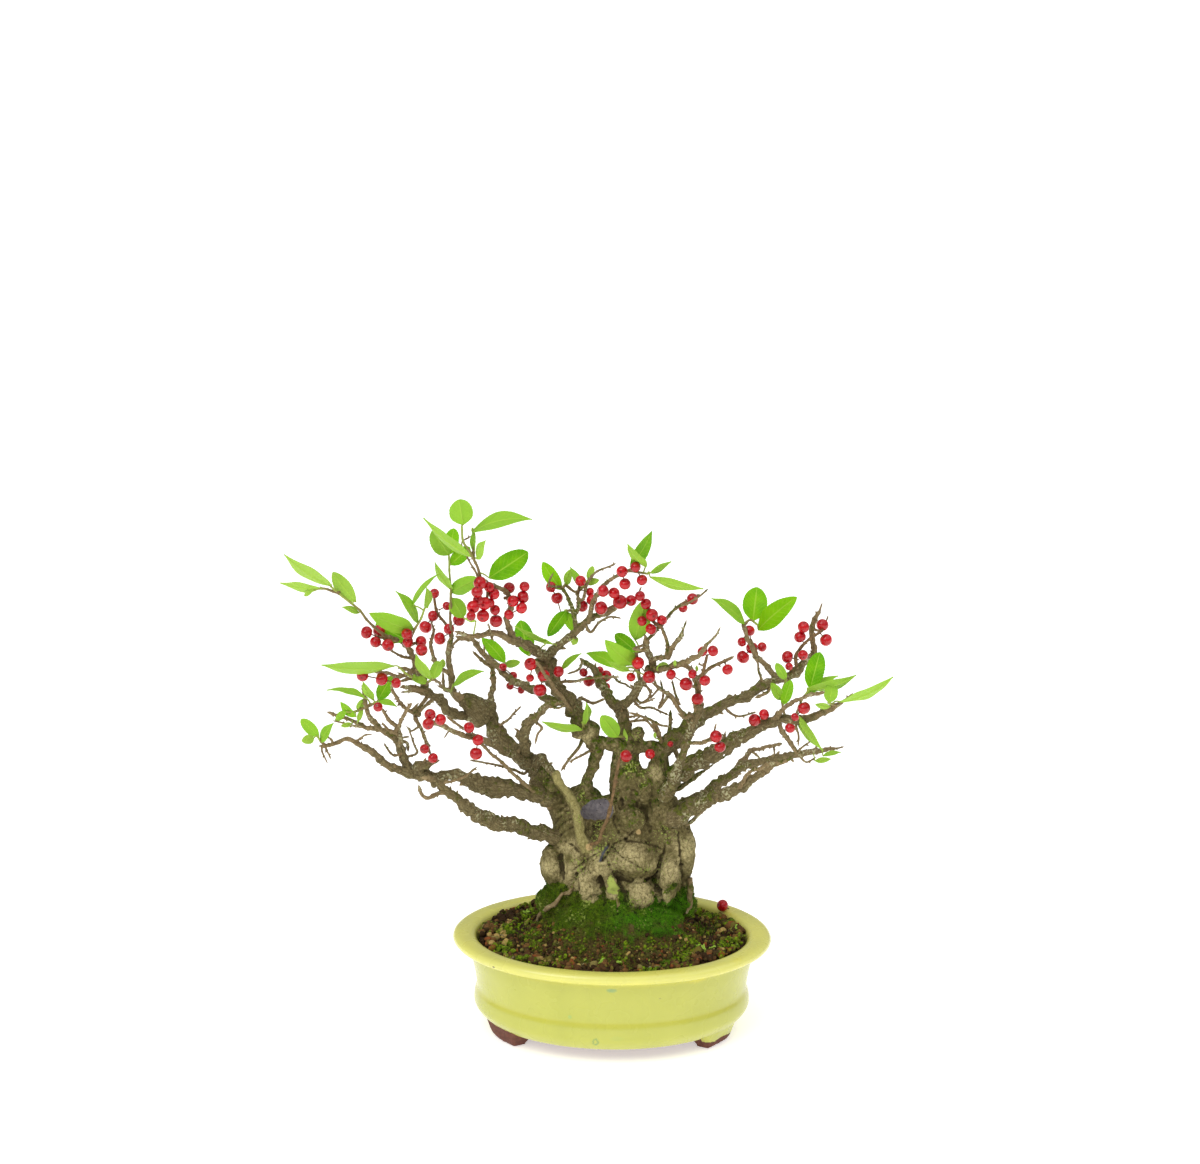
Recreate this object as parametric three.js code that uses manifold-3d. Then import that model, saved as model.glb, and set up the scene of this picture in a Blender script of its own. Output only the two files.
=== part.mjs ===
// Winterberry bonsai in an oval glazed pot: pot, soil, trunk, limbs, leafy shoots and bunches of berries.
// Millimetres, +Z up, front of the pot toward -Y.
import * as THREE from "three";
import { mergeVertices } from "three/addons/utils/BufferGeometryUtils.js";
import Module from "manifold-3d";

const wasm = await Module();
wasm.setup();

// Pot
const RIM_ACROSS = 79.2;
const OVAL = 0.76;
const POT_HIGH = 50;
const LIP_WIDE = 11.6;
const FLOOR_HIGH = 11;
const FOOT_HIGH = 6.5;
const DRAIN_APART = 56;
const DRAIN_WIDE = 10;

// Soil
const SOIL_HIGH = 47.6;
const SOIL_MOUND = 4.5;
const GRAIN = 0.9;

// Plant
const GRID = 0.5;
const CLEAR = 0.32;
const BLADE_THICK = 0.64;
const BLADE_SHARE = 0.4;
const STALK_WIDE = 0.9;
const TUBE_STEP = 14;
const BERRY_FULL = 1.06;

// The front view in which the plant's routes are drawn: columns and rows of a 1200 by 1164 grid.
const EYE = new THREE.Vector3(-8, -1400, 606.6);
const PITCH = THREE.MathUtils.degToRad(15.06);
const ROLL = THREE.MathUtils.degToRad(0.63);
const FOCAL = 3003;
const MID_COLUMN = 600;
const MID_ROW = 582;

const root = new THREE.Group();
root.name = "winterberry_bonsai";

const glaze = { color: 0xd6d96e, roughness: 0.3, metalness: 0 };
const earth = { color: 0x3f2c1d, roughness: 0.95, metalness: 0 };
const bark = { color: 0x776d50, roughness: 0.9, metalness: 0 };
const leaf = { color: 0x86c414, roughness: 0.5, metalness: 0 };
const berry = { color: 0xb40c22, roughness: 0.25, metalness: 0 };

// Seeded numbers, the same on every run
function seeded(seed) {
  let state = seed;
  return () => {
    state = (state * 1664525 + 1013904223) % 4294967296;
    return state / 4294967296;
  };
}

// A point of the front view, at a depth in millimetres behind the middle of the pot
function seen(column, row, depth) {
  const across = (column - MID_COLUMN) / FOCAL;
  const up = (MID_ROW - row) / FOCAL;
  const right = across * Math.cos(ROLL) - up * Math.sin(ROLL);
  const rise = across * Math.sin(ROLL) + up * Math.cos(ROLL);
  const far = (depth - EYE.y) / (Math.cos(PITCH) + rise * Math.sin(PITCH));
  const x = EYE.x + far * right;
  const z = EYE.z + far * (rise * Math.cos(PITCH) - Math.sin(PITCH));
  return new THREE.Vector3(x, depth, z);
}

// A value from an evenly spaced list, at a share of its length
function spaced(values, share) {
  const place = share * (values.length - 1);
  const low = Math.min(Math.floor(place), values.length - 2);
  if (values.length === 1) return values[0];
  return values[low] + (values[low + 1] - values[low]) * (place - low);
}

function solid(geometry) {
  geometry.deleteAttribute("normal");
  geometry.deleteAttribute("uv");
  const merged = mergeVertices(geometry, 1e-4);
  const vertProperties = new Float32Array(merged.attributes.position.array);
  const triVerts = new Uint32Array(merged.index.array);
  return new wasm.Manifold(new wasm.Mesh({ numProp: 3, vertProperties, triVerts }));
}

function closed(points, faces) {
  const geometry = new THREE.BufferGeometry();
  geometry.setAttribute("position", new THREE.Float32BufferAttribute(points.flatMap((p) => [p.x, p.y,
    p.z]), 3));
  geometry.setIndex(faces);
  return geometry;
}

function fused(solids) {
  return solids.reduce((all, next) => all.add(next));
}

// A closed tube with a ring at each of the given centres, tapering through the given radii
function tube(centres, radii, sides, grown = 0) {
  const last = centres.length - 1;
  const points = centres.map((p) => p.clone());
  if (grown > 0) {
    points[0].add(centres[0].clone().sub(centres[1]).setLength(grown));
    points[last].add(centres[last].clone().sub(centres[last - 1]).setLength(grown));
  }
  const rings = [];
  let normal = new THREE.Vector3(0.3, 1, 0.2);
  points.forEach((centre, i) => {
    const before = points[Math.max(i - 1, 0)];
    const after = points[Math.min(i + 1, last)];
    const along = after.clone().sub(before).normalize();
    normal = normal.clone().addScaledVector(along, -normal.dot(along)).normalize();
    const across = along.clone().cross(normal);
    const radius = spaced(radii, i / last) + grown;
    for (let k = 0; k < sides; k += 1) {
      const turn = (k / sides) * Math.PI * 2;
      const out = normal.clone().multiplyScalar(Math.cos(turn) * radius);
      out.addScaledVector(across, Math.sin(turn) * radius);
      rings.push(centre.clone().add(out));
    }
  });
  const faces = [];
  for (let i = 0; i < last; i += 1) {
    for (let k = 0; k < sides; k += 1) {
      const a = i * sides + k;
      const b = i * sides + ((k + 1) % sides);
      faces.push(a, b, b + sides, a, b + sides, a + sides);
    }
  }
  const top = last * sides;
  for (let k = 1; k < sides - 1; k += 1) {
    faces.push(0, k + 1, k);
    faces.push(top, top + k, top + k + 1);
  }
  return closed(rings, faces);
}

function ellipsoid(centre, across, deep, high, lean = 0, grown = 0) {
  const shape = new THREE.IcosahedronGeometry(1, across > 33 ? 2 : 1);
  shape.scale(across + grown, deep + grown, high + grown);
  shape.rotateY(THREE.MathUtils.degToRad(lean));
  shape.translate(centre.x, centre.y, centre.z);
  return shape;
}

const nodes = [];
const placed = [];

function boxesMeet(a, b) {
  const p = a.boundingBox();
  const q = b.boundingBox();
  return [0, 1, 2].every((i) => p.min[i] < q.max[i] && q.min[i] < p.max[i]);
}

// The largest of the separate bodies a cut leaves
function largest(body) {
  return body.decompose().reduce((a, b) => (b.volume() > a.volume() ? b : a));
}

// Pot: an oval bowl with a rolled lip, a raised band and four bracket feet
function oval(profile, sides) {
  const shape = new THREE.LatheGeometry(profile.map(([r, z]) => new THREE.Vector2(r, z)), sides);
  shape.rotateX(Math.PI / 2);
  shape.scale(1, OVAL, 1);
  return shape;
}

const POT_OUTSIDE = [
  [0, FOOT_HIGH],
  [61, FOOT_HIGH],
  [64.2, 8],
  [67.4, 11.5],
  [68.6, 14],
  [68.2, 20],
  [67.2, 21],
  [68.4, 31],
  [71.2, 43.6],
  [76, 44.4],
  [78.6, 46],
  [RIM_ACROSS, 47.8],
  [77.8, 49.6],
  [74.5, POT_HIGH],
];
const POT_INSIDE = [
  [RIM_ACROSS - LIP_WIDE + 1.8, 49.7],
  [RIM_ACROSS - LIP_WIDE, 48.4],
  [66.8, 44],
  [64, 30],
  [62.4, 16],
  [59, FLOOR_HIGH],
  [0, FLOOR_HIGH],
];

function foot(side, front) {
  const points = [];
  const steps = 5;
  for (let i = 0; i <= steps; i += 1) {
    const turn = THREE.MathUtils.degToRad(16 + (28 * i) / steps);
    const low = THREE.MathUtils.degToRad(19 + (20 * i) / steps);
    const out = (angle, radius, high) => new THREE.Vector3(
      side * radius * Math.cos(angle),
      front * radius * OVAL * Math.sin(angle),
      high,
    );
    points.push(out(turn, 51, 9), out(turn, 65.6, 10.2), out(low, 62.4, 1.6), out(low, 60.6, 0));
    points.push(out(low, 54.4, 0));
  }
  const faces = [];
  for (let i = 0; i < steps; i += 1) {
    for (let k = 0; k < 5; k += 1) {
      const a = i * 5 + k;
      const b = i * 5 + ((k + 1) % 5);
      faces.push(a, b, b + 5, a, b + 5, a + 5);
    }
  }
  for (let k = 1; k < 4; k += 1) {
    faces.push(0, k + 1, k);
    faces.push(steps * 5, steps * 5 + k, steps * 5 + k + 1);
  }
  if (side * front < 0) faces.reverse();
  return closed(points, faces);
}

function makePot() {
  let pot = solid(oval([...POT_OUTSIDE, ...POT_INSIDE], 40));
  for (const side of [-1, 1]) {
    for (const front of [-1, 1]) {
      pot = pot.add(solid(foot(side, front)));
    }
    const drain = new THREE.CylinderGeometry(DRAIN_WIDE / 2, DRAIN_WIDE / 2, 12, 16);
    drain.rotateX(Math.PI / 2);
    drain.translate((side * DRAIN_APART) / 2, 0, FLOOR_HIGH - 3);
    pot = pot.subtract(solid(drain));
  }
  return pot;
}

// Soil: fills the bowl, higher toward the trunk, with a grainy top
function makeSoil() {
  const random = seeded(11);
  const around = 36;
  const rings = [0.16, 0.34, 0.5, 0.64, 0.76, 0.87, 0.95];
  const wall = [[66.3, SOIL_HIGH - 0.4], [65.9, 43.6], [63.6, 30], [62, 16.2],
    [58.7, FLOOR_HIGH + CLEAR]];
  const points = [new THREE.Vector3(0, 0, SOIL_HIGH + SOIL_MOUND)];
  rings.forEach((share) => {
    for (let k = 0; k < around; k += 1) {
      const turn = (k / around) * Math.PI * 2;
      const high = SOIL_HIGH + SOIL_MOUND * (1 - share) + (random() - 0.5) * 2 * GRAIN;
      const radius = 66.3 * share;
      points.push(new THREE.Vector3(radius * Math.cos(turn), radius * OVAL * Math.sin(turn), high));
    }
  });
  wall.forEach(([radius, high]) => {
    for (let k = 0; k < around; k += 1) {
      const turn = (k / around) * Math.PI * 2;
      points.push(new THREE.Vector3(radius * Math.cos(turn), radius * OVAL * Math.sin(turn) * 0.992,
        high));
    }
  });
  const faces = [];
  const loops = rings.length + wall.length;
  for (let k = 0; k < around; k += 1) {
    faces.push(0, 1 + k, 1 + ((k + 1) % around));
  }
  for (let i = 0; i < loops - 1; i += 1) {
    for (let k = 0; k < around; k += 1) {
      const a = 1 + i * around + k;
      const b = 1 + i * around + ((k + 1) % around);
      faces.push(a, b + around, b, a, a + around, b + around);
    }
  }
  const last = 1 + (loops - 1) * around;
  for (let k = 1; k < around - 1; k += 1) {
    faces.push(last, last + k + 1, last + k);
  }
  return solid(closed(points, faces));
}

// Trunk: swollen lobes and short columns, each lobe given as column, row, depth, across, deep, high, lean
const LOBES = [
  [617, 886, 8, 35, 22, 17, 0],
  [577, 848, 6, 14, 14, 26, 4],
  [668, 850, 6, 13, 14, 25, -3],
  [620, 840, 8, 22, 15, 24, 0],
  [580, 812, 6, 13, 12, 14, 0],
  [662, 818, 6, 10, 11, 16, 0],
  [636, 859, -6, 12.5, 9, 9.5, 0],
  [603, 862, -5, 9, 8, 10, 0],
  [586, 886, -10, 5.6, 5, 8, 0],
  [612, 885, -10, 5, 4.4, 6, 0],
  [640, 893, -12, 8, 5, 7, 0],
  [668, 882, -10, 5, 5, 12, 6],
  [686, 852, 0, 4.8, 7, 12, 0],
  [552, 864, 0, 5.4, 8, 10.5, 0],
  [560, 905, 4, 12, 12, 9, 20],
  [680, 903, 4, 8, 10, 10, -8],
  [617, 942, -4, 38, 27, 26, 0],
  [612, 944, -6, 46, 36, 13, 0],
  [615, 905, 18, 28, 12, 13, 0],
  [632, 819, -4, 6.6, 5, 6.6, 0],
  [600, 809, -3, 9, 5, 6, 0],
  [644, 788, 2, 4.5, 5, 9.5, 0],
];
const COLUMNS = [
  [[[624, 838], [627, 805], [626, 780], [626, 760], [627, 744]], [36, 34, 31, 29, 22], [7, 6, 5]],
  [[[578, 842], [568, 818], [561, 802], [549, 785], [538, 770]], [36, 34, 29, 25, 19], [6, 6, 8]],
  [[[657, 822], [656, 798], [658, 772], [660, 756], [662, 744]], [20, 18, 20, 19, 13], [5, 4, 4]],
  [[[590, 812], [586, 786], [593, 765], [597, 750], [590, 738], [583, 728]], [14, 12, 11, 12, 15, 16],
    [2, 2, 4]],
  [[[600, 741], [612, 743], [627, 748], [641, 748], [652, 746], [661, 750]], [11, 12, 12, 11, 12, 14],
    [3, 2, 3]],
  [[[586, 850], [581, 838], [579, 823], [575, 807], [567, 792], [558, 780], [555, 771]],
    [14, 12, 10, 9, 9, 9, 10], [-6, -13, -16]],
  [[[660, 800], [692, 779], [719, 760], [731, 753]], [7, 5, 4], [4, 8, 6, 14]],
];

// Limbs and their twigs, each route given as points, widths along it and depths along it.
// A route with no first depth starts at the depth of the wood it leaves.
const LIMBS = {
  limb_left_low: [
    [[[562, 838], [545, 834], [530, 829], [515, 825], [500, 824], [490, 820], [478, 815], [468, 808],
      [450, 792], [437, 783], [425, 779]], [15, 13, 12, 13, 14, 11, 10, 8, 7, 5], [2, -12, -30, -48]],
    [[[446, 789], [435, 795], [427, 797], [421, 792], [419, 787]], [5, 4, 3], [null, -54]],
  ],
  limb_left_long: [
    [[[552, 799], [535, 793], [520, 790], [505, 788], [480, 785], [460, 776], [440, 777], [424, 776],
      [410, 775], [390, 767], [375, 755], [359, 743], [345, 739], [335, 743], [322, 746]],
      [14, 13, 14, 15, 15, 12, 10, 8, 8, 7, 7, 5, 4, 3.4], [2, -10, -22, -30, -34]],
    [[[412, 774], [405, 764], [403, 751], [400, 743], [390, 734], [378, 726], [368, 712], [365, 696],
      [363, 687]], [8, 8, 6, 5, 4, 3], [null, -14, 0]],
    [[[402, 747], [398, 730], [389, 721], [383, 710]], [5, 4, 3], [null, -34]],
    [[[397, 729], [404, 715], [411, 703]], [4, 3], [null, -44]],
    [[[384, 730], [367, 728], [349, 719], [328, 713]], [5, 4, 3], [null, 16]],
    [[[424, 777], [420, 767], [435, 762]], [12, 10, 5], [null, -26]],
  ],
  limb_left_high: [
    [[[552, 790], [534, 768], [516, 751], [497, 733], [490, 717], [472, 703], [459, 698], [452, 687],
      [451, 676], [448, 662], [448, 646], [452, 636]], [22, 18, 15, 13, 13, 13, 14, 8, 6, 6, 5, 4],
      [8, 10, 16, 26, 34]],
    [[[449, 674], [435, 662], [431, 648], [434, 630]], [5, 4, 3], [null, 50]],
    [[[470, 716], [452, 714], [440, 702], [426, 688], [421, 674], [415, 664], [410, 651], [397, 640],
      [386, 636]], [11, 9, 8, 7, 6, 5, 4], [null, -8, -26]],
    [[[416, 668], [401, 675], [381, 672], [361, 669]], [4, 3], [null, -44]],
    [[[426, 690], [411, 688], [402, 687]], [4, 3], [null, -30]],
    [[[428, 697], [416, 716], [421, 730], [427, 744]], [4, 3.4], [null, -30]],
    [[[416, 714], [404, 707], [392, 690]], [4, 3], [null, -38]],
    [[[526, 762], [506, 751], [483, 739], [458, 733], [442, 725], [428, 718]], [8, 7, 6, 5, 4],
      [null, -16, -42, -52]],
    [[[524, 752], [523, 735], [531, 721], [543, 710], [558, 702]], [10, 9, 8, 6], [null, -20, -26]],
    [[[486, 714], [491, 698], [493, 676], [491, 652], [492, 637]], [6, 5, 4], [null, 46, 62]],
  ],
  limb_centre_left: [
    [[[583, 734], [579, 716], [565, 696], [553, 681], [543, 668], [546, 657]],
      [17, 16, 13, 12, 13, 14], [4, 0, -8]],
    [[[570, 704], [547, 697], [519, 684], [502, 673], [484, 656], [472, 641], [457, 637]],
      [9, 8, 7, 6, 5, 4], [null, 24, 56]],
    [[[545, 656], [530, 646], [509, 639], [492, 632], [478, 637], [457, 632]], [9, 8, 6, 5, 3.4],
      [null, -36, -50]],
    [[[514, 640], [506, 622], [510, 605], [504, 591], [487, 582], [478, 577]], [6, 5, 5, 4, 4],
      [null, -44]],
    [[[545, 657], [561, 643], [578, 629], [590, 619], [606, 614], [620, 603]], [8, 7, 6, 5],
      [null, -10, -18]],
    [[[586, 622], [598, 592], [612, 579], [632, 569]], [5, 4, 3], [null, -40]],
    [[[577, 630], [574, 613], [568, 597], [561, 587]], [5, 4, 3], [null, 22]],
    [[[577, 616], [579, 603], [577, 592]], [4, 3], [null, 20]],
  ],
  limb_centre: [
    [[[627, 744], [625, 729], [621, 712], [609, 698], [600, 683], [594, 668], [583, 660]],
      [13, 11, 12, 9, 8, 7, 5], [5, 16, 34]],
    [[[624, 704], [638, 686], [652, 669], [648, 652], [644, 636]], [8, 8, 7, 6, 5], [null, -10, -20]],
    [[[653, 659], [668, 655], [677, 640], [682, 633]], [5, 4], [null, -44]],
    [[[668, 656], [668, 644], [662, 628]], [4, 3], [null, -28]],
    [[[652, 669], [672, 667], [695, 657], [706, 645]], [6, 5, 4], [null, -62]],
    [[[645, 642], [653, 634], [661, 626]], [4, 3], [null, -14]],
  ],
  limb_right_top: [
    [[[660, 752], [668, 744], [680, 734], [699, 717], [725, 705], [750, 693], [771, 682], [790, 674],
      [802, 665], [813, 651], [812, 627], [820, 610]], [15, 16, 14, 10, 9, 9, 9, 8, 9, 6, 5, 4],
      [5, 12, 28, 44, 52]],
    [[[778, 677], [762, 660], [750, 645], [742, 624]], [6, 5, 4], [null, 70]],
    [[[769, 683], [768, 692], [757, 697]], [4, 3], [null, 24]],
  ],
  limb_right_high: [
    [[[660, 786], [671, 775], [691, 765], [717, 751], [740, 737], [763, 725], [784, 719], [804, 721],
      [823, 712], [844, 701]], [15, 16, 14, 13, 12, 10, 9, 8, 6, 4], [4, 0, -14, -28, -38]],
    [[[771, 721], [783, 709], [805, 697], [824, 692]], [5, 4, 3], [null, -52]],
    [[[778, 724], [788, 739], [797, 752]], [5, 4], [null, -14]],
  ],
  limb_right_back: [
    [[[664, 812], [696, 801], [720, 783], [746, 765], [775, 758], [807, 754], [833, 749]],
      [14, 12, 9, 8, 7, 6, 4], [10, 26, 52, 72]],
    [[[732, 774], [750, 752], [766, 748], [781, 743]], [5, 4, 3], [null, 84]],
  ],
  limb_right_low: [
    [[[660, 822], [684, 812], [710, 799], [727, 793], [742, 787], [768, 768], [788, 760]],
      [17, 14, 10, 11, 8, 6, 4], [2, -8, -36, -60]],
    [[[738, 789], [748, 774], [774, 763]], [4, 3], [null, -72]],
  ],
  limb_right_upright: [
    [[[664, 798], [675, 778], [683, 752], [692, 728], [698, 712], [698, 692], [693, 671], [675, 662]],
      [12, 10, 8, 7, 6, 5, 4], [-2, -12, -16, -22, -10]],
    [[[699, 678], [716, 665], [733, 657]], [4, 3], [null, -36]],
    [[[687, 716], [672, 699], [655, 684]], [4, 3], [null, 0]],
    [[[685, 742], [700, 742], [711, 741]], [4, 3], [null, -34]],
  ],
};

// Leafy shoots: routes of the green stems, then blades as base column, row, tip column, row,
// width, tip's depth
const LEAVES = {
  leaves_far_left: {
    stems: [[[[384, 636], [374, 627], [357, 608], [338, 593], [331, 586]], -40], [[[338, 594],
      [320, 588], [313, 590]], -36]],
    blades: [[331, 586, 285, 552, 12, -12], [320, 588, 281, 581, 8, 8], [313, 590, 304, 596, 5, 3],
      [356, 602, 332, 572, 15, 9], [359, 613, 342, 607, 6, -4]],
  },
  leaves_left_upper: {
    stems: [[[[404, 645], [414, 632], [421, 618], [425, 608]], -34]],
    blades: [[414, 630, 369, 612, 17, -10], [407, 640, 375, 624, 20, 12], [418, 623, 396, 591, 10, -6],
      [412, 606, 437, 573, 5, 8], [427, 608, 426, 587, 8, -8]],
  },
  leaves_crown_left: {
    stems: [[[[481, 579], [477, 565], [470, 552], [463, 541], [462, 526]], -52], [[[474, 560],
      [474, 534], [472, 528]], -46]],
    blades: [[472, 557, 424, 517, 9, 6], [472, 532, 532, 519, 14, -8], [474, 552, 474, 528, 5, 4],
      [477, 559, 487, 540, 9, -9], [489, 578, 528, 552, 22, 7], [463, 525, 459, 499, 22, -5]],
  },
  leaves_crown_left_back: {
    stems: [[[[452, 637], [450, 618], [451, 600], [450, 575], [449, 556]], 26]],
    blades: [[453, 591, 435, 562, 8, -6], [449, 555, 432, 530, 20, -7], [449, 555, 454, 528, 14, 10],
      [450, 565, 470, 547, 14, 7], [451, 592, 478, 578, 16, -8], [452, 598, 463, 617, 16, 6]],
  },
  leaves_crown_centre: {
    stems: [[[[562, 590], [566, 583]], 24], [[[577, 592], [588, 580]], 18]],
    blades: [[562, 590, 542, 562, 14, 10], [566, 585, 571, 569, 8, -5], [580, 588, 570, 567, 7, 7],
      [586, 583, 599, 580, 7, -4], [588, 580, 593, 566, 7, 4]],
  },
  leaves_centre_curled: {
    stems: [[[[573, 611], [565, 611]], 12]],
    blades: [[566, 611, 548, 636, 13, -8], [565, 611, 573, 632, 10, -9]],
  },
  leaves_centre_left: {
    stems: [[[[534, 649], [529, 655]], -10]],
    blades: [[529, 656, 520, 620, 18, 10]],
  },
  leaves_back_left: {
    stems: [[[[501, 671], [505, 664]], 36]],
    blades: [[505, 663, 482, 638, 14, 12], [505, 665, 520, 662, 8, -4]],
  },
  leaves_crown_right: {
    stems: [[[[630, 570], [641, 572], [648, 574]], -46]],
    blades: [[630, 567, 652, 531, 13, 8], [646, 567, 628, 543, 9, -10], [650, 573, 671, 561, 6, 6],
      [650, 577, 704, 587, 9, -6]],
  },
  leaves_centre_right: {
    stems: [[[[645, 648], [636, 652]], -20], [[[640, 684], [635, 668], [618, 668]], -4]],
    blades: [[635, 640, 646, 599, 20, -14], [636, 665, 605, 639, 18, -12], [637, 652, 615, 634, 13, 10],
      [618, 668, 586, 652, 13, 12]],
  },
  leaves_right_top: {
    stems: [[[[743, 627], [750, 620], [758, 625]], 72]],
    blades: [[745, 624, 712, 598, 12, -8], [753, 621, 757, 587, 25, 9], [758, 630, 796, 597, 21, -7]],
  },
  leaves_left_long: {
    stems: [[[[411, 677], [402, 670]], -46]],
    blades: [[394, 666, 321, 662, 12, -10]],
  },
  leaves_left_inner: {
    stems: [[[[423, 686], [433, 679]], -34], [[[452, 690], [453, 685]], 12]],
    blades: [[431, 680, 416, 654, 10, -7], [433, 679, 439, 661, 11, 5], [428, 683, 411, 676, 8, 4],
      [453, 686, 484, 671, 9, -6]],
  },
  leaves_left_edge: {
    stems: [[[[367, 706], [378, 701]], -8], [[[370, 704], [358, 711], [347, 712]], 0]],
    blades: [[373, 700, 363, 681, 8, -6], [378, 700, 392, 676, 14, 5], [365, 698, 327, 688, 6, 8],
      [378, 701, 397, 706, 6, -4],
      [356, 717, 340, 702, 8, 6], [358, 711, 363, 699, 7, -5], [347, 712, 334, 722, 7, 5]],
  },
  leaves_far_left_low: {
    stems: [[[[324, 746], [318, 737]], -38]],
    blades: [[319, 737, 301, 719, 11, 7], [314, 738, 302, 741, 9, -5], [321, 742, 333, 723, 9, -6]],
  },
  leaves_trunk_left: {
    stems: [[[[584, 731], [582, 722]], -8]],
    blades: [[582, 730, 542, 720, 9, -10], [585, 724, 586, 702, 8, -6]],
  },
  leaves_trunk_right: {
    stems: [[[[626, 738], [618, 736]], -6]],
    blades: [[618, 737, 601, 715, 16, -6]],
  },
  leaves_right_inner: {
    stems: [[[[785, 718], [783, 705], [782, 692], [786, 679]], 2]],
    blades: [[782, 700, 771, 683, 10, -5], [783, 705, 791, 680, 11, 5], [786, 680, 776, 663, 9, 6]],
  },
  leaves_right_spray: {
    stems: [[[[795, 718], [803, 697], [810, 688]], -34]],
    blades: [[810, 689, 820, 652, 18, 7], [807, 689, 856, 673, 10, -8], [805, 697, 838, 675, 9, 6],
      [796, 714, 824, 750, 9, -6]],
  },
  leaves_far_right: {
    stems: [[[[836, 706], [828, 703]], -42]],
    blades: [[829, 703, 833, 683, 13, 6], [840, 702, 893, 676, 9, -7], [830, 707, 815, 704, 6, -3]],
  },
};

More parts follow.
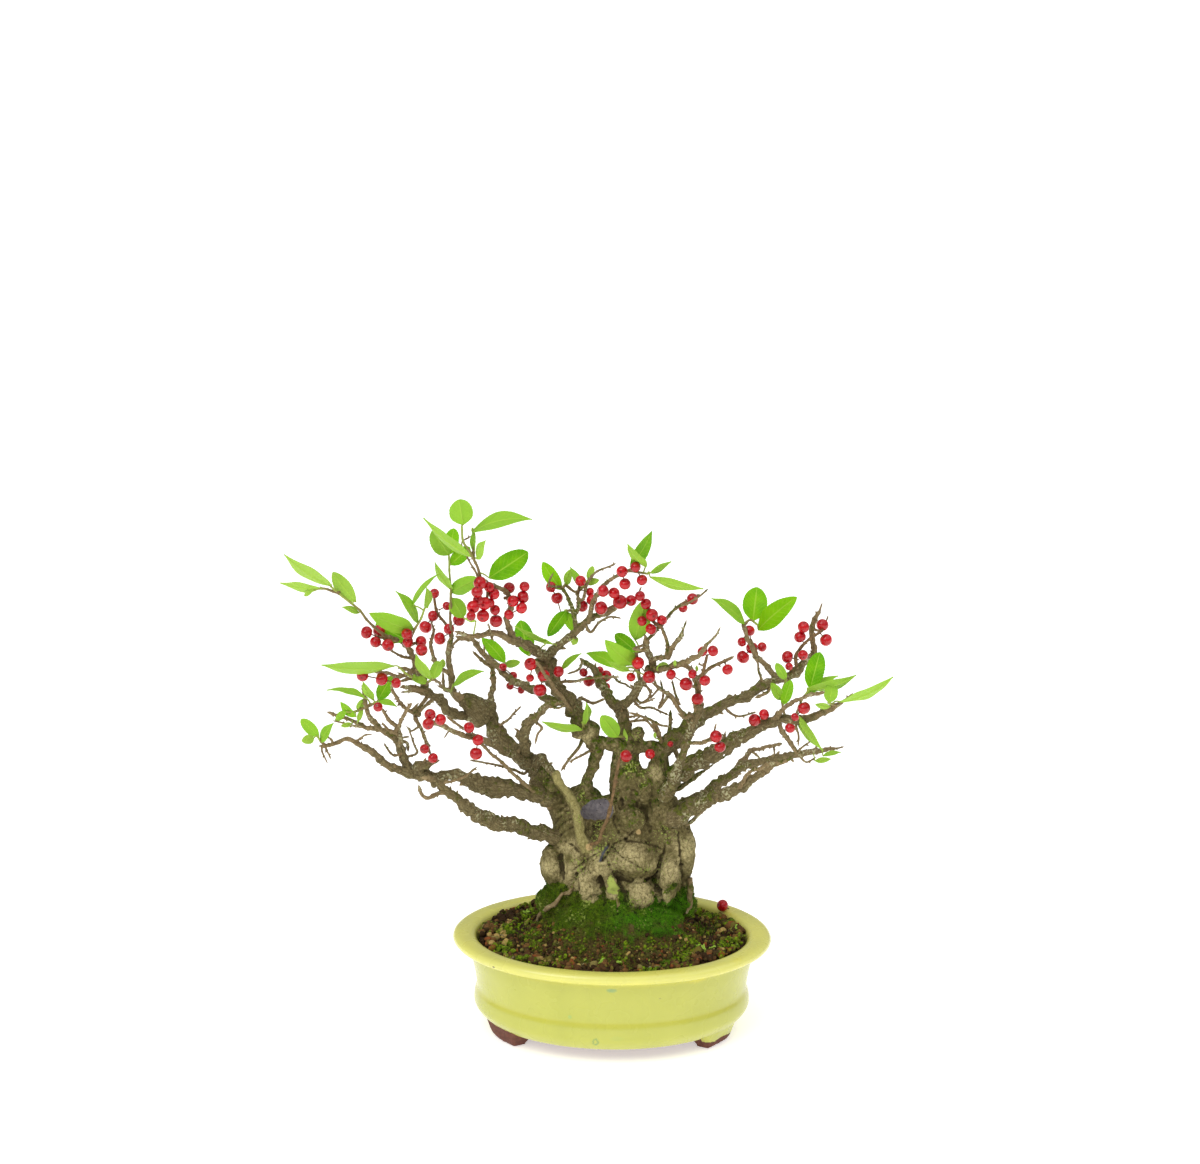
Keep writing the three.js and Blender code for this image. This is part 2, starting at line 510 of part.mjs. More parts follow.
// Bunches of berries: routes of the spurs that carry them, then each berry's column, row and radius
const BERRIES = {
  berries_left_outer: {
    stems: [[[[390, 639], [378, 637]], -24]],
    fruit: [[366.5, 632.5, 6], [379, 631, 6], [375.5, 642, 5.5], [388, 645, 6]],
  },
  berries_left_upper: {
    stems: [[[[408, 648], [415, 643]], -30]],
    fruit: [[407, 634, 5.5], [408, 642, 5.5], [421, 641.5, 5.5], [421.5, 650, 6]],
  },
  berries_back_left: {
    stems: [[[[451, 640], [447, 626], [437, 612], [434, 597]], 44]],
    fruit: [[434.5, 593.5, 5], [446.7, 606, 4.5], [433, 616, 5.5], [425.5, 627, 6.5], [459, 620, 6.2],
      [449, 629, 5.5],
      [440, 638.5, 6.3]],
  },
  berries_left_edge: {
    stems: [],
    fruit: [[362.5, 675.5, 5.7], [381.5, 679, 6.3], [396, 683, 5]],
  },
  berries_left_low: {
    stems: [],
    fruit: [[430, 714.5, 5.5], [440.5, 719.5, 5.5], [428, 724, 5.5]],
  },
  berries_left_hanging: {
    stems: [[[[427, 742], [430, 753]], -32]],
    fruit: [[424.5, 749, 4.7], [433, 758, 5]],
  },
  berries_left_inner: {
    stems: [],
    fruit: [[469, 727.5, 5.3], [478, 740, 5.5], [476, 753.5, 6.2]],
  },
  berries_crown_left: {
    stems: [[[[488, 583], [487, 598], [483, 612]], -46]],
    fruit: [[480, 583, 6.3], [489, 587, 5], [477, 592, 5.5], [494, 594, 5.5], [478, 600, 5],
      [473, 607, 6], [484.5, 603.5, 6.3],
      [490, 603, 4.5], [471, 616, 4.5], [483, 616, 6], [496, 621, 6.2], [495, 610, 5]],
  },
  berries_crown_left_mid: {
    stems: [[[[507, 598], [516, 597]], -40]],
    fruit: [[509, 588, 5.7], [524.5, 586.5, 5], [513, 601, 5.5], [523, 597, 6], [521.5, 608, 5.5],
      [509, 614.5, 5]],
  },
  berries_crown_back: {
    stems: [],
    fruit: [[551, 587, 5.5], [557, 598, 6], [562, 617, 4]],
  },
  berries_crown_centre: {
    stems: [[[[577, 594], [580, 584]], 18]],
    fruit: [[580.5, 581, 5.5], [582, 606, 6], [592, 600, 5.5], [590, 592, 4.4]],
  },
  berries_crown_front: {
    stems: [[[[606, 613], [616, 605], [628, 603]], -22]],
    fruit: [[603, 591, 5.7], [601, 608, 6.5], [614, 593, 5.5], [620, 602, 7], [631, 600.5, 5.5]],
  },
  berries_crown_right: {
    stems: [],
    fruit: [[622, 571.5, 5.5], [635.5, 567, 5], [625, 584, 5.5], [642, 580, 5.2]],
  },
  berries_centre_right: {
    stems: [[[[662, 629], [652, 620], [648, 606]], -24], [[[660, 627], [680, 605], [698, 595]], 4]],
    fruit: [[640, 596, 5], [646, 604, 5.3], [652, 615, 6], [651, 629, 5.5], [642, 621, 5],
      [662, 620, 5], [692.5, 599, 5.7],
      [683, 608, 4.6]],
  },
  berries_centre_left: {
    stems: [[[[543, 668], [532, 668]], -20]],
    fruit: [[530.5, 664, 6.2], [543.5, 675.5, 6.2], [540, 690, 6.7], [530, 678, 4], [558.5, 671.5, 5.5]],
  },
  berries_back_inner: {
    stems: [],
    fruit: [[503, 667, 4], [513, 676, 4.5], [510, 686, 4], [521, 690, 4]],
  },
  berries_centre: {
    stems: [],
    fruit: [[583.5, 672.5, 4.5], [589, 681, 6], [606, 676, 6], [606, 687, 4.5], [600, 670, 3.8]],
  },
  berries_centre_low: {
    stems: [],
    fruit: [[638, 663, 6.2], [631, 677, 4.5], [649, 677, 6.3]],
  },
  berry_hanging: {
    stems: [[[[598, 842], [602, 831], [608, 817], [613, 794], [617, 771], [620, 758]], -24]],
    fruit: [[626, 756, 6]],
  },
  berries_front_right: {
    stems: [[[[697, 690], [703, 672], [707, 656]], -40]],
    fruit: [[671, 674.5, 5], [686, 684, 6.5], [692.5, 674, 4.5], [705, 680.5, 5.3], [697.5, 699, 6],
      [702.5, 651.5, 5],
      [713, 651, 5.3]],
  },
  berries_right_back: {
    stems: [[[[757, 655], [751, 640]], 62]],
    fruit: [[743, 657, 6.8], [752, 648, 6.2], [742, 642, 5], [762, 647, 5], [749, 631, 6]],
  },
  berries_right_front: {
    stems: [],
    fruit: [[716, 736.5, 6], [720, 747, 5.5]],
  },
  berries_right_inner: {
    stems: [],
    fruit: [[754.5, 720, 6], [764, 714.5, 5.3]],
  },
  berries_right_upper: {
    stems: [[[[797, 668], [796, 656], [806, 642], [822, 631]], 38]],
    fruit: [[787.5, 657, 6.3], [803, 655, 5.2], [789, 666.5, 4], [803.5, 627, 6], [800, 637, 6],
      [822.5, 625, 6.2],
      [826, 640, 6.3]],
  },
  berries_right_outer: {
    stems: [],
    fruit: [[804, 708, 6.2], [790, 728, 5], [795, 717, 4]],
  },
};
const FALLEN_BERRY = [722.5, 906, 29.5, 3];

const place = (w) => seen(w.column, w.row, w.depth);

// What stands in the way of a new piece: balls along the wood, blades and berries placed so far
const inTheWay = [];
const wood = [];

// The one of a list that the front view shows nearest to a column and row
function nearestTo(column, row, among) {
  const away = (w) => Math.hypot(w.column - column, w.row - row);
  return among.reduce((best, w) => (away(w) < away(best) ? w : best));
}

// A smooth route as even stops. With no first depth it leaves the nearest wood, from its middle
function followed(points, depths, among) {
  const from = depths[0] === null ? nearestTo(points[0][0], points[0][1], among) : null;
  const known = from ? [from.depth, ...depths.slice(1)] : depths;
  const drawn = from ? [[from.column, from.row], ...points.slice(1)] : points;
  const apart = from ? Math.hypot(from.column - points[0][0], from.row - points[0][1]) : 0;
  if (apart > 4) drawn.splice(1, 0, points[0]);
  const runs = [0];
  for (let i = 1; i < drawn.length; i += 1) {
    runs.push(runs[i - 1] + Math.hypot(drawn[i][0] - drawn[i - 1][0], drawn[i][1] - drawn[i - 1][1]));
  }
  const end = runs[runs.length - 1];
  const marks = drawn.map(([column, row], i) => (
    new THREE.Vector3(column, row, spaced(known, runs[i] / end) / GRID)
  ));
  const curve = new THREE.CatmullRomCurve3(marks, false, "centripetal");
  const steps = Math.max(2, Math.round((curve.getLength() * GRID) / TUBE_STEP));
  const stops = [];
  for (let i = 0; i <= steps; i += 1) {
    const at = curve.getPointAt(i / steps);
    stops.push({ column: at.x, row: at.y, depth: at.z * GRID, share: i / steps });
  }
  return stops;
}

function sampled(stops, widths) {
  const list = [];
  for (let i = 1; i < stops.length; i += 1) {
    const right = stops[i].column - stops[i - 1].column;
    const down = stops[i].row - stops[i - 1].row;
    const parts = Math.ceil(Math.hypot(right, down) / 3);
    for (let k = 0; k <= parts; k += 1) {
      const mix = (key) => stops[i - 1][key] + (stops[i][key] - stops[i - 1][key]) * (k / parts);
      const radius = (spaced(widths, mix("share")) * GRID) / 2;
      list.push({ column: mix("column"), row: mix("row"), depth: mix("depth"), radius });
    }
  }
  return list;
}

// How many of a piece's points come too close to what is in the way, apart from those near its own root
function blocked(points, radius, root, rootReach) {
  return points.filter((p) => {
    if (root && p.distanceTo(root) < rootReach) return false;
    return inTheWay.some((o) => p.distanceTo(o.at) < o.radius + radius + CLEAR);
  }).length;
}

function keep(points, radius) {
  points.forEach((at) => inTheWay.push({ at, radius }));
}

// The candidate that is least blocked, the earlier one where two are equal
function clearest(candidates, count) {
  let best = candidates[0];
  let least = Infinity;
  for (const candidate of candidates) {
    const now = count(candidate);
    if (now < least) {
      best = candidate;
      least = now;
    }
    if (least === 0) break;
  }
  return best;
}

// A route of wood as a solid and a slightly larger solid to cut its neighbours with
function woodTube([points, widths, depths], sides, among) {
  const stops = followed(points, depths, among);
  const along = sampled(stops, widths);
  among.push(...along);
  const radii = widths.map((w) => (w * GRID) / 2);
  const route = stops.map(place);
  return { plain: solid(tube(route, radii, sides)), grown: solid(tube(route, radii, sides, CLEAR)) };
}

function together(pieces) {
  return { plain: fused(pieces.map((p) => p.plain)), grown: fused(pieces.map((p) => p.grown)) };
}

function makeTrunk() {
  const lobes = LOBES.map(([column, row, depth, across, deep, high, lean]) => {
    const centre = seen(column, row, depth);
    inTheWay.push({ at: centre, radius: Math.min(across, deep, high) });
    return {
      plain: solid(ellipsoid(centre, across, deep, high, lean)),
      grown: solid(ellipsoid(centre, across, deep, high, lean, CLEAR)),
    };
  });
  const own = [];
  const columns = COLUMNS.map((route) => woodTube(route, 9, own));
  wood.push(...own);
  return together([...lobes, ...columns]);
}

function makeLimb(routes) {
  const own = [];
  const made = routes.map((route) => {
    const widest = Math.max(...route[1]);
    return woodTube(route, widest > 9 ? 6 : (widest > 5 ? 5 : 4), own);
  });
  wood.push(...own);
  return together(made);
}

// The edges of a toothed blade from a stem to its tip: a stalk, then the blade itself
const SHARES = [0, 0.08, 0.3, 0.42, 0.56, 0.74, 1];
const WIDTHS = [0, 0.22, 0.94, 0.86, 1, 0.78, 0.08];
const SMALL_SHARES = [0, 0.08, 0.4, 0.7, 1];
const SMALL_WIDTHS = [0, 0.22, 1, 0.8, 0.08];
const SMALL_BLADE = 11;

function bladeStations(from, base, to, wide, roll, arch) {
  const along = to.clone().sub(base);
  const long = along.length();
  along.normalize();
  const sight = base.clone().sub(EYE).normalize();
  const side = along.clone().cross(sight).normalize();
  const face = side.clone().cross(along).normalize();
  const across = side.clone().multiplyScalar(Math.cos(roll)).addScaledVector(face, Math.sin(roll));
  const normal = along.clone().cross(across).normalize();
  const shares = long < SMALL_BLADE ? SMALL_SHARES : SHARES;
  const widths = long < SMALL_BLADE ? SMALL_WIDTHS : WIDTHS;
  return shares.map((share, i) => {
    const centre = i === 0 ? from.clone() : base.clone().addScaledVector(along, long * share);
    centre.addScaledVector(normal, i === 0 ? 0 : arch * long * 4 * share * (1 - share));
    return { centre, across, normal, half: Math.max((wide / 2) * widths[i], 0.36) };
  });
}

function blade(stations, grown) {
  const points = [];
  stations.forEach(({ centre, across, normal, half }) => {
    const thick = BLADE_THICK / 2 + grown;
    [[-1, -1], [1, -1], [1, 1], [-1, 1]].forEach(([s, t]) => {
      points.push(centre.clone().addScaledVector(across, s * (half + grown)).addScaledVector(normal,
        t * thick));
    });
  });
  const faces = [];
  for (let i = 0; i < stations.length - 1; i += 1) {
    for (let k = 0; k < 4; k += 1) {
      const a = i * 4 + k;
      const b = i * 4 + ((k + 1) % 4);
      faces.push(a, b, b + 4, a, b + 4, a + 4);
    }
  }
  const end = (stations.length - 1) * 4;
  faces.push(0, 2, 1, 0, 3, 2, end, end + 1, end + 2, end, end + 2, end + 3);
  const made = solid(closed(points, faces));
  return made.volume() > 0 ? made : solid(closed(points, faces.slice().reverse()));
}

function between(a, b, bend, parts) {
  const list = [];
  for (let i = 0; i <= parts; i += 1) {
    const share = i / parts;
    list.push(a.clone().lerp(b, share).addScaledVector(bend, 4 * share * (1 - share)));
  }
  return list;
}

const BENDS = [[0, 0, 0], [0, -2, 0], [0, 2, 0], [0, -4, 0], [0, 0, 2], [0, 0, -2], [0, 4, 0],
  [0, -6, 0], [0, 6, 0], [0, -9, 0]]
  .map(([x, y, z]) => new THREE.Vector3(x, y, z));

// A stalk from the handiest of the given starts, bent clear of what is in the way
function stalk(starts, to, endReach) {
  const far = (w) => place(w).distanceTo(to);
  const handy = starts.slice().sort((a, b) => far(a) - far(b)).slice(0, 5);
  const ways = handy.flatMap((from) => BENDS.map((bend) => ({ from, bend })));
  const { from, bend } = clearest(ways, (way) => {
    const points = between(place(way.from), to, way.bend, 10).filter((p) => p.distanceTo(to) > endReach);
    return blocked(points, STALK_WIDE / 2, place(way.from), way.from.radius + 0.9);
  });
  const route = bend.length() > 0 ? between(place(from), to, bend, 3) : [place(from), to];
  const radii = [STALK_WIDE / 2, STALK_WIDE / 2];
  return { plain: solid(tube(route, radii, 3)), grown: solid(tube(route, radii, 3, CLEAR)) };
}

const SHIFTS = [0, -1.5, 1.5, -3, 3, -4.5, 4.5, -6, 6, -8, 8, -10, 10, -13, 13];

// The green stems or fruiting spurs of one bunch, brought out clear of the wood.
// The first leaves the wood, and the others leave the first.
function stemsOf(stems, own) {
  return stems.map(([points, depth]) => {
    const among = own.length > 0 ? own : wood;
    const root = nearestTo(points[0][0], points[0][1], among);
    const routeAt = (shift) => followed(points, [null, depth + shift, depth + shift], [root]);
    const shift = clearest(SHIFTS, (s) => (
      blocked(sampled(routeAt(s), [2]).map(place), 0.6, place(root), root.radius + 2.4)
    ));
    const stops = routeAt(shift);
    own.push(...sampled(stops, [2.4]));
    const route = stops.map(place);
    const radii = [0.74, 0.62];
    return { plain: solid(tube(route, radii, 4)), grown: solid(tube(route, radii, 4, CLEAR)) };
  });
}

// The points of a stem that stand clear of the wood, or its end
function clearPart(own) {
  const free = own.filter((w) => blocked([place(w)], 0.6, null, 0) === 0);
  return free.length > 0 ? free : own.slice(-1);
}

function makeLeaves({ stems, blades }, seed) {
  const random = seeded(seed);
  const own = [];
  const pieces = stemsOf(stems, own);
  const free = clearPart(own);
  const used = [];
  blades.forEach(([fromColumn, fromRow, toColumn, toRow, wide, lean]) => {
    const near = nearestTo(fromColumn, fromRow, free);
    const root = place(near);
    const arch = 0.05 + 0.05 * random();
    const turned = random() < 0.5 ? -1 : 1;
    const stationsAt = (shift) => {
      const base = seen(fromColumn, fromRow, near.depth + shift * 0.4);
      const tip = seen(toColumn, toRow, near.depth + lean + shift);
      const broad = Math.max(wide * GRID, base.distanceTo(tip) * BLADE_SHARE, 2.2);
      const roll = Math.acos(Math.min(1, (wide * GRID) / broad)) * turned;
      return bladeStations(root, base, tip, broad, roll, arch);
    };
    const pointsOf = (stations) => stations.flatMap(({ centre, across, half }) => (
      [-0.9, -0.45, 0, 0.45, 0.9].map((s) => centre.clone().addScaledVector(across, s * half))
    ));
    const shift = clearest(SHIFTS, (s) => blocked(pointsOf(stationsAt(s)), BLADE_THICK / 2, root, 1.6));
    const stations = stationsAt(shift);
    used.push(...pointsOf(stations));
    pieces.push({ plain: blade(stations, 0), grown: blade(stations, CLEAR) });
  });
  keep(used, 0.5);
  keep(own.map(place), 0.6);
  return together(pieces);
}

function makeBerries({ stems, fruit }, seed) {
  const random = seeded(seed);
  const own = [];
  const pieces = stemsOf(stems, own);
  const set = [];
  const anchors = own.length > 0 ? clearPart(own) : [nearestTo(fruit[0][0], fruit[0][1], wood)];
  const left = fruit.slice();
  while (left.length > 0) {
    const nearest = ([column, row]) => {
      const close = nearestTo(column, row, anchors);
      return Math.hypot(close.column - column, close.row - row);
    };
    left.sort((a, b) => nearest(a) - nearest(b));
    const [column, row, size] = left.shift();
    const radius = size * GRID;
    const anchor = nearestTo(column, row, anchors);
    const start = anchor.depth + (random() - 0.5) * 3;
    const shift = clearest(SHIFTS, (s) => {
      const centre = seen(column, row, start + s);
      const crowded = set.filter((o) => centre.distanceTo(place(o)) < (radius + o.radius) * 0.94).length;
      const onStem = own.filter((o) => centre.distanceTo(place(o)) < radius + 0.2).length;
      return blocked([centre], radius, null, 0) * 3 + crowded * 2 + (onStem > 0 ? 1 : 0);
    });
    const depth = start + shift;
    const centre = seen(column, row, depth);
    const ball = (reach) => {
      const shape = new THREE.IcosahedronGeometry(reach, 0);
      shape.rotateX(0.4);
      shape.translate(centre.x, centre.y, centre.z);
      return solid(shape);
    };
    pieces.push({ plain: ball(radius * BERRY_FULL), grown: ball(radius * BERRY_FULL + CLEAR * 1.25) });
    pieces.push(stalk(anchors, centre, radius));
    if (own.length === 0 && set.length === 0) anchors.pop();
    set.push({ column, row, depth, radius });
    anchors.push({ column, row, depth, radius });
  }
  set.forEach((o) => inTheWay.push({ at: place(o), radius: o.radius }));
  keep(own.map(place), 0.6);
  return together(pieces);
}

// Every node is cut back from the ones before it, so that neighbours stay a little apart
function addCut(name, look, { plain, grown }) {
  let body = plain;
  for (const other of placed) {
    if (boxesMeet(body, other)) body = body.subtract(other);
  }
  body = largest(body);
  placed.push(grown);
  nodes.push({ name, look, body });
}

addCut("trunk", bark, makeTrunk());
Object.entries(LIMBS).forEach(([name, routes]) => addCut(name, bark, makeLimb(routes)));
wood.forEach((w) => inTheWay.push({ at: place(w), radius: w.radius }));
Object.entries(BERRIES).forEach(([name, bunch], i) => addCut(name, berry, makeBerries(bunch, 40 + i)));
Object.entries(LEAVES).forEach(([name, spray], i) => addCut(name, leaf, makeLeaves(spray, 80 + i)));
nodes.push({ name: "pot", look: glaze, body: makePot() });
nodes.push({ name: "soil", look: earth, body: largest(makeSoil().subtract(placed[0])) });
const fallen = new THREE.OctahedronGeometry(FALLEN_BERRY[3], 1);
fallen.translate(seen(FALLEN_BERRY[0], FALLEN_BERRY[1], FALLEN_BERRY[2]).x, FALLEN_BERRY[2],
  POT_HIGH + FALLEN_BERRY[3] - 0.35);
nodes.push({ name: "fallen_berry", look: berry, body: solid(fallen) });

for (const { name, look, body } of nodes) {
  const mesh = body.getMesh();
  const geometry = new THREE.BufferGeometry();
  geometry.setAttribute("position", new THREE.BufferAttribute(new Float32Array(mesh.vertProperties), 3));
  geometry.setIndex(new THREE.BufferAttribute(new Uint32Array(mesh.triVerts), 1));
  geometry.computeVertexNormals();
  const piece = new THREE.Mesh(geometry, new THREE.MeshStandardMaterial(look));
  piece.name = name;
  root.add(piece);
}

// The origin sits under the middle of the whole plant, at the pot's feet
const whole = new THREE.Box3().setFromObject(root);
const middle = whole.getCenter(new THREE.Vector3());
root.children.forEach((piece) => piece.geometry.translate(-middle.x, -middle.y, -whole.min.z));

export default root;
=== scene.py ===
"""A winterberry bonsai in an oval glazed pot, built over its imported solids.

Sizes are in millimetres of the plant's own drawing, with the pot's middle at the origin and its feet
at height 0. `metres` moves them into the frame of the solids.
"""

import math
from functools import lru_cache

import bpy
import bmesh
import numpy as np
from bpy.props import FloatProperty, FloatVectorProperty, IntProperty, PointerProperty
from bpy.types import Operator, Panel, PropertyGroup
from mathutils import Matrix, Vector


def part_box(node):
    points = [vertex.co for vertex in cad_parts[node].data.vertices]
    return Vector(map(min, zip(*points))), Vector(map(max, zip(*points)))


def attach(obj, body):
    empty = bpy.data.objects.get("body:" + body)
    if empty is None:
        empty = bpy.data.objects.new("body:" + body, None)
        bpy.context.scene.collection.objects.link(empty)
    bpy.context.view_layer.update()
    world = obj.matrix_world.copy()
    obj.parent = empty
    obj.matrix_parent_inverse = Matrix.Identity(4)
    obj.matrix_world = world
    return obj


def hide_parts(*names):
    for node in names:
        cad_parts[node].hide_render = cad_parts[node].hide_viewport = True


bl_info = {
    "name": "Winterberry Bonsai",
    "version": (1, 0, 0),
    "blender": (4, 5, 0),
    "location": "View3D > Sidebar > Bonsai",
    "description": "Builds a winterberry bonsai with its leaves, berries, soil, moss and glazed pot",
    "category": "Add Mesh",
}

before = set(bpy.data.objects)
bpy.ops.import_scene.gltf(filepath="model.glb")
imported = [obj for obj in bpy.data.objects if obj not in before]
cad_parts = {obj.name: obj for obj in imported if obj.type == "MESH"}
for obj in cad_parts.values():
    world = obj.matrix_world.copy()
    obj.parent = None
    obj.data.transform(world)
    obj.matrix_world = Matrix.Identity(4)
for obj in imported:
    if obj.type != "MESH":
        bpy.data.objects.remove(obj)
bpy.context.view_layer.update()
POT_LOW, POT_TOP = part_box("pot")
POT_MIDDLE = np.array([(POT_LOW.x + POT_TOP.x) * 500, (POT_LOW.y + POT_TOP.y) * 500, 0.0])

# Pot, in millimetres: outside and inside as radius and height, and the share of its depth to its width
RIM_ACROSS = 79.2
OVAL = 0.76
POT_HIGH = 50
DRAIN_APART = 56
DRAIN_WIDE = 10
POT_OUTSIDE = [(0, 6.5), (30, 6.5), (58, 6.5), (61.6, 6.7), (64.2, 8), (67.4, 11.5), (68.6, 14), (68.6, 18),
               (68.0, 20.4), (67.3, 22), (67.6, 26), (68.4, 31), (69.8, 37), (71.0, 42.2), (72.0, 43.9),
               (74.4, 44.3), (76.8, 44.8), (78.6, 46), (RIM_ACROSS, 47.8), (77.8, 49.4), (74.8, 50)]
POT_INSIDE = [(71.6, 49.95), (69.2, 49.6), (67.7, 48.2), (66.8, 44), (64, 30), (62.4, 16), (59, 11.2),
              (30, 11), (0, 11)]
LIP_FROM = 43.2
LIP_EDGE = 48.4
LIP_ACROSS = 75
POT_SIDES = 288
WALL_ACROSS = 66

# Where the pot is bare: its underside, the wiped edge round it, and the inside of the wall
BARE_ACROSS = 58
WIPED_ACROSS, WIPED_HIGH = 58.6, 7.3
INSIDE_LOW, INSIDE_HIGH = 12, 40

# A foot's arc and its sole's arc, as first angle and span in degrees, and its section from the inner top
# round to the sole's inner edge, as arc, radius and height
FOOT_ARCS = ((16, 28), (19, 20))
FOOT_SECTION = ((0, 51, 9), (0, 65.4, 10.4), (1, 62.6, 1.4), (1, 60.9, 0.02), (1, 54.2, 0.02))
FOOT_STEPS = 12

# Heights where the glaze pools, and how far it spreads
POOLS = ((43.0, 2.4), (21.2, 1.8))

# Soil
SOIL_ACROSS = 66.3
SOIL_HIGH = 47.6
SOIL_MOUND = 4.5
SOIL_WALL = ((66.2, 45.6), (65.7, 43), (63.5, 30), (61.9, 16.4), (58.6, 11.6), (0.5, 11.5))
FOOT_ACROSS, FOOT_DEEP = 33, 25
SLOPE_GRAINS = 1500
CRUMB = 0.7

# Plant, as in the solids: one step of the drawing's grid, gaps, widths and the drawing's own view
GRID = 0.5
CLEAR = 0.32
BLADE_THICK = 0.64
BLADE_SHARE = 0.4
STALK_WIDE = 0.9
STEM_RADIUS = 0.6
TUBE_STEP = 14
EYE = np.array([-8.0, -1400.0, 606.6])
PITCH = math.radians(15.06)
ROLL = math.radians(0.63)
FOCAL = 3003
MID_COLUMN = 600
MID_ROW = 582
DRAWING_WIDE = 1200
SENSOR_WIDE = 36
FLOOR_REACH = 12
TRUNK_AT = (617, 915, 6)

# Bends of a berry's stalk and shifts in depth, tried in turn until nothing is in the way
BENDS = [np.array(b, float) for b in ((0, 0, 0), (0, -2, 0), (0, 2, 0), (0, -4, 0), (0, 0, 2), (0, 0, -2),
                                      (0, 4, 0), (0, -6, 0), (0, 6, 0), (0, -9, 0))]
SHIFTS = [0, -1.5, 1.5, -3, 3, -4.5, 4.5, -6, 6, -8, 8, -10, 10, -13, 13]

# Lobes of the trunk: column, row and depth, half its width, depth and height, and lean in degrees
LOBES = [
    [617, 886, 8, 35, 22, 17, 0],
    [577, 848, 6, 14, 14, 26, 4],
    [668, 850, 6, 13, 14, 25, -3],
    [620, 840, 8, 22, 15, 24, 0],
    [580, 812, 6, 13, 12, 14, 0],
    [662, 818, 6, 10, 11, 16, 0],
    [636, 859, -6, 12.5, 9, 9.5, 0],
    [603, 862, -5, 9, 8, 10, 0],
    [586, 886, -10, 5.6, 5, 8, 0],
    [612, 885, -10, 5, 4.4, 6, 0],
    [640, 893, -12, 8, 5, 7, 0],
    [668, 882, -10, 5, 5, 12, 6],
    [686, 852, 0, 4.8, 7, 12, 0],
    [552, 864, 0, 5.4, 8, 10.5, 0],
    [560, 905, 4, 12, 12, 9, 20],
    [680, 903, 4, 8, 10, 10, -8],
    [617, 942, -4, 38, 27, 26, 0],
    [612, 944, -6, 46, 36, 13, 0],
    [615, 905, 18, 28, 12, 13, 0],
    [632, 819, -4, 6.6, 5, 6.6, 0],
    [600, 809, -3, 9, 5, 6, 0],
    [644, 788, 2, 4.5, 5, 9.5, 0],
]

# The trunk's columns and the limbs: each route's columns and rows, its widths in grid steps, and its
# depths. With no first depth it leaves the wood nearest to its start.
COLUMNS = [
    [[[624, 838], [627, 805], [626, 780], [626, 760], [627, 744]], [36, 34, 31, 29, 22], [7, 6, 5]],
    [[[578, 842], [568, 818], [561, 802], [549, 785], [538, 770]], [36, 34, 29, 25, 19], [6, 6, 8]],
    [[[657, 822], [656, 798], [658, 772], [660, 756], [662, 744]], [20, 18, 20, 19, 13], [5, 4, 4]],
    [[[590, 812], [586, 786], [593, 765], [597, 750], [590, 738], [583, 728]], [14, 12, 11, 12, 15, 16],
     [2, 2, 4]],
    [[[600, 741], [612, 743], [627, 748], [641, 748], [652, 746], [661, 750]], [11, 12, 12, 11, 12, 14],
     [3, 2, 3]],
    [[[586, 850], [581, 838], [579, 823], [575, 807], [567, 792], [558, 780], [555, 771]],
     [14, 12, 10, 9, 9, 9, 10], [-6, -13, -16]],
    [[[660, 800], [692, 779], [719, 760], [731, 753]], [7, 5, 4], [4, 8, 6, 14]],
]

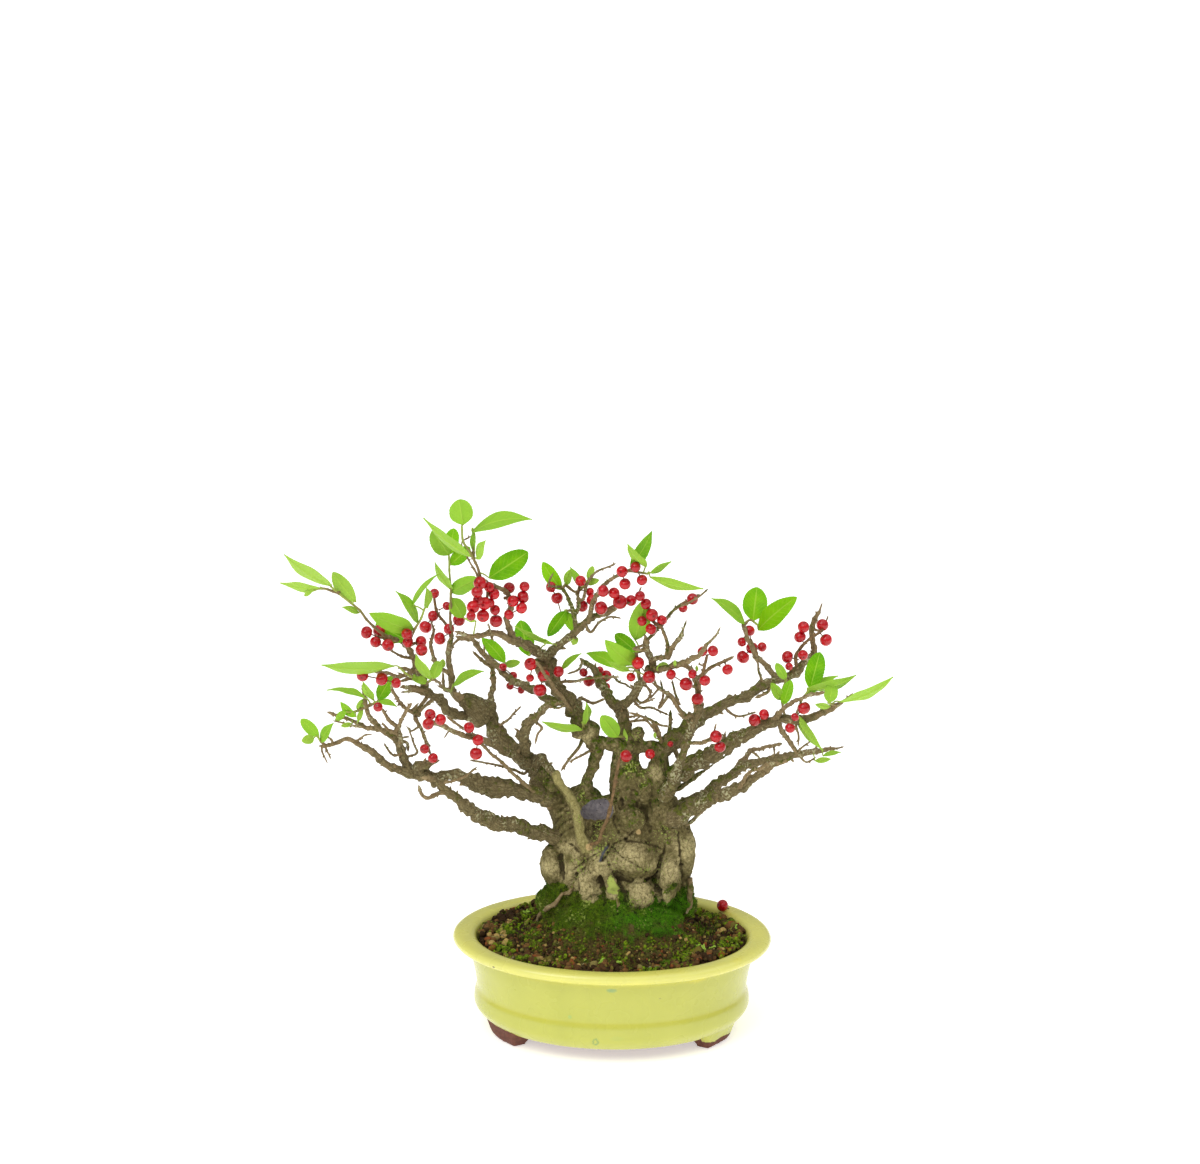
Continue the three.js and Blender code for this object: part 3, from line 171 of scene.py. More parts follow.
LIMBS = {
    "limb_left_low": [
        [[[562, 838], [545, 834], [530, 829], [515, 825], [500, 824], [490, 820], [478, 815], [468, 808],
         [450, 792], [437, 783], [425, 779]], [15, 13, 12, 13, 14, 11, 10, 8, 7, 5], [2, -12, -30, -48]],
        [[[446, 789], [435, 795], [427, 797], [421, 792], [419, 787]], [5, 4, 3], [None, -54]],
    ],
    "limb_left_long": [
        [[[552, 799], [535, 793], [520, 790], [505, 788], [480, 785], [460, 776], [440, 777], [424, 776],
         [410, 775], [390, 767], [375, 755], [359, 743], [345, 739], [335, 743], [322, 746]],
         [14, 13, 14, 15, 15, 12, 10, 8, 8, 7, 7, 5, 4, 3.4], [2, -10, -22, -30, -34]],
        [[[412, 774], [405, 764], [403, 751], [400, 743], [390, 734], [378, 726], [368, 712], [365, 696],
         [363, 687]], [8, 8, 6, 5, 4, 3], [None, -14, 0]],
        [[[402, 747], [398, 730], [389, 721], [383, 710]], [5, 4, 3], [None, -34]],
        [[[397, 729], [404, 715], [411, 703]], [4, 3], [None, -44]],
        [[[384, 730], [367, 728], [349, 719], [328, 713]], [5, 4, 3], [None, 16]],
        [[[424, 777], [420, 767], [435, 762]], [12, 10, 5], [None, -26]],
    ],
    "limb_left_high": [
        [[[552, 790], [534, 768], [516, 751], [497, 733], [490, 717], [472, 703], [459, 698], [452, 687],
         [451, 676], [448, 662], [448, 646], [452, 636]], [22, 18, 15, 13, 13, 13, 14, 8, 6, 6, 5, 4],
         [8, 10, 16, 26, 34]],
        [[[449, 674], [435, 662], [431, 648], [434, 630]], [5, 4, 3], [None, 50]],
        [[[470, 716], [452, 714], [440, 702], [426, 688], [421, 674], [415, 664], [410, 651], [397, 640],
         [386, 636]], [11, 9, 8, 7, 6, 5, 4], [None, -8, -26]],
        [[[416, 668], [401, 675], [381, 672], [361, 669]], [4, 3], [None, -44]],
        [[[426, 690], [411, 688], [402, 687]], [4, 3], [None, -30]],
        [[[428, 697], [416, 716], [421, 730], [427, 744]], [4, 3.4], [None, -30]],
        [[[416, 714], [404, 707], [392, 690]], [4, 3], [None, -38]],
        [[[526, 762], [506, 751], [483, 739], [458, 733], [442, 725], [428, 718]], [8, 7, 6, 5, 4],
         [None, -16, -42, -52]],
        [[[524, 752], [523, 735], [531, 721], [543, 710], [558, 702]], [10, 9, 8, 6], [None, -20, -26]],
        [[[486, 714], [491, 698], [493, 676], [491, 652], [492, 637]], [6, 5, 4], [None, 46, 62]],
    ],
    "limb_centre_left": [
        [[[583, 734], [579, 716], [565, 696], [553, 681], [543, 668], [546, 657]], [17, 16, 13, 12, 13, 14],
         [4, 0, -8]],
        [[[570, 704], [547, 697], [519, 684], [502, 673], [484, 656], [472, 641], [457, 637]],
         [9, 8, 7, 6, 5, 4], [None, 24, 56]],
        [[[545, 656], [530, 646], [509, 639], [492, 632], [478, 637], [457, 632]], [9, 8, 6, 5, 3.4],
         [None, -36, -50]],
        [[[514, 640], [506, 622], [510, 605], [504, 591], [487, 582], [478, 577]], [6, 5, 5, 4, 4],
         [None, -44]],
        [[[545, 657], [561, 643], [578, 629], [590, 619], [606, 614], [620, 603]], [8, 7, 6, 5],
         [None, -10, -18]],
        [[[586, 622], [598, 592], [612, 579], [632, 569]], [5, 4, 3], [None, -40]],
        [[[577, 630], [574, 613], [568, 597], [561, 587]], [5, 4, 3], [None, 22]],
        [[[577, 616], [579, 603], [577, 592]], [4, 3], [None, 20]],
    ],
    "limb_centre": [
        [[[627, 744], [625, 729], [621, 712], [609, 698], [600, 683], [594, 668], [583, 660]],
         [13, 11, 12, 9, 8, 7, 5], [5, 16, 34]],
        [[[624, 704], [638, 686], [652, 669], [648, 652], [644, 636]], [8, 8, 7, 6, 5], [None, -10, -20]],
        [[[653, 659], [668, 655], [677, 640], [682, 633]], [5, 4], [None, -44]],
        [[[668, 656], [668, 644], [662, 628]], [4, 3], [None, -28]],
        [[[652, 669], [672, 667], [695, 657], [706, 645]], [6, 5, 4], [None, -62]],
        [[[645, 642], [653, 634], [661, 626]], [4, 3], [None, -14]],
    ],
    "limb_right_top": [
        [[[660, 752], [668, 744], [680, 734], [699, 717], [725, 705], [750, 693], [771, 682], [790, 674],
         [802, 665], [813, 651], [812, 627], [820, 610]], [15, 16, 14, 10, 9, 9, 9, 8, 9, 6, 5, 4],
         [5, 12, 28, 44, 52]],
        [[[778, 677], [762, 660], [750, 645], [742, 624]], [6, 5, 4], [None, 70]],
        [[[769, 683], [768, 692], [757, 697]], [4, 3], [None, 24]],
    ],
    "limb_right_high": [
        [[[660, 786], [671, 775], [691, 765], [717, 751], [740, 737], [763, 725], [784, 719], [804, 721],
         [823, 712], [844, 701]], [15, 16, 14, 13, 12, 10, 9, 8, 6, 4], [4, 0, -14, -28, -38]],
        [[[771, 721], [783, 709], [805, 697], [824, 692]], [5, 4, 3], [None, -52]],
        [[[778, 724], [788, 739], [797, 752]], [5, 4], [None, -14]],
    ],
    "limb_right_back": [
        [[[664, 812], [696, 801], [720, 783], [746, 765], [775, 758], [807, 754], [833, 749]],
         [14, 12, 9, 8, 7, 6, 4], [10, 26, 52, 72]],
        [[[732, 774], [750, 752], [766, 748], [781, 743]], [5, 4, 3], [None, 84]],
    ],
    "limb_right_low": [
        [[[660, 822], [684, 812], [710, 799], [727, 793], [742, 787], [768, 768], [788, 760]],
         [17, 14, 10, 11, 8, 6, 4], [2, -8, -36, -60]],
        [[[738, 789], [748, 774], [774, 763]], [4, 3], [None, -72]],
    ],
    "limb_right_upright": [
        [[[664, 798], [675, 778], [683, 752], [692, 728], [698, 712], [698, 692], [693, 671], [675, 662]],
         [12, 10, 8, 7, 6, 5, 4], [-2, -12, -16, -22, -10]],
        [[[699, 678], [716, 665], [733, 657]], [4, 3], [None, -36]],
        [[[687, 716], [672, 699], [655, 684]], [4, 3], [None, 0]],
        [[[685, 742], [700, 742], [711, 741]], [4, 3], [None, -34]],
    ],
}

# Leafy shoots: stems as a route and its depth, and blades from base to tip, with width and lean
LEAVES = {
    "leaves_far_left": (
        [[[[384, 636], [374, 627], [357, 608], [338, 593], [331, 586]], -40], [[[338, 594], [320, 588],
         [313, 590]], -36]],
        [[331, 586, 285, 552, 12, -12], [320, 588, 281, 581, 8, 8], [313, 590, 304, 596, 5, 3],
         [356, 602, 332, 572, 15, 9], [359, 613, 342, 607, 6, -4]]),
    "leaves_left_upper": (
        [[[[404, 645], [414, 632], [421, 618], [425, 608]], -34]],
        [[414, 630, 369, 612, 17, -10], [407, 640, 375, 624, 20, 12], [418, 623, 396, 591, 10, -6],
         [412, 606, 437, 573, 5, 8], [427, 608, 426, 587, 8, -8]]),
    "leaves_crown_left": (
        [[[[481, 579], [477, 565], [470, 552], [463, 541], [462, 526]], -52], [[[474, 560], [474, 534],
         [472, 528]], -46]],
        [[472, 557, 424, 517, 9, 6], [472, 532, 532, 519, 14, -8], [474, 552, 474, 528, 5, 4],
         [477, 559, 487, 540, 9, -9], [489, 578, 528, 552, 22, 7], [463, 525, 459, 499, 22, -5]]),
    "leaves_crown_left_back": (
        [[[[452, 637], [450, 618], [451, 600], [450, 575], [449, 556]], 26]],
        [[453, 591, 435, 562, 8, -6], [449, 555, 432, 530, 20, -7], [449, 555, 454, 528, 14, 10],
         [450, 565, 470, 547, 14, 7], [451, 592, 478, 578, 16, -8], [452, 598, 463, 617, 16, 6]]),
    "leaves_crown_centre": (
        [[[[562, 590], [566, 583]], 24], [[[577, 592], [588, 580]], 18]],
        [[562, 590, 542, 562, 14, 10], [566, 585, 571, 569, 8, -5], [580, 588, 570, 567, 7, 7],
         [586, 583, 599, 580, 7, -4], [588, 580, 593, 566, 7, 4]]),
    "leaves_centre_curled": (
        [[[[573, 611], [565, 611]], 12]],
        [[566, 611, 548, 636, 13, -8], [565, 611, 573, 632, 10, -9]]),
    "leaves_centre_left": (
        [[[[534, 649], [529, 655]], -10]],
        [[529, 656, 520, 620, 18, 10]]),
    "leaves_back_left": (
        [[[[501, 671], [505, 664]], 36]],
        [[505, 663, 482, 638, 14, 12], [505, 665, 520, 662, 8, -4]]),
    "leaves_crown_right": (
        [[[[630, 570], [641, 572], [648, 574]], -46]],
        [[630, 567, 652, 531, 13, 8], [646, 567, 628, 543, 9, -10], [650, 573, 671, 561, 6, 6],
         [650, 577, 704, 587, 9, -6]]),
    "leaves_centre_right": (
        [[[[645, 648], [636, 652]], -20], [[[640, 684], [635, 668], [618, 668]], -4]],
        [[635, 640, 646, 599, 20, -14], [636, 665, 605, 639, 18, -12], [637, 652, 615, 634, 13, 10],
         [618, 668, 586, 652, 13, 12]]),
    "leaves_right_top": (
        [[[[743, 627], [750, 620], [758, 625]], 72]],
        [[745, 624, 712, 598, 12, -8], [753, 621, 757, 587, 25, 9], [758, 630, 796, 597, 21, -7]]),
    "leaves_left_long": (
        [[[[411, 677], [402, 670]], -46]],
        [[394, 666, 321, 662, 12, -10]]),
    "leaves_left_inner": (
        [[[[423, 686], [433, 679]], -34], [[[452, 690], [453, 685]], 12]],
        [[431, 680, 416, 654, 10, -7], [433, 679, 439, 661, 11, 5], [428, 683, 411, 676, 8, 4],
         [453, 686, 484, 671, 9, -6]]),
    "leaves_left_edge": (
        [[[[367, 706], [378, 701]], -8], [[[370, 704], [358, 711], [347, 712]], 0]],
        [[373, 700, 363, 681, 8, -6], [378, 700, 392, 676, 14, 5], [365, 698, 327, 688, 6, 8],
         [378, 701, 397, 706, 6, -4], [356, 717, 340, 702, 8, 6], [358, 711, 363, 699, 7, -5],
         [347, 712, 334, 722, 7, 5]]),
    "leaves_far_left_low": (
        [[[[324, 746], [318, 737]], -38]],
        [[319, 737, 301, 719, 11, 7], [314, 738, 302, 741, 9, -5], [321, 742, 333, 723, 9, -6]]),
    "leaves_trunk_left": (
        [[[[584, 731], [582, 722]], -8]],
        [[582, 730, 542, 720, 9, -10], [585, 724, 586, 702, 8, -6]]),
    "leaves_trunk_right": (
        [[[[626, 738], [618, 736]], -6]],
        [[618, 737, 601, 715, 16, -6]]),
    "leaves_right_inner": (
        [[[[785, 718], [783, 705], [782, 692], [786, 679]], 2]],
        [[782, 700, 771, 683, 10, -5], [783, 705, 791, 680, 11, 5], [786, 680, 776, 663, 9, 6]]),
    "leaves_right_spray": (
        [[[[795, 718], [803, 697], [810, 688]], -34]],
        [[810, 689, 820, 652, 18, 7], [807, 689, 856, 673, 10, -8], [805, 697, 838, 675, 9, 6],
         [796, 714, 824, 750, 9, -6]]),
    "leaves_far_right": (
        [[[[836, 706], [828, 703]], -42]],
        [[829, 703, 833, 683, 13, 6], [840, 702, 893, 676, 9, -7], [830, 707, 815, 704, 6, -3]]),
}

# Shoots of younger, paler leaves
PALE_SHOOTS = {"leaves_far_left": 0.8, "leaves_far_left_low": 0.4}

# Bunches: stems as a route and its depth, and berries as column, row and radius in grid steps
BERRIES = {
    "berries_left_outer": (
        [[[[390, 639], [378, 637]], -24]],
        [[366.5, 632.5, 6], [379, 631, 6], [375.5, 642, 5.5], [388, 645, 6]]),
    "berries_left_upper": (
        [[[[408, 648], [415, 643]], -30]],
        [[407, 634, 5.5], [408, 642, 5.5], [421, 641.5, 5.5], [421.5, 650, 6]]),
    "berries_back_left": (
        [[[[451, 640], [447, 626], [437, 612], [434, 597]], 44]],
        [[434.5, 593.5, 5], [446.7, 606, 4.5], [433, 616, 5.5], [425.5, 627, 6.5], [459, 620, 6.2],
         [449, 629, 5.5], [440, 638.5, 6.3]]),
    "berries_left_edge": (
        [],
        [[362.5, 675.5, 5.7], [381.5, 679, 6.3], [396, 683, 5]]),
    "berries_left_low": (
        [],
        [[430, 714.5, 5.5], [440.5, 719.5, 5.5], [428, 724, 5.5]]),
    "berries_left_hanging": (
        [[[[427, 742], [430, 753]], -32]],
        [[424.5, 749, 4.7], [433, 758, 5]]),
    "berries_left_inner": (
        [],
        [[469, 727.5, 5.3], [478, 740, 5.5], [476, 753.5, 6.2]]),
    "berries_crown_left": (
        [[[[488, 583], [487, 598], [483, 612]], -46]],
        [[480, 583, 6.3], [489, 587, 5], [477, 592, 5.5], [494, 594, 5.5], [478, 600, 5], [473, 607, 6],
         [484.5, 603.5, 6.3], [490, 603, 4.5], [471, 616, 4.5], [483, 616, 6], [496, 621, 6.2],
         [495, 610, 5]]),
    "berries_crown_left_mid": (
        [[[[507, 598], [516, 597]], -40]],
        [[509, 588, 5.7], [524.5, 586.5, 5], [513, 601, 5.5], [523, 597, 6], [521.5, 608, 5.5],
         [509, 614.5, 5]]),
    "berries_crown_back": (
        [],
        [[551, 587, 5.5], [557, 598, 6], [562, 617, 4]]),
    "berries_crown_centre": (
        [[[[577, 594], [580, 584]], 18]],
        [[580.5, 581, 5.5], [582, 606, 6], [592, 600, 5.5], [590, 592, 4.4]]),
    "berries_crown_front": (
        [[[[606, 613], [616, 605], [628, 603]], -22]],
        [[603, 591, 5.7], [601, 608, 6.5], [614, 593, 5.5], [620, 602, 7], [631, 600.5, 5.5]]),
    "berries_crown_right": (
        [],
        [[622, 571.5, 5.5], [635.5, 567, 5], [625, 584, 5.5], [642, 580, 5.2]]),
    "berries_centre_right": (
        [[[[662, 629], [652, 620], [648, 606]], -24], [[[660, 627], [680, 605], [698, 595]], 4]],
        [[640, 596, 5], [646, 604, 5.3], [652, 615, 6], [651, 629, 5.5], [642, 621, 5], [662, 620, 5],
         [692.5, 599, 5.7], [683, 608, 4.6]]),
    "berries_centre_left": (
        [[[[543, 668], [532, 668]], -20]],
        [[530.5, 664, 6.2], [543.5, 675.5, 6.2], [540, 690, 6.7], [530, 678, 4], [558.5, 671.5, 5.5]]),
    "berries_back_inner": (
        [],
        [[503, 667, 4], [513, 676, 4.5], [510, 686, 4], [521, 690, 4]]),
    "berries_centre": (
        [],
        [[583.5, 672.5, 4.5], [589, 681, 6], [606, 676, 6], [606, 687, 4.5], [600, 670, 3.8]]),
    "berries_centre_low": (
        [],
        [[638, 663, 6.2], [631, 677, 4.5], [649, 677, 6.3]]),
    "berry_hanging": (
        [[[[598, 842], [602, 831], [608, 817], [613, 794], [617, 771], [620, 758]], -24]],
        [[626, 756, 6]]),
    "berries_front_right": (
        [[[[697, 690], [703, 672], [707, 656]], -40]],
        [[671, 674.5, 5], [686, 684, 6.5], [692.5, 674, 4.5], [705, 680.5, 5.3], [697.5, 699, 6],
         [702.5, 651.5, 5], [713, 651, 5.3]]),
    "berries_right_back": (
        [[[[757, 655], [751, 640]], 62]],
        [[743, 657, 6.8], [752, 648, 6.2], [742, 642, 5], [762, 647, 5], [749, 631, 6]]),
    "berries_right_front": (
        [],
        [[716, 736.5, 6], [720, 747, 5.5]]),
    "berries_right_inner": (
        [],
        [[754.5, 720, 6], [764, 714.5, 5.3]]),
    "berries_right_upper": (
        [[[[797, 668], [796, 656], [806, 642], [822, 631]], 38]],
        [[787.5, 657, 6.3], [803, 655, 5.2], [789, 666.5, 4], [803.5, 627, 6], [800, 637, 6],
         [822.5, 625, 6.2], [826, 640, 6.3]]),
    "berries_right_outer": (
        [],
        [[804, 708, 6.2], [790, 728, 5], [795, 717, 4]]),
}

# Trunk, as drawn: clefts as a line, width in grid steps and depth in millimetres, then stains, and pale
# places that are partly pale wood and partly painted highlight
CLEFTS = [
    ([(608, 852), (614, 844), (622, 840), (634, 841), (646, 842), (656, 846), (663, 850)], 2.8, 1.2),
    ([(608, 852), (607, 859), (610, 868), (616, 876), (628, 881), (642, 882), (652, 877), (658, 868),
     (663, 852)], 3.0, 1.3),
    ([(613, 847), (620, 856), (630, 862), (640, 868), (646, 872)], 2.2, 1.2),
    ([(665, 846), (663, 858), (659, 868), (655, 878)], 3.0, 0.8),
    ([(621, 800), (622, 804)], 4.6, 2.2),
    ([(626, 839)], 3.8, 2.2),
    ([(605, 857), (603, 860)], 4.5, 2.8),
    ([(609, 845), (604, 851), (600, 861)], 3.4, 1.6),
    ([(572, 872), (582, 863), (592, 856), (600, 851)], 2.6, 1.0),
    ([(573, 877), (584, 868), (594, 860)], 2.0, 0.6),
    ([(626, 839), (633, 832), (641, 824)], 2.4, 0.9),
    ([(615, 798), (617, 812), (613, 821), (618, 832), (625, 838)], 3.0, 1.1),
    ([(625, 818), (628, 813), (634, 812), (640, 816), (640, 822), (634, 827), (627, 824)], 1.8, 0.4),
    ([(553, 826), (560, 817), (568, 811), (576, 810)], 2.4, 0.8),
    ([(554, 834), (561, 825), (568, 820), (576, 818)], 2.4, 0.8),
    ([(556, 841), (563, 832), (569, 828), (576, 827)], 2.4, 0.8),
    ([(558, 812), (566, 805), (572, 803)], 2.4, 0.8),
    ([(560, 856), (562, 866), (563, 880)], 4.8, 2.0),
    ([(681, 866), (684, 880), (681, 894)], 4.4, 1.6),
    ([(679, 832), (680, 848), (681, 864)], 3.2, 1.4),
    ([(576, 874), (578, 886), (577, 898)], 3.6, 1.6),
    ([(600, 878), (603, 888), (605, 902)], 4.6, 2.4),
    ([(619, 878), (622, 888), (626, 902)], 4.6, 2.4),
    ([(654, 880), (659, 890), (662, 903)], 3.6, 1.8),
    ([(617, 791), (628, 788), (636, 791), (641, 798)], 2.4, 0.5),
    ([(650, 800), (652, 816)], 2.4, 0.6),
    ([(603, 800), (610, 793), (617, 784), (619, 772)], 2.6, 0.7),
    ([(566, 842), (573, 846), (578, 852)], 3.0, 1.0),
    ([(587, 842), (586, 852), (583, 862)], 2.0, 0.6),
    ([(646, 846), (652, 856), (654, 866)], 2.2, 0.5),
    ([(662, 828), (668, 836), (671, 846)], 2.6, 0.9),
]
SMOOTH = [(586, 850), (581, 838), (579, 823), (575, 807), (567, 792), (558, 780), (555, 771)]
SEAL = [(588, 812), (594, 807), (603, 806), (606, 809), (606, 812), (596, 813)]
KNOT = (633, 819)
BLUE = [(607, 847), (603, 853), (600, 861)]
CUT_ENDS = [((638.6, 832), 3.4), ((589, 847), 4.5), ((684, 806), 3.0)]
LICHEN = [((613, 888), 7), ((586, 903), 6), ((611, 880), 4)]
# Pale places, as drawn place and size: pale bare and woolly wood, and painted highlight where lobes face the
# light
PALE = [
    ((590, 890), 12), ((640, 896), 14), ((686, 850), 12), ((628, 855), 16), ((548, 866), 9), ((668, 870), 12),
    ((662, 900), 8), ((600, 870), 11), ((656, 775), 7), ((585, 735), 8), ((570, 872), 12), ((568, 848), 9),
    ((590, 850), 7), ((700, 845), 8), ((610, 890), 7)
]

# Fine twigs: a route from the wood, its width in grid steps, and how far its tip leans back
TWIGS = [
    ([(355, 741), (360, 739), (365, 735), (371, 734)], 2.4, -4), ([(331, 739), (326, 737)], 2.4, -3),
    ([(326, 749), (330, 758)], 2.4, 3), ([(322, 751), (327, 762)], 2.2, -3),
    ([(365, 731), (352, 726), (342, 723), (334, 721)], 2.6, 9), ([(400, 754), (394, 755), (385, 745)], 3, -8),
    ([(417, 753), (415, 746), (409, 730)], 2.6, 10),
    ([(411, 658), (402, 657), (393, 652), (380, 644)], 3, -10),
    ([(551, 807), (536, 794), (513, 773), (484, 746), (467, 731), (448, 717)], 4, -34),
    ([(524, 773), (513, 769), (493, 764), (471, 760)], 3, -18),
    ([(444, 783), (454, 780), (463, 777), (476, 768)], 3, 10), ([(523, 735), (515, 729)], 3, -4),
    ([(550, 708), (558, 708), (564, 706)], 2.6, -5),
    ([(496, 731), (502, 724), (510, 717), (520, 707)], 3, -14),
    ([(578, 719), (561, 697), (545, 675), (537, 662)], 4.6, -26),
    ([(583, 599), (586, 587), (595, 573), (615, 564)], 3, 12), ([(580, 658), (579, 669), (568, 674)], 3, -8),
    ([(581, 699), (593, 703), (604, 699)], 4, 12), ([(634, 649), (646, 650)], 3, -3),
    ([(677, 608), (689, 603), (707, 590)], 3, 6), ([(590, 632), (600, 622), (610, 617), (620, 618)], 3, 10),
    ([(761, 683), (759, 672), (758, 662), (753, 657)], 3, -8), ([(727, 710), (738, 716), (755, 712)], 3, 14),
    ([(796, 727), (798, 735), (798, 745)], 2.6, -6), ([(799, 758), (807, 762), (815, 758)], 2.6, 8),
    ([(775, 748), (775, 756)], 2.4, -4), ([(748, 752), (746, 762)], 2.4, 4),
    ([(736, 762), (738, 767)], 2.4, -3), ([(800, 750), (815, 738)], 2.4, 8),
    ([(683, 826), (697, 816), (705, 810)], 5, 10), ([(673, 748), (677, 756), (680, 762)], 6, 6),
    ([(670, 735), (670, 723), (671, 712)], 5, 10), ([(640, 707), (652, 708), (668, 715)], 3, 12),
    ([(659, 708), (663, 697), (661, 681)], 3, 8), ([(645, 685), (652, 692)], 2.6, -4),
    ([(641, 703), (655, 698)], 2.6, -7), ([(645, 720), (653, 728), (660, 737)], 3, -8),
    ([(583, 734), (580, 746), (569, 760), (562, 769)], 4, -14),
    ([(597, 747), (588, 752), (570, 762)], 3, -16), ([(542, 728), (538, 734), (535, 743)], 3, -6),
    ([(462, 543), (470, 537)], 2.2, 3), ([(822, 631), (828, 617)], 2.4, -4),
    ([(634, 600), (641, 588)], 2.4, 4), ([(708, 645), (716, 636), (720, 628)], 2.6, -6),
    ([(682, 633), (686, 621)], 2.4, 5), ([(820, 612), (822, 604)], 2.4, 3),
    ([(549, 585), (553, 574)], 2.4, -4), ([(492, 637), (488, 624)], 2.4, 5),
    ([(434, 630), (430, 618)], 2.4, -4), ([(844, 701), (852, 694)], 2.4, 3),
    ([(833, 749), (843, 747)], 2.6, -4), ([(751, 752), (760, 759), (766, 770)], 2.6, 6),
    ([(705, 745), (712, 736), (716, 724)], 2.6, -7),
    ([(482, 716), (474, 708), (466, 701), (460, 697)], 19, -2),
    ([(541, 758), (548, 765), (556, 774)], 10, -16),
    ([(665, 742), (658, 730), (653, 722), (640, 716), (630, 713)], 3.6, -8),
    ([(640, 716), (635, 720), (631, 722)], 2.4, -4), ([(653, 722), (660, 725), (668, 726)], 3.4, -4),
    ([(687, 717), (678, 707), (670, 695), (658, 688), (653, 678)], 3.8, 8),
    ([(679, 704), (675, 692), (672, 681)], 3, 4), ([(658, 688), (652, 683)], 2.4, -3),
    ([(695, 712), (695, 703), (700, 692), (697, 680), (692, 670), (680, 662)], 3.4, -12),
    ([(641, 703), (647, 700), (650, 694), (645, 684)], 3, -4), ([(650, 698), (652, 690)], 2.2, 3),
    ([(562, 682), (575, 681), (590, 679), (604, 677), (618, 677)], 3.4, -10),
    ([(612, 677), (619, 682), (626, 684), (631, 688)], 2.8, 6),
    ([(692, 716), (684, 718), (678, 714)], 2.8, -4), ([(720, 744), (724, 738), (725, 733)], 4, 3),
    ([(738, 742), (736, 735), (733, 731)], 3, 3), ([(632, 655), (637, 657)], 2.4, -3),
    ([(700, 672), (704, 666), (699, 664)], 2.4, 3),
    ([(452, 690), (445, 690), (443, 682), (443, 674)], 3.8, -5), ([(445, 689), (438, 686)], 3.2, -3),
    ([(428, 692), (415, 687), (402, 687)], 5, -5), ([(430, 698), (415, 691), (402, 692)], 3.8, 5),
    ([(421, 684), (411, 679), (401, 681)], 4.4, -6), ([(421, 676), (410, 670), (400, 669)], 5, 4),
    ([(418, 670), (419, 661), (416, 655)], 3.6, 3), ([(412, 672), (405, 676), (398, 673)], 3, -4),
    ([(489, 666), (481, 660), (474, 652)], 4.4, -6), ([(458, 640), (453, 645), (452, 650)], 3, -3),
    ([(484, 655), (484, 646)], 2.8, 3), ([(412, 709), (418, 704)], 3, 3), ([(404, 703), (398, 705)], 3, -3),
    ([(399, 698), (393, 692), (391, 686)], 2.8, 3), ([(432, 700), (424, 707), (417, 716)], 4, 4),
    ([(402, 742), (407, 743), (408, 750)], 4, 3), ([(396, 733), (388, 730), (383, 724)], 4, -3),
    ([(450, 733), (445, 737)], 2, -2), ([(409, 737), (405, 737)], 2, 2), ([(411, 731), (407, 727)], 2.4, -2)
]

# Burrs on the trunk's top, with size and depth, and knobs where limbs were cut
BURRS = [(638, 734, 7, 4), (591, 729, 9, 3), (552, 786, 6, -6), (660, 776, 7, 2)]
KNOBS = [(412, 775), (436, 780), (486, 818), (520, 826), (497, 733), (543, 668)]

# Single berries as column, row and radius, and the smallest blades from base to tip, with width
MORE_BERRIES = [(378, 707, 4.7), (650, 754, 5), (670.5, 744, 3), (727.5, 669.5, 5.3)]
MORE_BLADES = [
    (476, 621, 464, 618, 4), (553, 644, 515, 625, 5), (630, 671, 607, 661, 7), (561, 670, 581, 653, 6),
    (573, 645, 577, 637, 6), (657, 670, 668, 664, 9), (442, 668, 443, 659, 6), (358, 722, 363, 708, 5),
    (352, 724, 341, 726, 5), (627, 741, 624, 729, 4), (823, 756, 841, 752, 5), (815, 761, 831, 759, 6),
    (655, 738, 655, 732, 3), (675, 666, 675, 660, 3), (697, 671, 697, 665, 3), (545, 645, 546, 639, 3)
]

# Surface roots: a route, its widths and its depths
ROOTS = [
    ([(563, 893), (556, 902), (549, 908), (543, 913), (537, 921)], [2.6, 4, 4, 4, 3], [-7, -7, 4]),
    ([(690, 878), (692, 890), (690, 902), (686, 914)], [5, 6, 5, 3], [-1, -3, -5]),
    ([(575, 884), (568, 892), (560, 896)], [4, 4, 3], [-10, -5]),
    ([(617, 898), (618, 908), (614, 917), (616, 928)], [3, 4, 3, 2], [-14, -18, -25]),
]

# Scraps on the soil: column, row, depth, length, thickness and turn, and how thickness goes along one
SCRAPS = [
    (583, 950, -40, 9, 0.6, 0.2), (512, 947, -34, 6, 0.7, 1.2), (655, 951, -42, 7, 0.5, -0.5),
    (555, 927, -26, 6, 0.6, 0.7), (706, 946, -30, 5, 0.5, 0.3), (500, 915, -6, 6, 0.5, -0.8),
    (640, 961, -46, 5, 0.5, 0.9), (660, 925, 40, 7, 0.5, 0.4), (560, 905, 38, 6, 0.5, -0.4)
]
SCRAP_FORM = (0.5, 0.8, 1, 1, 0.95, 1, 0.9, 0.75, 0.4)

# Where seedlings stand, and patches of moss on the soil with their reach
SEEDLINGS = [
    (712, 949), (705, 953), (645, 962), (640, 958), (668, 951), (520, 906), (527, 915), (617, 966),
    (697, 947), (555, 955), (584, 962), (735, 930), (600, 965), (478, 925), (492, 905)
]
MOSS_PATCHES = [((531, 931, -8), 6.5), ((505, 912, -4), 4), ((668, 948, -38), 4), ((700, 955, -40), 4)]

# The fallen berry's column, row and depth, and its radius in millimetres
FALLEN_BERRY = (722.5, 906, 29.5, 3)


# ---------------------------------------------------------------------------
# The drawing: from its grid to millimetres, and the routes that its wood follows
# ---------------------------------------------------------------------------

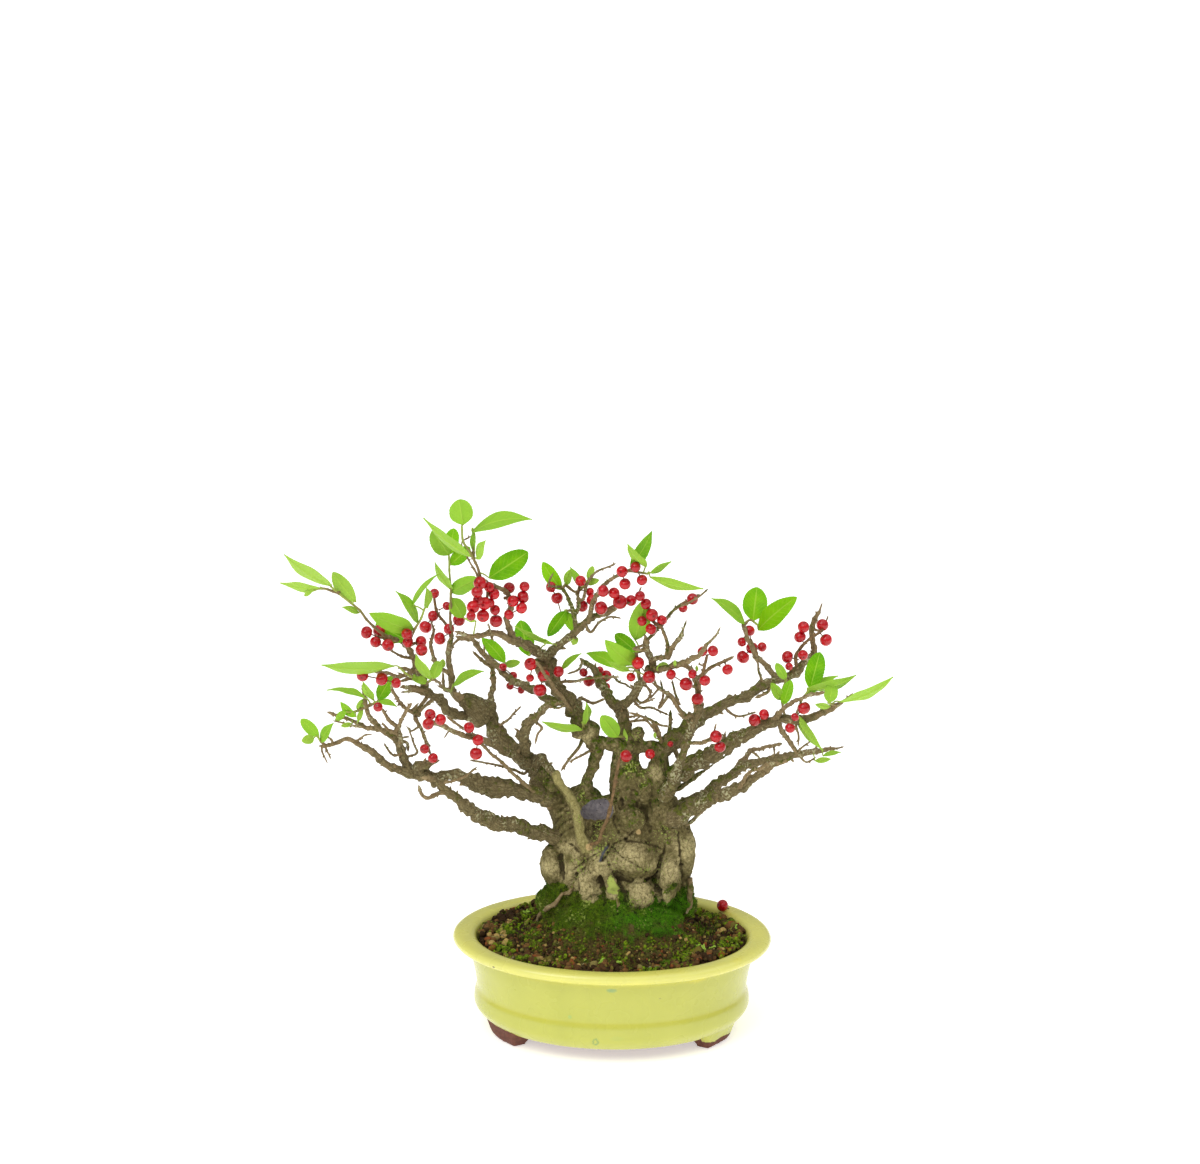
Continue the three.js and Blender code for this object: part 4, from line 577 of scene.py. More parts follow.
def seen(column, row, depth):
    """Points in millimetres from the drawing's columns and rows, at depths behind the pot's middle."""
    column, row, depth = np.broadcast_arrays(np.asarray(column, float), row, depth)
    across = (column - MID_COLUMN) / FOCAL
    up = (MID_ROW - row) / FOCAL
    right = across * math.cos(ROLL) - up * math.sin(ROLL)
    rise = across * math.sin(ROLL) + up * math.cos(ROLL)
    far = (depth - EYE[1]) / (math.cos(PITCH) + rise * math.sin(PITCH))
    x = EYE[0] + far * right
    z = EYE[2] + far * (rise * math.cos(PITCH) - math.sin(PITCH))
    return np.stack([x, depth.astype(float), z], axis=-1)


def drawn_at(points):
    """The drawing's columns and rows of points in millimetres."""
    away = points - EYE
    far = away[:, 1] * math.cos(PITCH) - away[:, 2] * math.sin(PITCH)
    rise = (away[:, 1] * math.sin(PITCH) + away[:, 2] * math.cos(PITCH)) / far
    right = away[:, 0] / far
    across = right * math.cos(ROLL) + rise * math.sin(ROLL)
    up = rise * math.cos(ROLL) - right * math.sin(ROLL)
    return MID_COLUMN + across * FOCAL, MID_ROW - up * FOCAL


def metres(points):
    """The drawing's millimetres in the solids' own frame."""
    return (np.asarray(points) + POT_MIDDLE) / 1000


def seeded(seed):
    """The same numbers as the solids' own draw."""
    state = seed

    def draw():
        nonlocal state
        state = (state * 1664525 + 1013904223) % 4294967296
        return state / 4294967296

    return draw


def unit(vector):
    """The same direction at length 1."""
    return vector / np.linalg.norm(vector)


def run_along(path):
    """How far along a path each of its points is."""
    return np.concatenate([[0], np.cumsum(np.linalg.norm(np.diff(path, axis=0), axis=1))])


def spaced(values, share):
    """Values spread evenly over a length, at shares of it."""
    values = np.asarray(values, float)
    if len(values) == 1:
        return values[0] + 0 * np.asarray(share, float)
    return np.interp(share, np.linspace(0, 1, len(values)), values)


class Curve:
    """A smooth curve through its marks, even in length along its shares."""

    def __init__(self, marks):
        self.marks = np.asarray(marks, float)
        self.shares = np.linspace(0, 1, 201)
        self.runs = run_along(self.point(self.shares))
        self.length = self.runs[-1]

    def point(self, share):
        """Where the curve is at a share of its marks."""
        marks = self.marks
        ends = np.vstack([2 * marks[0] - marks[1], marks, 2 * marks[-1] - marks[-2]])
        place = np.atleast_1d(share) * (len(marks) - 1)
        first = np.minimum(place.astype(int), len(marks) - 2)
        t = (place - first)[:, None]
        p0, p1, p2, p3 = (ends[first + k] for k in range(4))
        d0, d1, d2 = (np.linalg.norm(b - a, axis=1)[:, None] ** 0.5
                      for a, b in ((p0, p1), (p1, p2), (p2, p3)))
        d1 = np.where(d1 < 1e-4, 1.0, d1)
        d0 = np.where(d0 < 1e-4, d1, d0)
        d2 = np.where(d2 < 1e-4, d1, d2)
        t1 = ((p1 - p0) / d0 - (p2 - p0) / (d0 + d1) + (p2 - p1) / d1) * d1
        t2 = ((p2 - p1) / d1 - (p3 - p1) / (d1 + d2) + (p3 - p2) / d2) * d1
        c2 = -3 * p1 + 3 * p2 - 2 * t1 - t2
        c3 = 2 * p1 - 2 * p2 + t1 + t2
        return p1 + t1 * t + c2 * t ** 2 + c3 * t ** 3

    def even(self, share):
        """Where the curve is at a share of its length."""
        return self.point(np.interp(np.atleast_1d(share) * self.length, self.runs, self.shares))


def place(wood):
    """Where wood is, from its rows of column, row, depth and radius."""
    wood = np.atleast_2d(wood)
    return seen(wood[:, 0], wood[:, 1], wood[:, 2])


def nearest_to(column, row, among):
    """The row of wood that is drawn nearest to a place."""
    among = np.atleast_2d(among)
    return among[np.argmin(np.hypot(among[:, 0] - column, among[:, 1] - row))]


def followed(points, depths, among):
    """A smooth route and its even stops. With no first depth it leaves the nearest wood."""
    drawn = [tuple(p) for p in points]
    known = list(depths)
    if depths[0] is None:
        near = nearest_to(*points[0], among)
        known[0] = near[2]
        drawn[0] = (near[0], near[1])
        if math.hypot(near[0] - points[0][0], near[1] - points[0][1]) > 4:
            drawn.insert(1, tuple(points[0]))
    drawn = np.array(drawn, float)
    steps = np.hypot(*np.diff(drawn, axis=0).T)
    runs = np.concatenate([[0], np.cumsum(steps)])
    depth = spaced(known, runs / runs[-1]) / GRID
    curve = Curve(np.column_stack([drawn, depth]))
    count = max(2, math.floor(curve.length * GRID / TUBE_STEP + 0.5))
    share = np.arange(count + 1) / count
    stops = curve.even(share)
    stops[:, 2] *= GRID
    return curve, np.column_stack([stops, share])


def sampled(stops, widths):
    """Rows of wood along a route's stops, close enough to leave no gap."""
    rows = []
    for a, b in zip(stops[:-1], stops[1:]):
        parts = math.ceil(math.hypot(b[0] - a[0], b[1] - a[1]) / 3)
        for k in range(parts + 1):
            mix = a + (b - a) * (k / parts)
            rows.append([mix[0], mix[1], mix[2], float(spaced(widths, mix[3])) * GRID / 2])
    return np.array(rows)


class Clutter:
    """Balls along what is already placed, which new pieces keep clear of."""

    def __init__(self):
        self.at = np.zeros((0, 3))
        self.radius = np.zeros(0)

    def keep(self, points, radius):
        """Adds round things that later ones keep clear of."""
        points = np.atleast_2d(points)
        self.at = np.vstack([self.at, points])
        self.radius = np.concatenate([self.radius, np.broadcast_to(radius, len(points))])

    def blocked(self, points, radius, root=None, reach=0.0):
        """How much of a row of places is taken by what is already there."""
        points = np.atleast_2d(points)
        if root is not None:
            points = points[np.linalg.norm(points - root, axis=1) >= reach]
        if not len(points) or not len(self.at):
            return 0
        away = np.linalg.norm(points[:, None] - self.at[None], axis=2)
        return int((away < self.radius + radius + CLEAR).any(axis=1).sum())


def clearest(candidates, count):
    """The first candidate with the least to hit."""
    best, least = candidates[0], math.inf
    for candidate in candidates:
        now = count(candidate)
        if now < least:
            best, least = candidate, now
        if least == 0:
            break
    return best


def between(start, end, bend, parts):
    """A path from start to end that bows by `bend` at its middle."""
    share = np.linspace(0, 1, parts + 1)[:, None]
    return start + (end - start) * share + bend * 4 * share * (1 - share)


class Plan:
    """Where every piece of the plant goes, by the same rule as the solids."""

    def __init__(self):
        self.clutter = Clutter()
        self.wood = np.zeros((0, 4))
        self.lobes = []
        self.limbs = {}
        self.bunches = {}
        self.sprays = {}
        for column, row, depth, across, deep, high, lean in LOBES:
            centre = seen(column, row, depth)
            self.lobes.append((centre, across, deep, high, lean))
            self.clutter.keep(centre, min(across, deep, high))
        self.columns = self.grow(COLUMNS)
        for name, routes in LIMBS.items():
            self.limbs[name] = self.grow(routes)
        self.clutter.keep(place(self.wood), self.wood[:, 3])
        for number, (name, drawn) in enumerate(BERRIES.items()):
            self.bunches[name] = self.bunch(*drawn, seeded(40 + number))
        for number, (name, drawn) in enumerate(LEAVES.items()):
            self.sprays[name] = self.spray(*drawn, seeded(80 + number))

    def grow(self, routes):
        """A limb's routes, each of which may leave the ones before it."""
        own = np.zeros((0, 4))
        made = []
        for points, widths, depths in routes:
            curve, stops = followed(points, depths, own)
            own = np.vstack([own, sampled(stops, widths)])
            made.append((curve, widths))
        self.wood = np.vstack([self.wood, own])
        return made

    def stems(self, stems):
        """Stems from the wood, each at the depth that keeps it clear."""
        own = np.zeros((0, 4))
        made = []
        for points, depth in stems:
            root = nearest_to(*points[0], own if len(own) else self.wood)
            foot = place(root)[0]

            def route_at(shift):
                return followed(points, [None, depth + shift, depth + shift], root)

            shift = clearest(SHIFTS, lambda s: self.clutter.blocked(
                place(sampled(route_at(s)[1], [2])), STEM_RADIUS, foot, root[3] + 2.4))
            curve, stops = route_at(shift)
            own = np.vstack([own, sampled(stops, [2.4])])
            made.append(curve)
        return own, made

    def clear_part(self, own):
        """The part of a stem that stands free."""
        free = [w for w in own if self.clutter.blocked(place(w), STEM_RADIUS) == 0]
        return np.array(free) if free else own[-1:]

    def spray(self, stems, drawn, random):
        """A leafy shoot: its stems and its blades."""
        own, stems = self.stems(stems)
        free = self.clear_part(own)
        used = []
        blades = []
        for from_column, from_row, to_column, to_row, wide, lean in drawn:
            near = nearest_to(from_column, from_row, free)
            root = place(near)[0]
            arch = 0.05 + 0.05 * random()
            turned = -1 if random() < 0.5 else 1

            def blade_at(shift):
                base = seen(from_column, from_row, near[2] + shift * 0.4)
                tip = seen(to_column, to_row, near[2] + lean + shift)
                broad = max(wide * GRID, np.linalg.norm(tip - base) * BLADE_SHARE, 2.2)
                roll = math.acos(min(1, wide * GRID / broad)) * turned
                return Blade(root, base, tip, broad, roll, arch)

            shift = clearest(SHIFTS, lambda s: self.clutter.blocked(
                blade_at(s).touched(), BLADE_THICK / 2, root, 1.6))
            blade = blade_at(shift)
            used.append(blade.touched())
            blades.append(blade)
        self.clutter.keep(np.vstack(used), 0.5)
        self.clutter.keep(place(own), STEM_RADIUS)
        return stems, blades

    def stalk(self, starts, end, reach):
        """Where a berry's stalk starts, and how it bends past what is in its way."""
        away = np.linalg.norm(place(starts) - end, axis=1)
        handy = starts[np.argsort(away, kind="stable")[:5]]
        ways = [(w, bend) for w in handy for bend in BENDS]

        def count(way):
            foot = place(way[0])[0]
            points = between(foot, end, way[1], 10)
            points = points[np.linalg.norm(points - end, axis=1) > reach]
            return self.clutter.blocked(points, STALK_WIDE / 2, foot, way[0][3] + 0.9) if len(points) else 0

        root, bend = clearest(ways, count)
        return place(root)[0], bend

    def bunch(self, stems, fruit, random):
        """A bunch: its stems and its berries, nearest to the wood first."""
        own, stems = self.stems(stems)
        fruit = [tuple(f) for f in fruit]
        wooded = len(own) == 0
        anchors = np.atleast_2d(nearest_to(*fruit[0][:2], self.wood)) if wooded else self.clear_part(own)
        placed = np.zeros((0, 4))
        berries = []
        while fruit:
            fruit.sort(key=lambda f: np.min(np.hypot(anchors[:, 0] - f[0], anchors[:, 1] - f[1])))
            column, row, size = fruit.pop(0)
            radius = size * GRID
            anchor = nearest_to(column, row, anchors)
            start = anchor[2] + (random() - 0.5) * 3

            def count(shift):
                centre = seen(column, row, start + shift)
                crowded = on_stem = 0
                if len(placed):
                    gaps = np.linalg.norm(place(placed) - centre, axis=1)
                    crowded = int((gaps < (radius + placed[:, 3]) * 0.94).sum())
                if len(own):
                    on_stem = int((np.linalg.norm(place(own) - centre, axis=1) < radius + 0.2).any())
                return self.clutter.blocked(centre, radius) * 3 + crowded * 2 + on_stem

            depth = start + clearest(SHIFTS, count)
            centre = seen(column, row, depth)
            root, bend = self.stalk(anchors, centre, radius)
            berries.append((centre, radius, root, bend))
            if wooded and not len(placed):
                anchors = anchors[:-1]
            placed = np.vstack([placed, [column, row, depth, radius]])
            anchors = np.vstack([anchors, [column, row, depth, radius]])
        self.clutter.keep(place(placed), placed[:, 3])
        if len(own):
            self.clutter.keep(place(own), STEM_RADIUS)
        return stems, berries


class Blade:
    """A leaf's blade: its stalk's root, base, tip, breadth, roll about its length and arch."""

    SHARES = (0, 0.08, 0.3, 0.42, 0.56, 0.74, 1)
    WIDTHS = (0, 0.22, 0.94, 0.86, 1, 0.78, 0.08)
    SMALL_SHARES = (0, 0.08, 0.4, 0.7, 1)
    SMALL_WIDTHS = (0, 0.22, 1, 0.8, 0.08)
    SMALL = 11

    def __init__(self, root, base, tip, broad, roll, arch):
        self.root, self.base, self.broad, self.arch = root, base, broad, arch
        along = tip - base
        self.long = float(np.linalg.norm(along))
        self.open = math.cos(roll)
        self.blunt = float(np.clip((broad * math.cos(roll) / self.long - 0.30) / 0.12, 0, 1))
        self.along = along / self.long
        side = unit(np.cross(self.along, unit(base - EYE)))
        face = unit(np.cross(side, self.along))
        self.across = side * math.cos(roll) + face * math.sin(roll)
        self.normal = unit(np.cross(self.along, self.across))

    def midrib(self, share):
        """Where the midrib is at a share of the blade's length."""
        share = np.asarray(share, float)[:, None]
        lift = self.arch * self.long * 4 * share * (1 - share)
        return self.base + self.along * self.long * share + self.normal * lift

    def touched(self):
        """The points that a new blade must keep clear."""
        small = self.long < self.SMALL
        shares = np.array(self.SMALL_SHARES if small else self.SHARES)
        widths = np.array(self.SMALL_WIDTHS if small else self.WIDTHS)
        centres = self.midrib(shares)
        centres[0] = self.root
        half = np.maximum(self.broad / 2 * widths, 0.36)
        spread = np.array([-0.9, -0.45, 0, 0.45, 0.9])
        points = centres[:, None] + self.across * (spread[None, :, None] * half[:, None, None])
        return points.reshape(-1, 3)


@lru_cache(maxsize=1)
def plan():
    """The one plan that every piece follows."""
    return Plan()


# ---------------------------------------------------------------------------
# Shapes: roughness, tubes, balls and the mesh that collects them
# ---------------------------------------------------------------------------

def lattice(x, y, z, seed):
    """A fixed number from -1 to 1 for each whole place."""
    h = (x * 374761393 + y * 668265263 + z * 1440662683 + seed * 144269504) & 0xFFFFFFFF
    h = ((h ^ (h >> 13)) * 1274126177) & 0xFFFFFFFF
    return ((h ^ (h >> 16)) & 0xFFFF) / 32767.5 - 1


def lumps(points, size, seed=0, octaves=1):
    """Smooth unevenness from -1 to 1 with lumps of the given size, each octave half as large."""
    total = np.zeros(len(points))
    weight = 0.0
    for octave in range(octaves):
        spot = points / size * 2 ** octave + 31.7 * octave
        cell = np.floor(spot).astype(np.int64)
        part = spot - cell
        part = part * part * (3 - 2 * part)
        value = 0
        for corner in range(8):
            bits = np.array([corner & 1, corner >> 1 & 1, corner >> 2 & 1])
            share = np.prod(np.where(bits, part, 1 - part), axis=1)
            value = value + share * lattice(*(cell + bits).T, seed + octave)
        total += value * 0.5 ** octave
        weight += 0.5 ** octave
    return total / weight * 1.4


class Mesh:
    """Points, faces, a value a point for each named mask (three for `grain`), and a material a face."""

    def __init__(self):
        self.points = []
        self.faces = []
        self.slots = []
        self.masks = {}
        self.count = 0

    def add(self, points, faces, slot=0, **masks):
        """Adds points and faces, with their masks."""
        points = np.asarray(points, float)
        for name in masks:
            self.masks.setdefault(name, [np.zeros((self.count, 3) if name == "grain" else self.count)])
        for name, values in self.masks.items():
            shape = (len(points), 3) if name == "grain" else len(points)
            values.append(np.broadcast_to(np.asarray(masks.get(name, 0.0), float), shape))
        self.points.append(points)
        self.faces.extend([tuple(int(v) + self.count for v in face) for face in faces])
        self.slots.extend(np.broadcast_to(slot, len(faces)).tolist())
        self.count += len(points)

    def data(self, name):
        """The mesh as Blender's own, in metres."""
        mesh = bpy.data.meshes.new(name)
        mesh.from_pydata(metres(np.vstack(self.points)).tolist(), [], self.faces)
        for mask, values in self.masks.items():
            wide = mask == "grain"
            layer = mesh.attributes.new(mask, "FLOAT_VECTOR" if wide else "FLOAT", "POINT")
            layer.data.foreach_set("vector" if wide else "value",
                                   np.concatenate(values).astype(np.float32).ravel())
        mesh.polygons.foreach_set("material_index", self.slots)
        mesh.update()
        return mesh


def show(name, mesh, materials, replaced=(), sharp=None):
    """Puts a mesh into the scene as a piece of the object."""
    data = mesh.data(name) if isinstance(mesh, Mesh) else mesh
    for material in materials:
        data.materials.append(material)
    data.shade_smooth()
    if sharp is not None:
        data.set_sharp_from_angle(angle=math.radians(sharp))
    piece = bpy.data.objects.new(name, data)
    bpy.context.scene.collection.objects.link(piece)
    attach(piece, "root")
    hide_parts(*replaced)
    return piece


def loops(rows, sides, ends=True):
    """Faces of a closed sheet of rings, with a face over each end."""
    faces = []
    for row in range(rows - 1):
        a = row * sides
        for k in range(sides):
            n = (k + 1) % sides
            faces.append((a + k, a + n, a + sides + n, a + sides + k))
    if ends:
        last = (rows - 1) * sides
        faces.append(tuple(range(sides - 1, -1, -1)))
        faces.append(tuple(range(last, last + sides)))
    return faces


def frames(path):
    """Directions along a path and two across it that don't twist."""
    along = np.gradient(path, axis=0)
    along /= np.linalg.norm(along, axis=1)[:, None]
    normal = np.zeros_like(path)
    start = np.array([0.3, 1.0, 0.2])
    for i, direction in enumerate(along):
        start = unit(start - direction * start.dot(direction))
        normal[i] = start
    return along, normal, np.cross(along, normal)


def tube(path, radii, sides, rough=0.0, grain=1.5, seed=0):
    """Rings of points round a path, with uneven sides, and how far along and around each point is."""
    _, normal, across = frames(path)
    turn = np.arange(sides) / sides * 2 * math.pi
    out = normal[:, None] * np.cos(turn)[None, :, None] + across[:, None] * np.sin(turn)[None, :, None]
    points = path[:, None] + out * radii[:, None, None]
    if rough:
        flat = points.reshape(-1, 3)
        swell = lumps(flat, grain, seed, 2) * 0.6 + lumps(flat, grain * 3, seed + 7) * 0.7
        points = points + out * (swell.reshape(len(path), sides) * rough * radii[:, None])[:, :, None]
    return points.reshape(-1, 3), np.repeat(run_along(path), sides), np.tile(turn, len(path))


def rod(mesh, path, radii, sides, rough=0.0, grain=1.5, seed=0, **masks):
    """Adds a closed tube to a mesh."""
    points, _, _ = tube(path, radii, sides, rough, grain, seed)
    mesh.add(points, loops(len(path), sides), **masks)


@lru_cache(maxsize=None)
def ball(columns, rows):
    """A unit ball with a pole at +Z and -Z, as points and faces."""
    points = [(0, 0, 1)]
    for i in range(1, rows):
        tilt = math.pi * i / rows
        for k in range(columns):
            turn = 2 * math.pi * k / columns
            points.append((math.sin(tilt) * math.cos(turn), math.sin(tilt) * math.sin(turn), math.cos(tilt)))
    points.append((0, 0, -1))
    faces = [(0, 1 + k, 1 + (k + 1) % columns) for k in range(columns)]
    for i in range(rows - 2):
        a = 1 + i * columns
        for k in range(columns):
            n = (k + 1) % columns
            faces.append((a + k, a + columns + k, a + columns + n, a + n))
    last = len(points) - 1
    a = 1 + (rows - 2) * columns
    faces += [(last, a + (k + 1) % columns, a + k) for k in range(columns)]
    return np.array(points), faces


@lru_cache(maxsize=None)
def pebble(parts):
    """A unit ball of 12 points, or of 42 in two parts an edge."""
    made = bmesh.new()
    bmesh.ops.create_icosphere(made, subdivisions=parts, radius=1)
    points = np.array([v.co[:] for v in made.verts])
    faces = [tuple(v.index for v in f.verts) for f in made.faces]
    made.free()
    return points, faces


def turned_to(direction):
    """A turn that takes +Z to the direction."""
    return np.array(Vector(direction).to_track_quat("Z", "Y").to_matrix())


def soil_share(x, y):
    """How far out a place is, from 0 at the soil's middle to 1 at its edge."""
    return math.hypot(x / SOIL_ACROSS, y / (SOIL_ACROSS * OVAL))


def soil_height(x, y):
    """The soil's height, which rises toward its middle."""
    share = np.sqrt((x / SOIL_ACROSS) ** 2 + (y / (SOIL_ACROSS * OVAL)) ** 2)
    points = np.stack([x, y, 0 * x], axis=-1).reshape(-1, 3)
    rise = SOIL_HIGH + SOIL_MOUND * (1 - share) - 0.7
    return rise + (lumps(points, 14, 5) * 0.8 + lumps(points, 5, 6) * 0.45).reshape(np.shape(x))


def soil_at(x, y):
    """The soil's height at one place."""
    return float(soil_height(np.array([x]), np.array([y]))[0])


def smoothed(points, edges, times, share=0.5):
    """Points drawn toward the middle of their neighbours."""
    count = np.bincount(edges.ravel(), minlength=len(points))[:, None]
    for _ in range(times):
        total = np.zeros_like(points)
        np.add.at(total, edges[:, 0], points[edges[:, 1]])
        np.add.at(total, edges[:, 1], points[edges[:, 0]])
        points = points + (total / count - points) * share
    return points


def linked(name, mesh):
    """A mesh as an object in the scene, to be worked with modifiers."""
    piece = bpy.data.objects.new(name, mesh.data(name))
    bpy.context.scene.collection.objects.link(piece)
    return piece


def worked(piece, *tools):
    """A piece's points, faces and edges after its modifiers, in millimetres. It and its tools are removed."""
    bpy.context.view_layer.update()
    made = piece.evaluated_get(bpy.context.evaluated_depsgraph_get()).data
    points = np.zeros(len(made.vertices) * 3)
    made.vertices.foreach_get("co", points)
    edges = np.zeros(len(made.edges) * 2, int)
    made.edges.foreach_get("vertices", edges)
    faces = [tuple(p.vertices) for p in made.polygons]
    for used in (piece, *tools):
        bpy.data.objects.remove(used)
    return points.reshape(-1, 3) * 1000 - POT_MIDDLE, faces, edges.reshape(-1, 2)


def skin(mesh, voxel):
    """One even skin over everything in a mesh: its points, faces and edges in millimetres."""
    piece = linked("skin", mesh)
    remesh = piece.modifiers.new("Skin", "REMESH")
    remesh.mode = "VOXEL"
    remesh.voxel_size = voxel / 1000
    return worked(piece)


def outward(points, faces):
    """Which way is out at each point."""
    quads = np.array([f if len(f) == 4 else f + (f[2],) for f in faces])
    a, b, c, d = (points[quads[:, k]] for k in range(4))
    face = np.cross(c - a, d - b)
    total = np.zeros_like(points)
    for k in range(4):
        np.add.at(total, quads[:, k], face)
    return total / np.maximum(np.linalg.norm(total, axis=1), 1e-12)[:, None]


def near_line(column, row, line):
    """How far grid places are from a drawn line, in its own grid steps."""
    line = np.array(line, float)
    best = np.full(len(column), 1e9)
    at = np.stack([column, row], axis=1)
    if len(line) == 1:
        return np.hypot(*(at - line[0]).T)
    for a, b in zip(line[:-1], line[1:]):
        span = b - a
        share = np.clip(((at - a) @ span) / (span @ span), 0, 1)
        best = np.minimum(best, np.hypot(*(at - a - share[:, None] * span).T))
    return best


def spots(column, row, marks, full, none, uneven=0.0):
    """A mask round drawn places, fading by shares of each one's size."""
    return sum(fade(np.hypot(column - c, row - r) + uneven, size * full, size * none)
               for (c, r), size in marks)


def fade(value, full, none):
    """1 up to `full`, falling smoothly to 0 at `none`."""
    t = np.clip((none - value) / (none - full), 0, 1)
    return t * t * (3 - 2 * t)


# ---------------------------------------------------------------------------
# Paint: shader nodes, groups shared by several materials, and the materials
# ---------------------------------------------------------------------------

def rgb(red, green, blue):
    """A colour as Blender holds it, from its value on screen."""
    return tuple((c / 255 / 12.92) if c <= 10 else ((c / 255 + 0.055) / 1.055) ** 2.4
                 for c in (red, green, blue))


def fill(tree, socket, value):
    """Links a socket, or sets it."""
    if isinstance(value, bpy.types.NodeSocket):
        tree.links.new(value, socket)
    elif socket.type == "RGBA":
        socket.default_value = (*value[:3], 1)
    else:
        socket.default_value = value


def put(tree, kind, sockets=None, **settings):
    """Adds a node, sets it, and links or sets its inputs."""
    node = tree.nodes.new("ShaderNode" + kind)
    for key, value in settings.items():
        setattr(node, key, value)
    for key, value in (sockets or {}).items():
        fill(tree, node.inputs[key], value)
    return node


def mix(tree, share, first, second, blend="MIX"):
    """The first colour going over to the second."""
    return put(tree, "Mix", {0: share, 6: first, 7: second}, data_type="RGBA", blend_type=blend).outputs[2]


def times(tree, first, second, clamp=False):
    """The product of two values."""
    return sums(tree, "MULTIPLY", first, second, clamp)


def plus(tree, first, second):
    """The sum of two values."""
    return sums(tree, "ADD", first, second)


def tint(tree, colour, share, amount, over):
    """A colour with an amount of another over it, where the share is."""
    return mix(tree, times(tree, share, amount), colour, over)


def sums(tree, kind, first, second=0.0, clamp=False):
    """One sum, the kind of which is named."""
    return put(tree, "Math", {0: first, 1: second}, operation=kind, use_clamp=clamp).outputs[0]


def ranged(tree, value, low, high, to_low=0.0, to_high=1.0):
    """A value moved from one range to another, and held there."""
    return put(tree, "MapRange", {0: value, 1: low, 2: high, 3: to_low, 4: to_high}).outputs[0]


def cloud(tree, vector, scale, detail=2.0, rough=0.5):
    """Soft noise."""
    return put(tree, "TexNoise", {"Vector": vector, "Scale": scale, "Detail": detail,
                                  "Roughness": rough}).outputs["Fac"]


def cells(tree, vector, scale, feature="F1"):
    """Cells, by their distance."""
    return put(tree, "TexVoronoi", {"Vector": vector, "Scale": scale}, feature=feature).outputs["Distance"]


def mask(tree, name, output="Fac"):
    """A mask that the mesh carries."""
    return put(tree, "Attribute", attribute_name=name).outputs[output]


def stretched(tree, vector, by):
    """Places with each axis drawn out or pressed together."""
    return put(tree, "VectorMath", {0: vector, 1: by}, operation="MULTIPLY").outputs[0]


def millimetres(tree):
    """Where a point of the surface is, in millimetres."""
    return stretched(tree, put(tree, "TexCoord").outputs["Object"], (1000, 1000, 1000))


def group(name, inputs, outputs, build):
    """A node group, built once. Inputs are name to default, and outputs name to kind of socket."""
    tree = bpy.data.node_groups.get(name)
    if tree:
        return tree
    tree = bpy.data.node_groups.new(name, "ShaderNodeTree")
    for key, default in inputs.items():
        kind = "NodeSocketFloat"
        if isinstance(default, tuple):
            kind = "NodeSocketColor" if len(default) == 4 else "NodeSocketVector"
        socket = tree.interface.new_socket(key, in_out="INPUT", socket_type=kind)
        socket.default_value = default
    for key, kind in outputs.items():
        tree.interface.new_socket(key, in_out="OUTPUT", socket_type=kind)
    enter = tree.nodes.new("NodeGroupInput")
    leave = tree.nodes.new("NodeGroupOutput")
    for key, socket in build(tree, enter.outputs).items():
        tree.links.new(socket, leave.inputs[key])
    return tree


def use(tree, shared, **sockets):
    """A shared group, with its inputs given by name."""
    node = tree.nodes.new("ShaderNodeGroup")
    node.node_tree = shared
    for key, value in sockets.items():
        fill(tree, node.inputs[key.replace("_", " ")], value)
    return node.outputs


COLOUR = "NodeSocketColor"
VALUE = "NodeSocketFloat"
NOWHERE = (0.0, 0.0, 0.0)


def uneven_colour():
    """Two colours in soft clouds."""
    def build(tree, given):
        share = cloud(tree, given["Place"], given["Scale"], 3)
        share = ranged(tree, share, 0.32, 0.68)
        share = times(tree, share, given["Amount"], True)
        return {"Colour": mix(tree, share, given["First"], given["Second"])}

    return group("Uneven colour", {"Place": NOWHERE, "Scale": 0.2, "Amount": 1.0,
                                   "First": (1.0, 1.0, 1.0, 1.0), "Second": (0.5, 0.5, 0.5, 1.0)},
                 {"Colour": COLOUR}, build)


def clouded(tree, at, scale, amount, first, second):
    """Two colours in soft patches."""
    return use(tree, uneven_colour(), Place=at, Scale=scale, Amount=amount, First=first,
               Second=second)["Colour"]


def specks():
    """Small scattered spots, as a mask."""
    def build(tree, given):
        away = cells(tree, given["Place"], given["Scale"])
        kept = cloud(tree, given["Place"], 0.37, 1)
        spot = ranged(tree, away, given["Size"], times(tree, given["Size"], 0.55))
        kept = ranged(tree, kept, 0.50, 0.56)
        return {"Mask": times(tree, spot, kept, True)}

    return group("Specks", {"Place": NOWHERE, "Scale": 0.3, "Size": 0.12}, {"Mask": VALUE}, build)


def dotted(tree, at, scale, size):
    """Small dots, as a mask."""
    return use(tree, specks(), Place=at, Scale=scale, Size=size)["Mask"]


def spot():
    """A soft round or oval stain at one place, as a mask. Size is its half width each way."""
    def build(tree, given):
        off = put(tree, "VectorMath", {0: given["Place"], 1: given["Centre"]},
                  operation="SUBTRACT").outputs[0]
        off = put(tree, "VectorMath", {0: off, 1: given["Size"]}, operation="DIVIDE").outputs[0]
        away = put(tree, "VectorMath", {0: off}, operation="LENGTH").outputs["Value"]
        away = plus(tree, away, ranged(tree, cloud(tree, given["Place"], 0.9), 0, 1, -0.35, 0.35))
        inside = ranged(tree, away, 1.0, 0.55)
        hole = ranged(tree, away, given["Ring"], sums(tree, "SUBTRACT", given["Ring"], 0.25))
        return {"Mask": sums(tree, "SUBTRACT", inside, hole, True)}

    return group("Spot", {"Place": NOWHERE, "Centre": NOWHERE, "Size": (1.0, 1.0, 1.0),
                          "Ring": -1.0}, {"Mask": VALUE}, build)


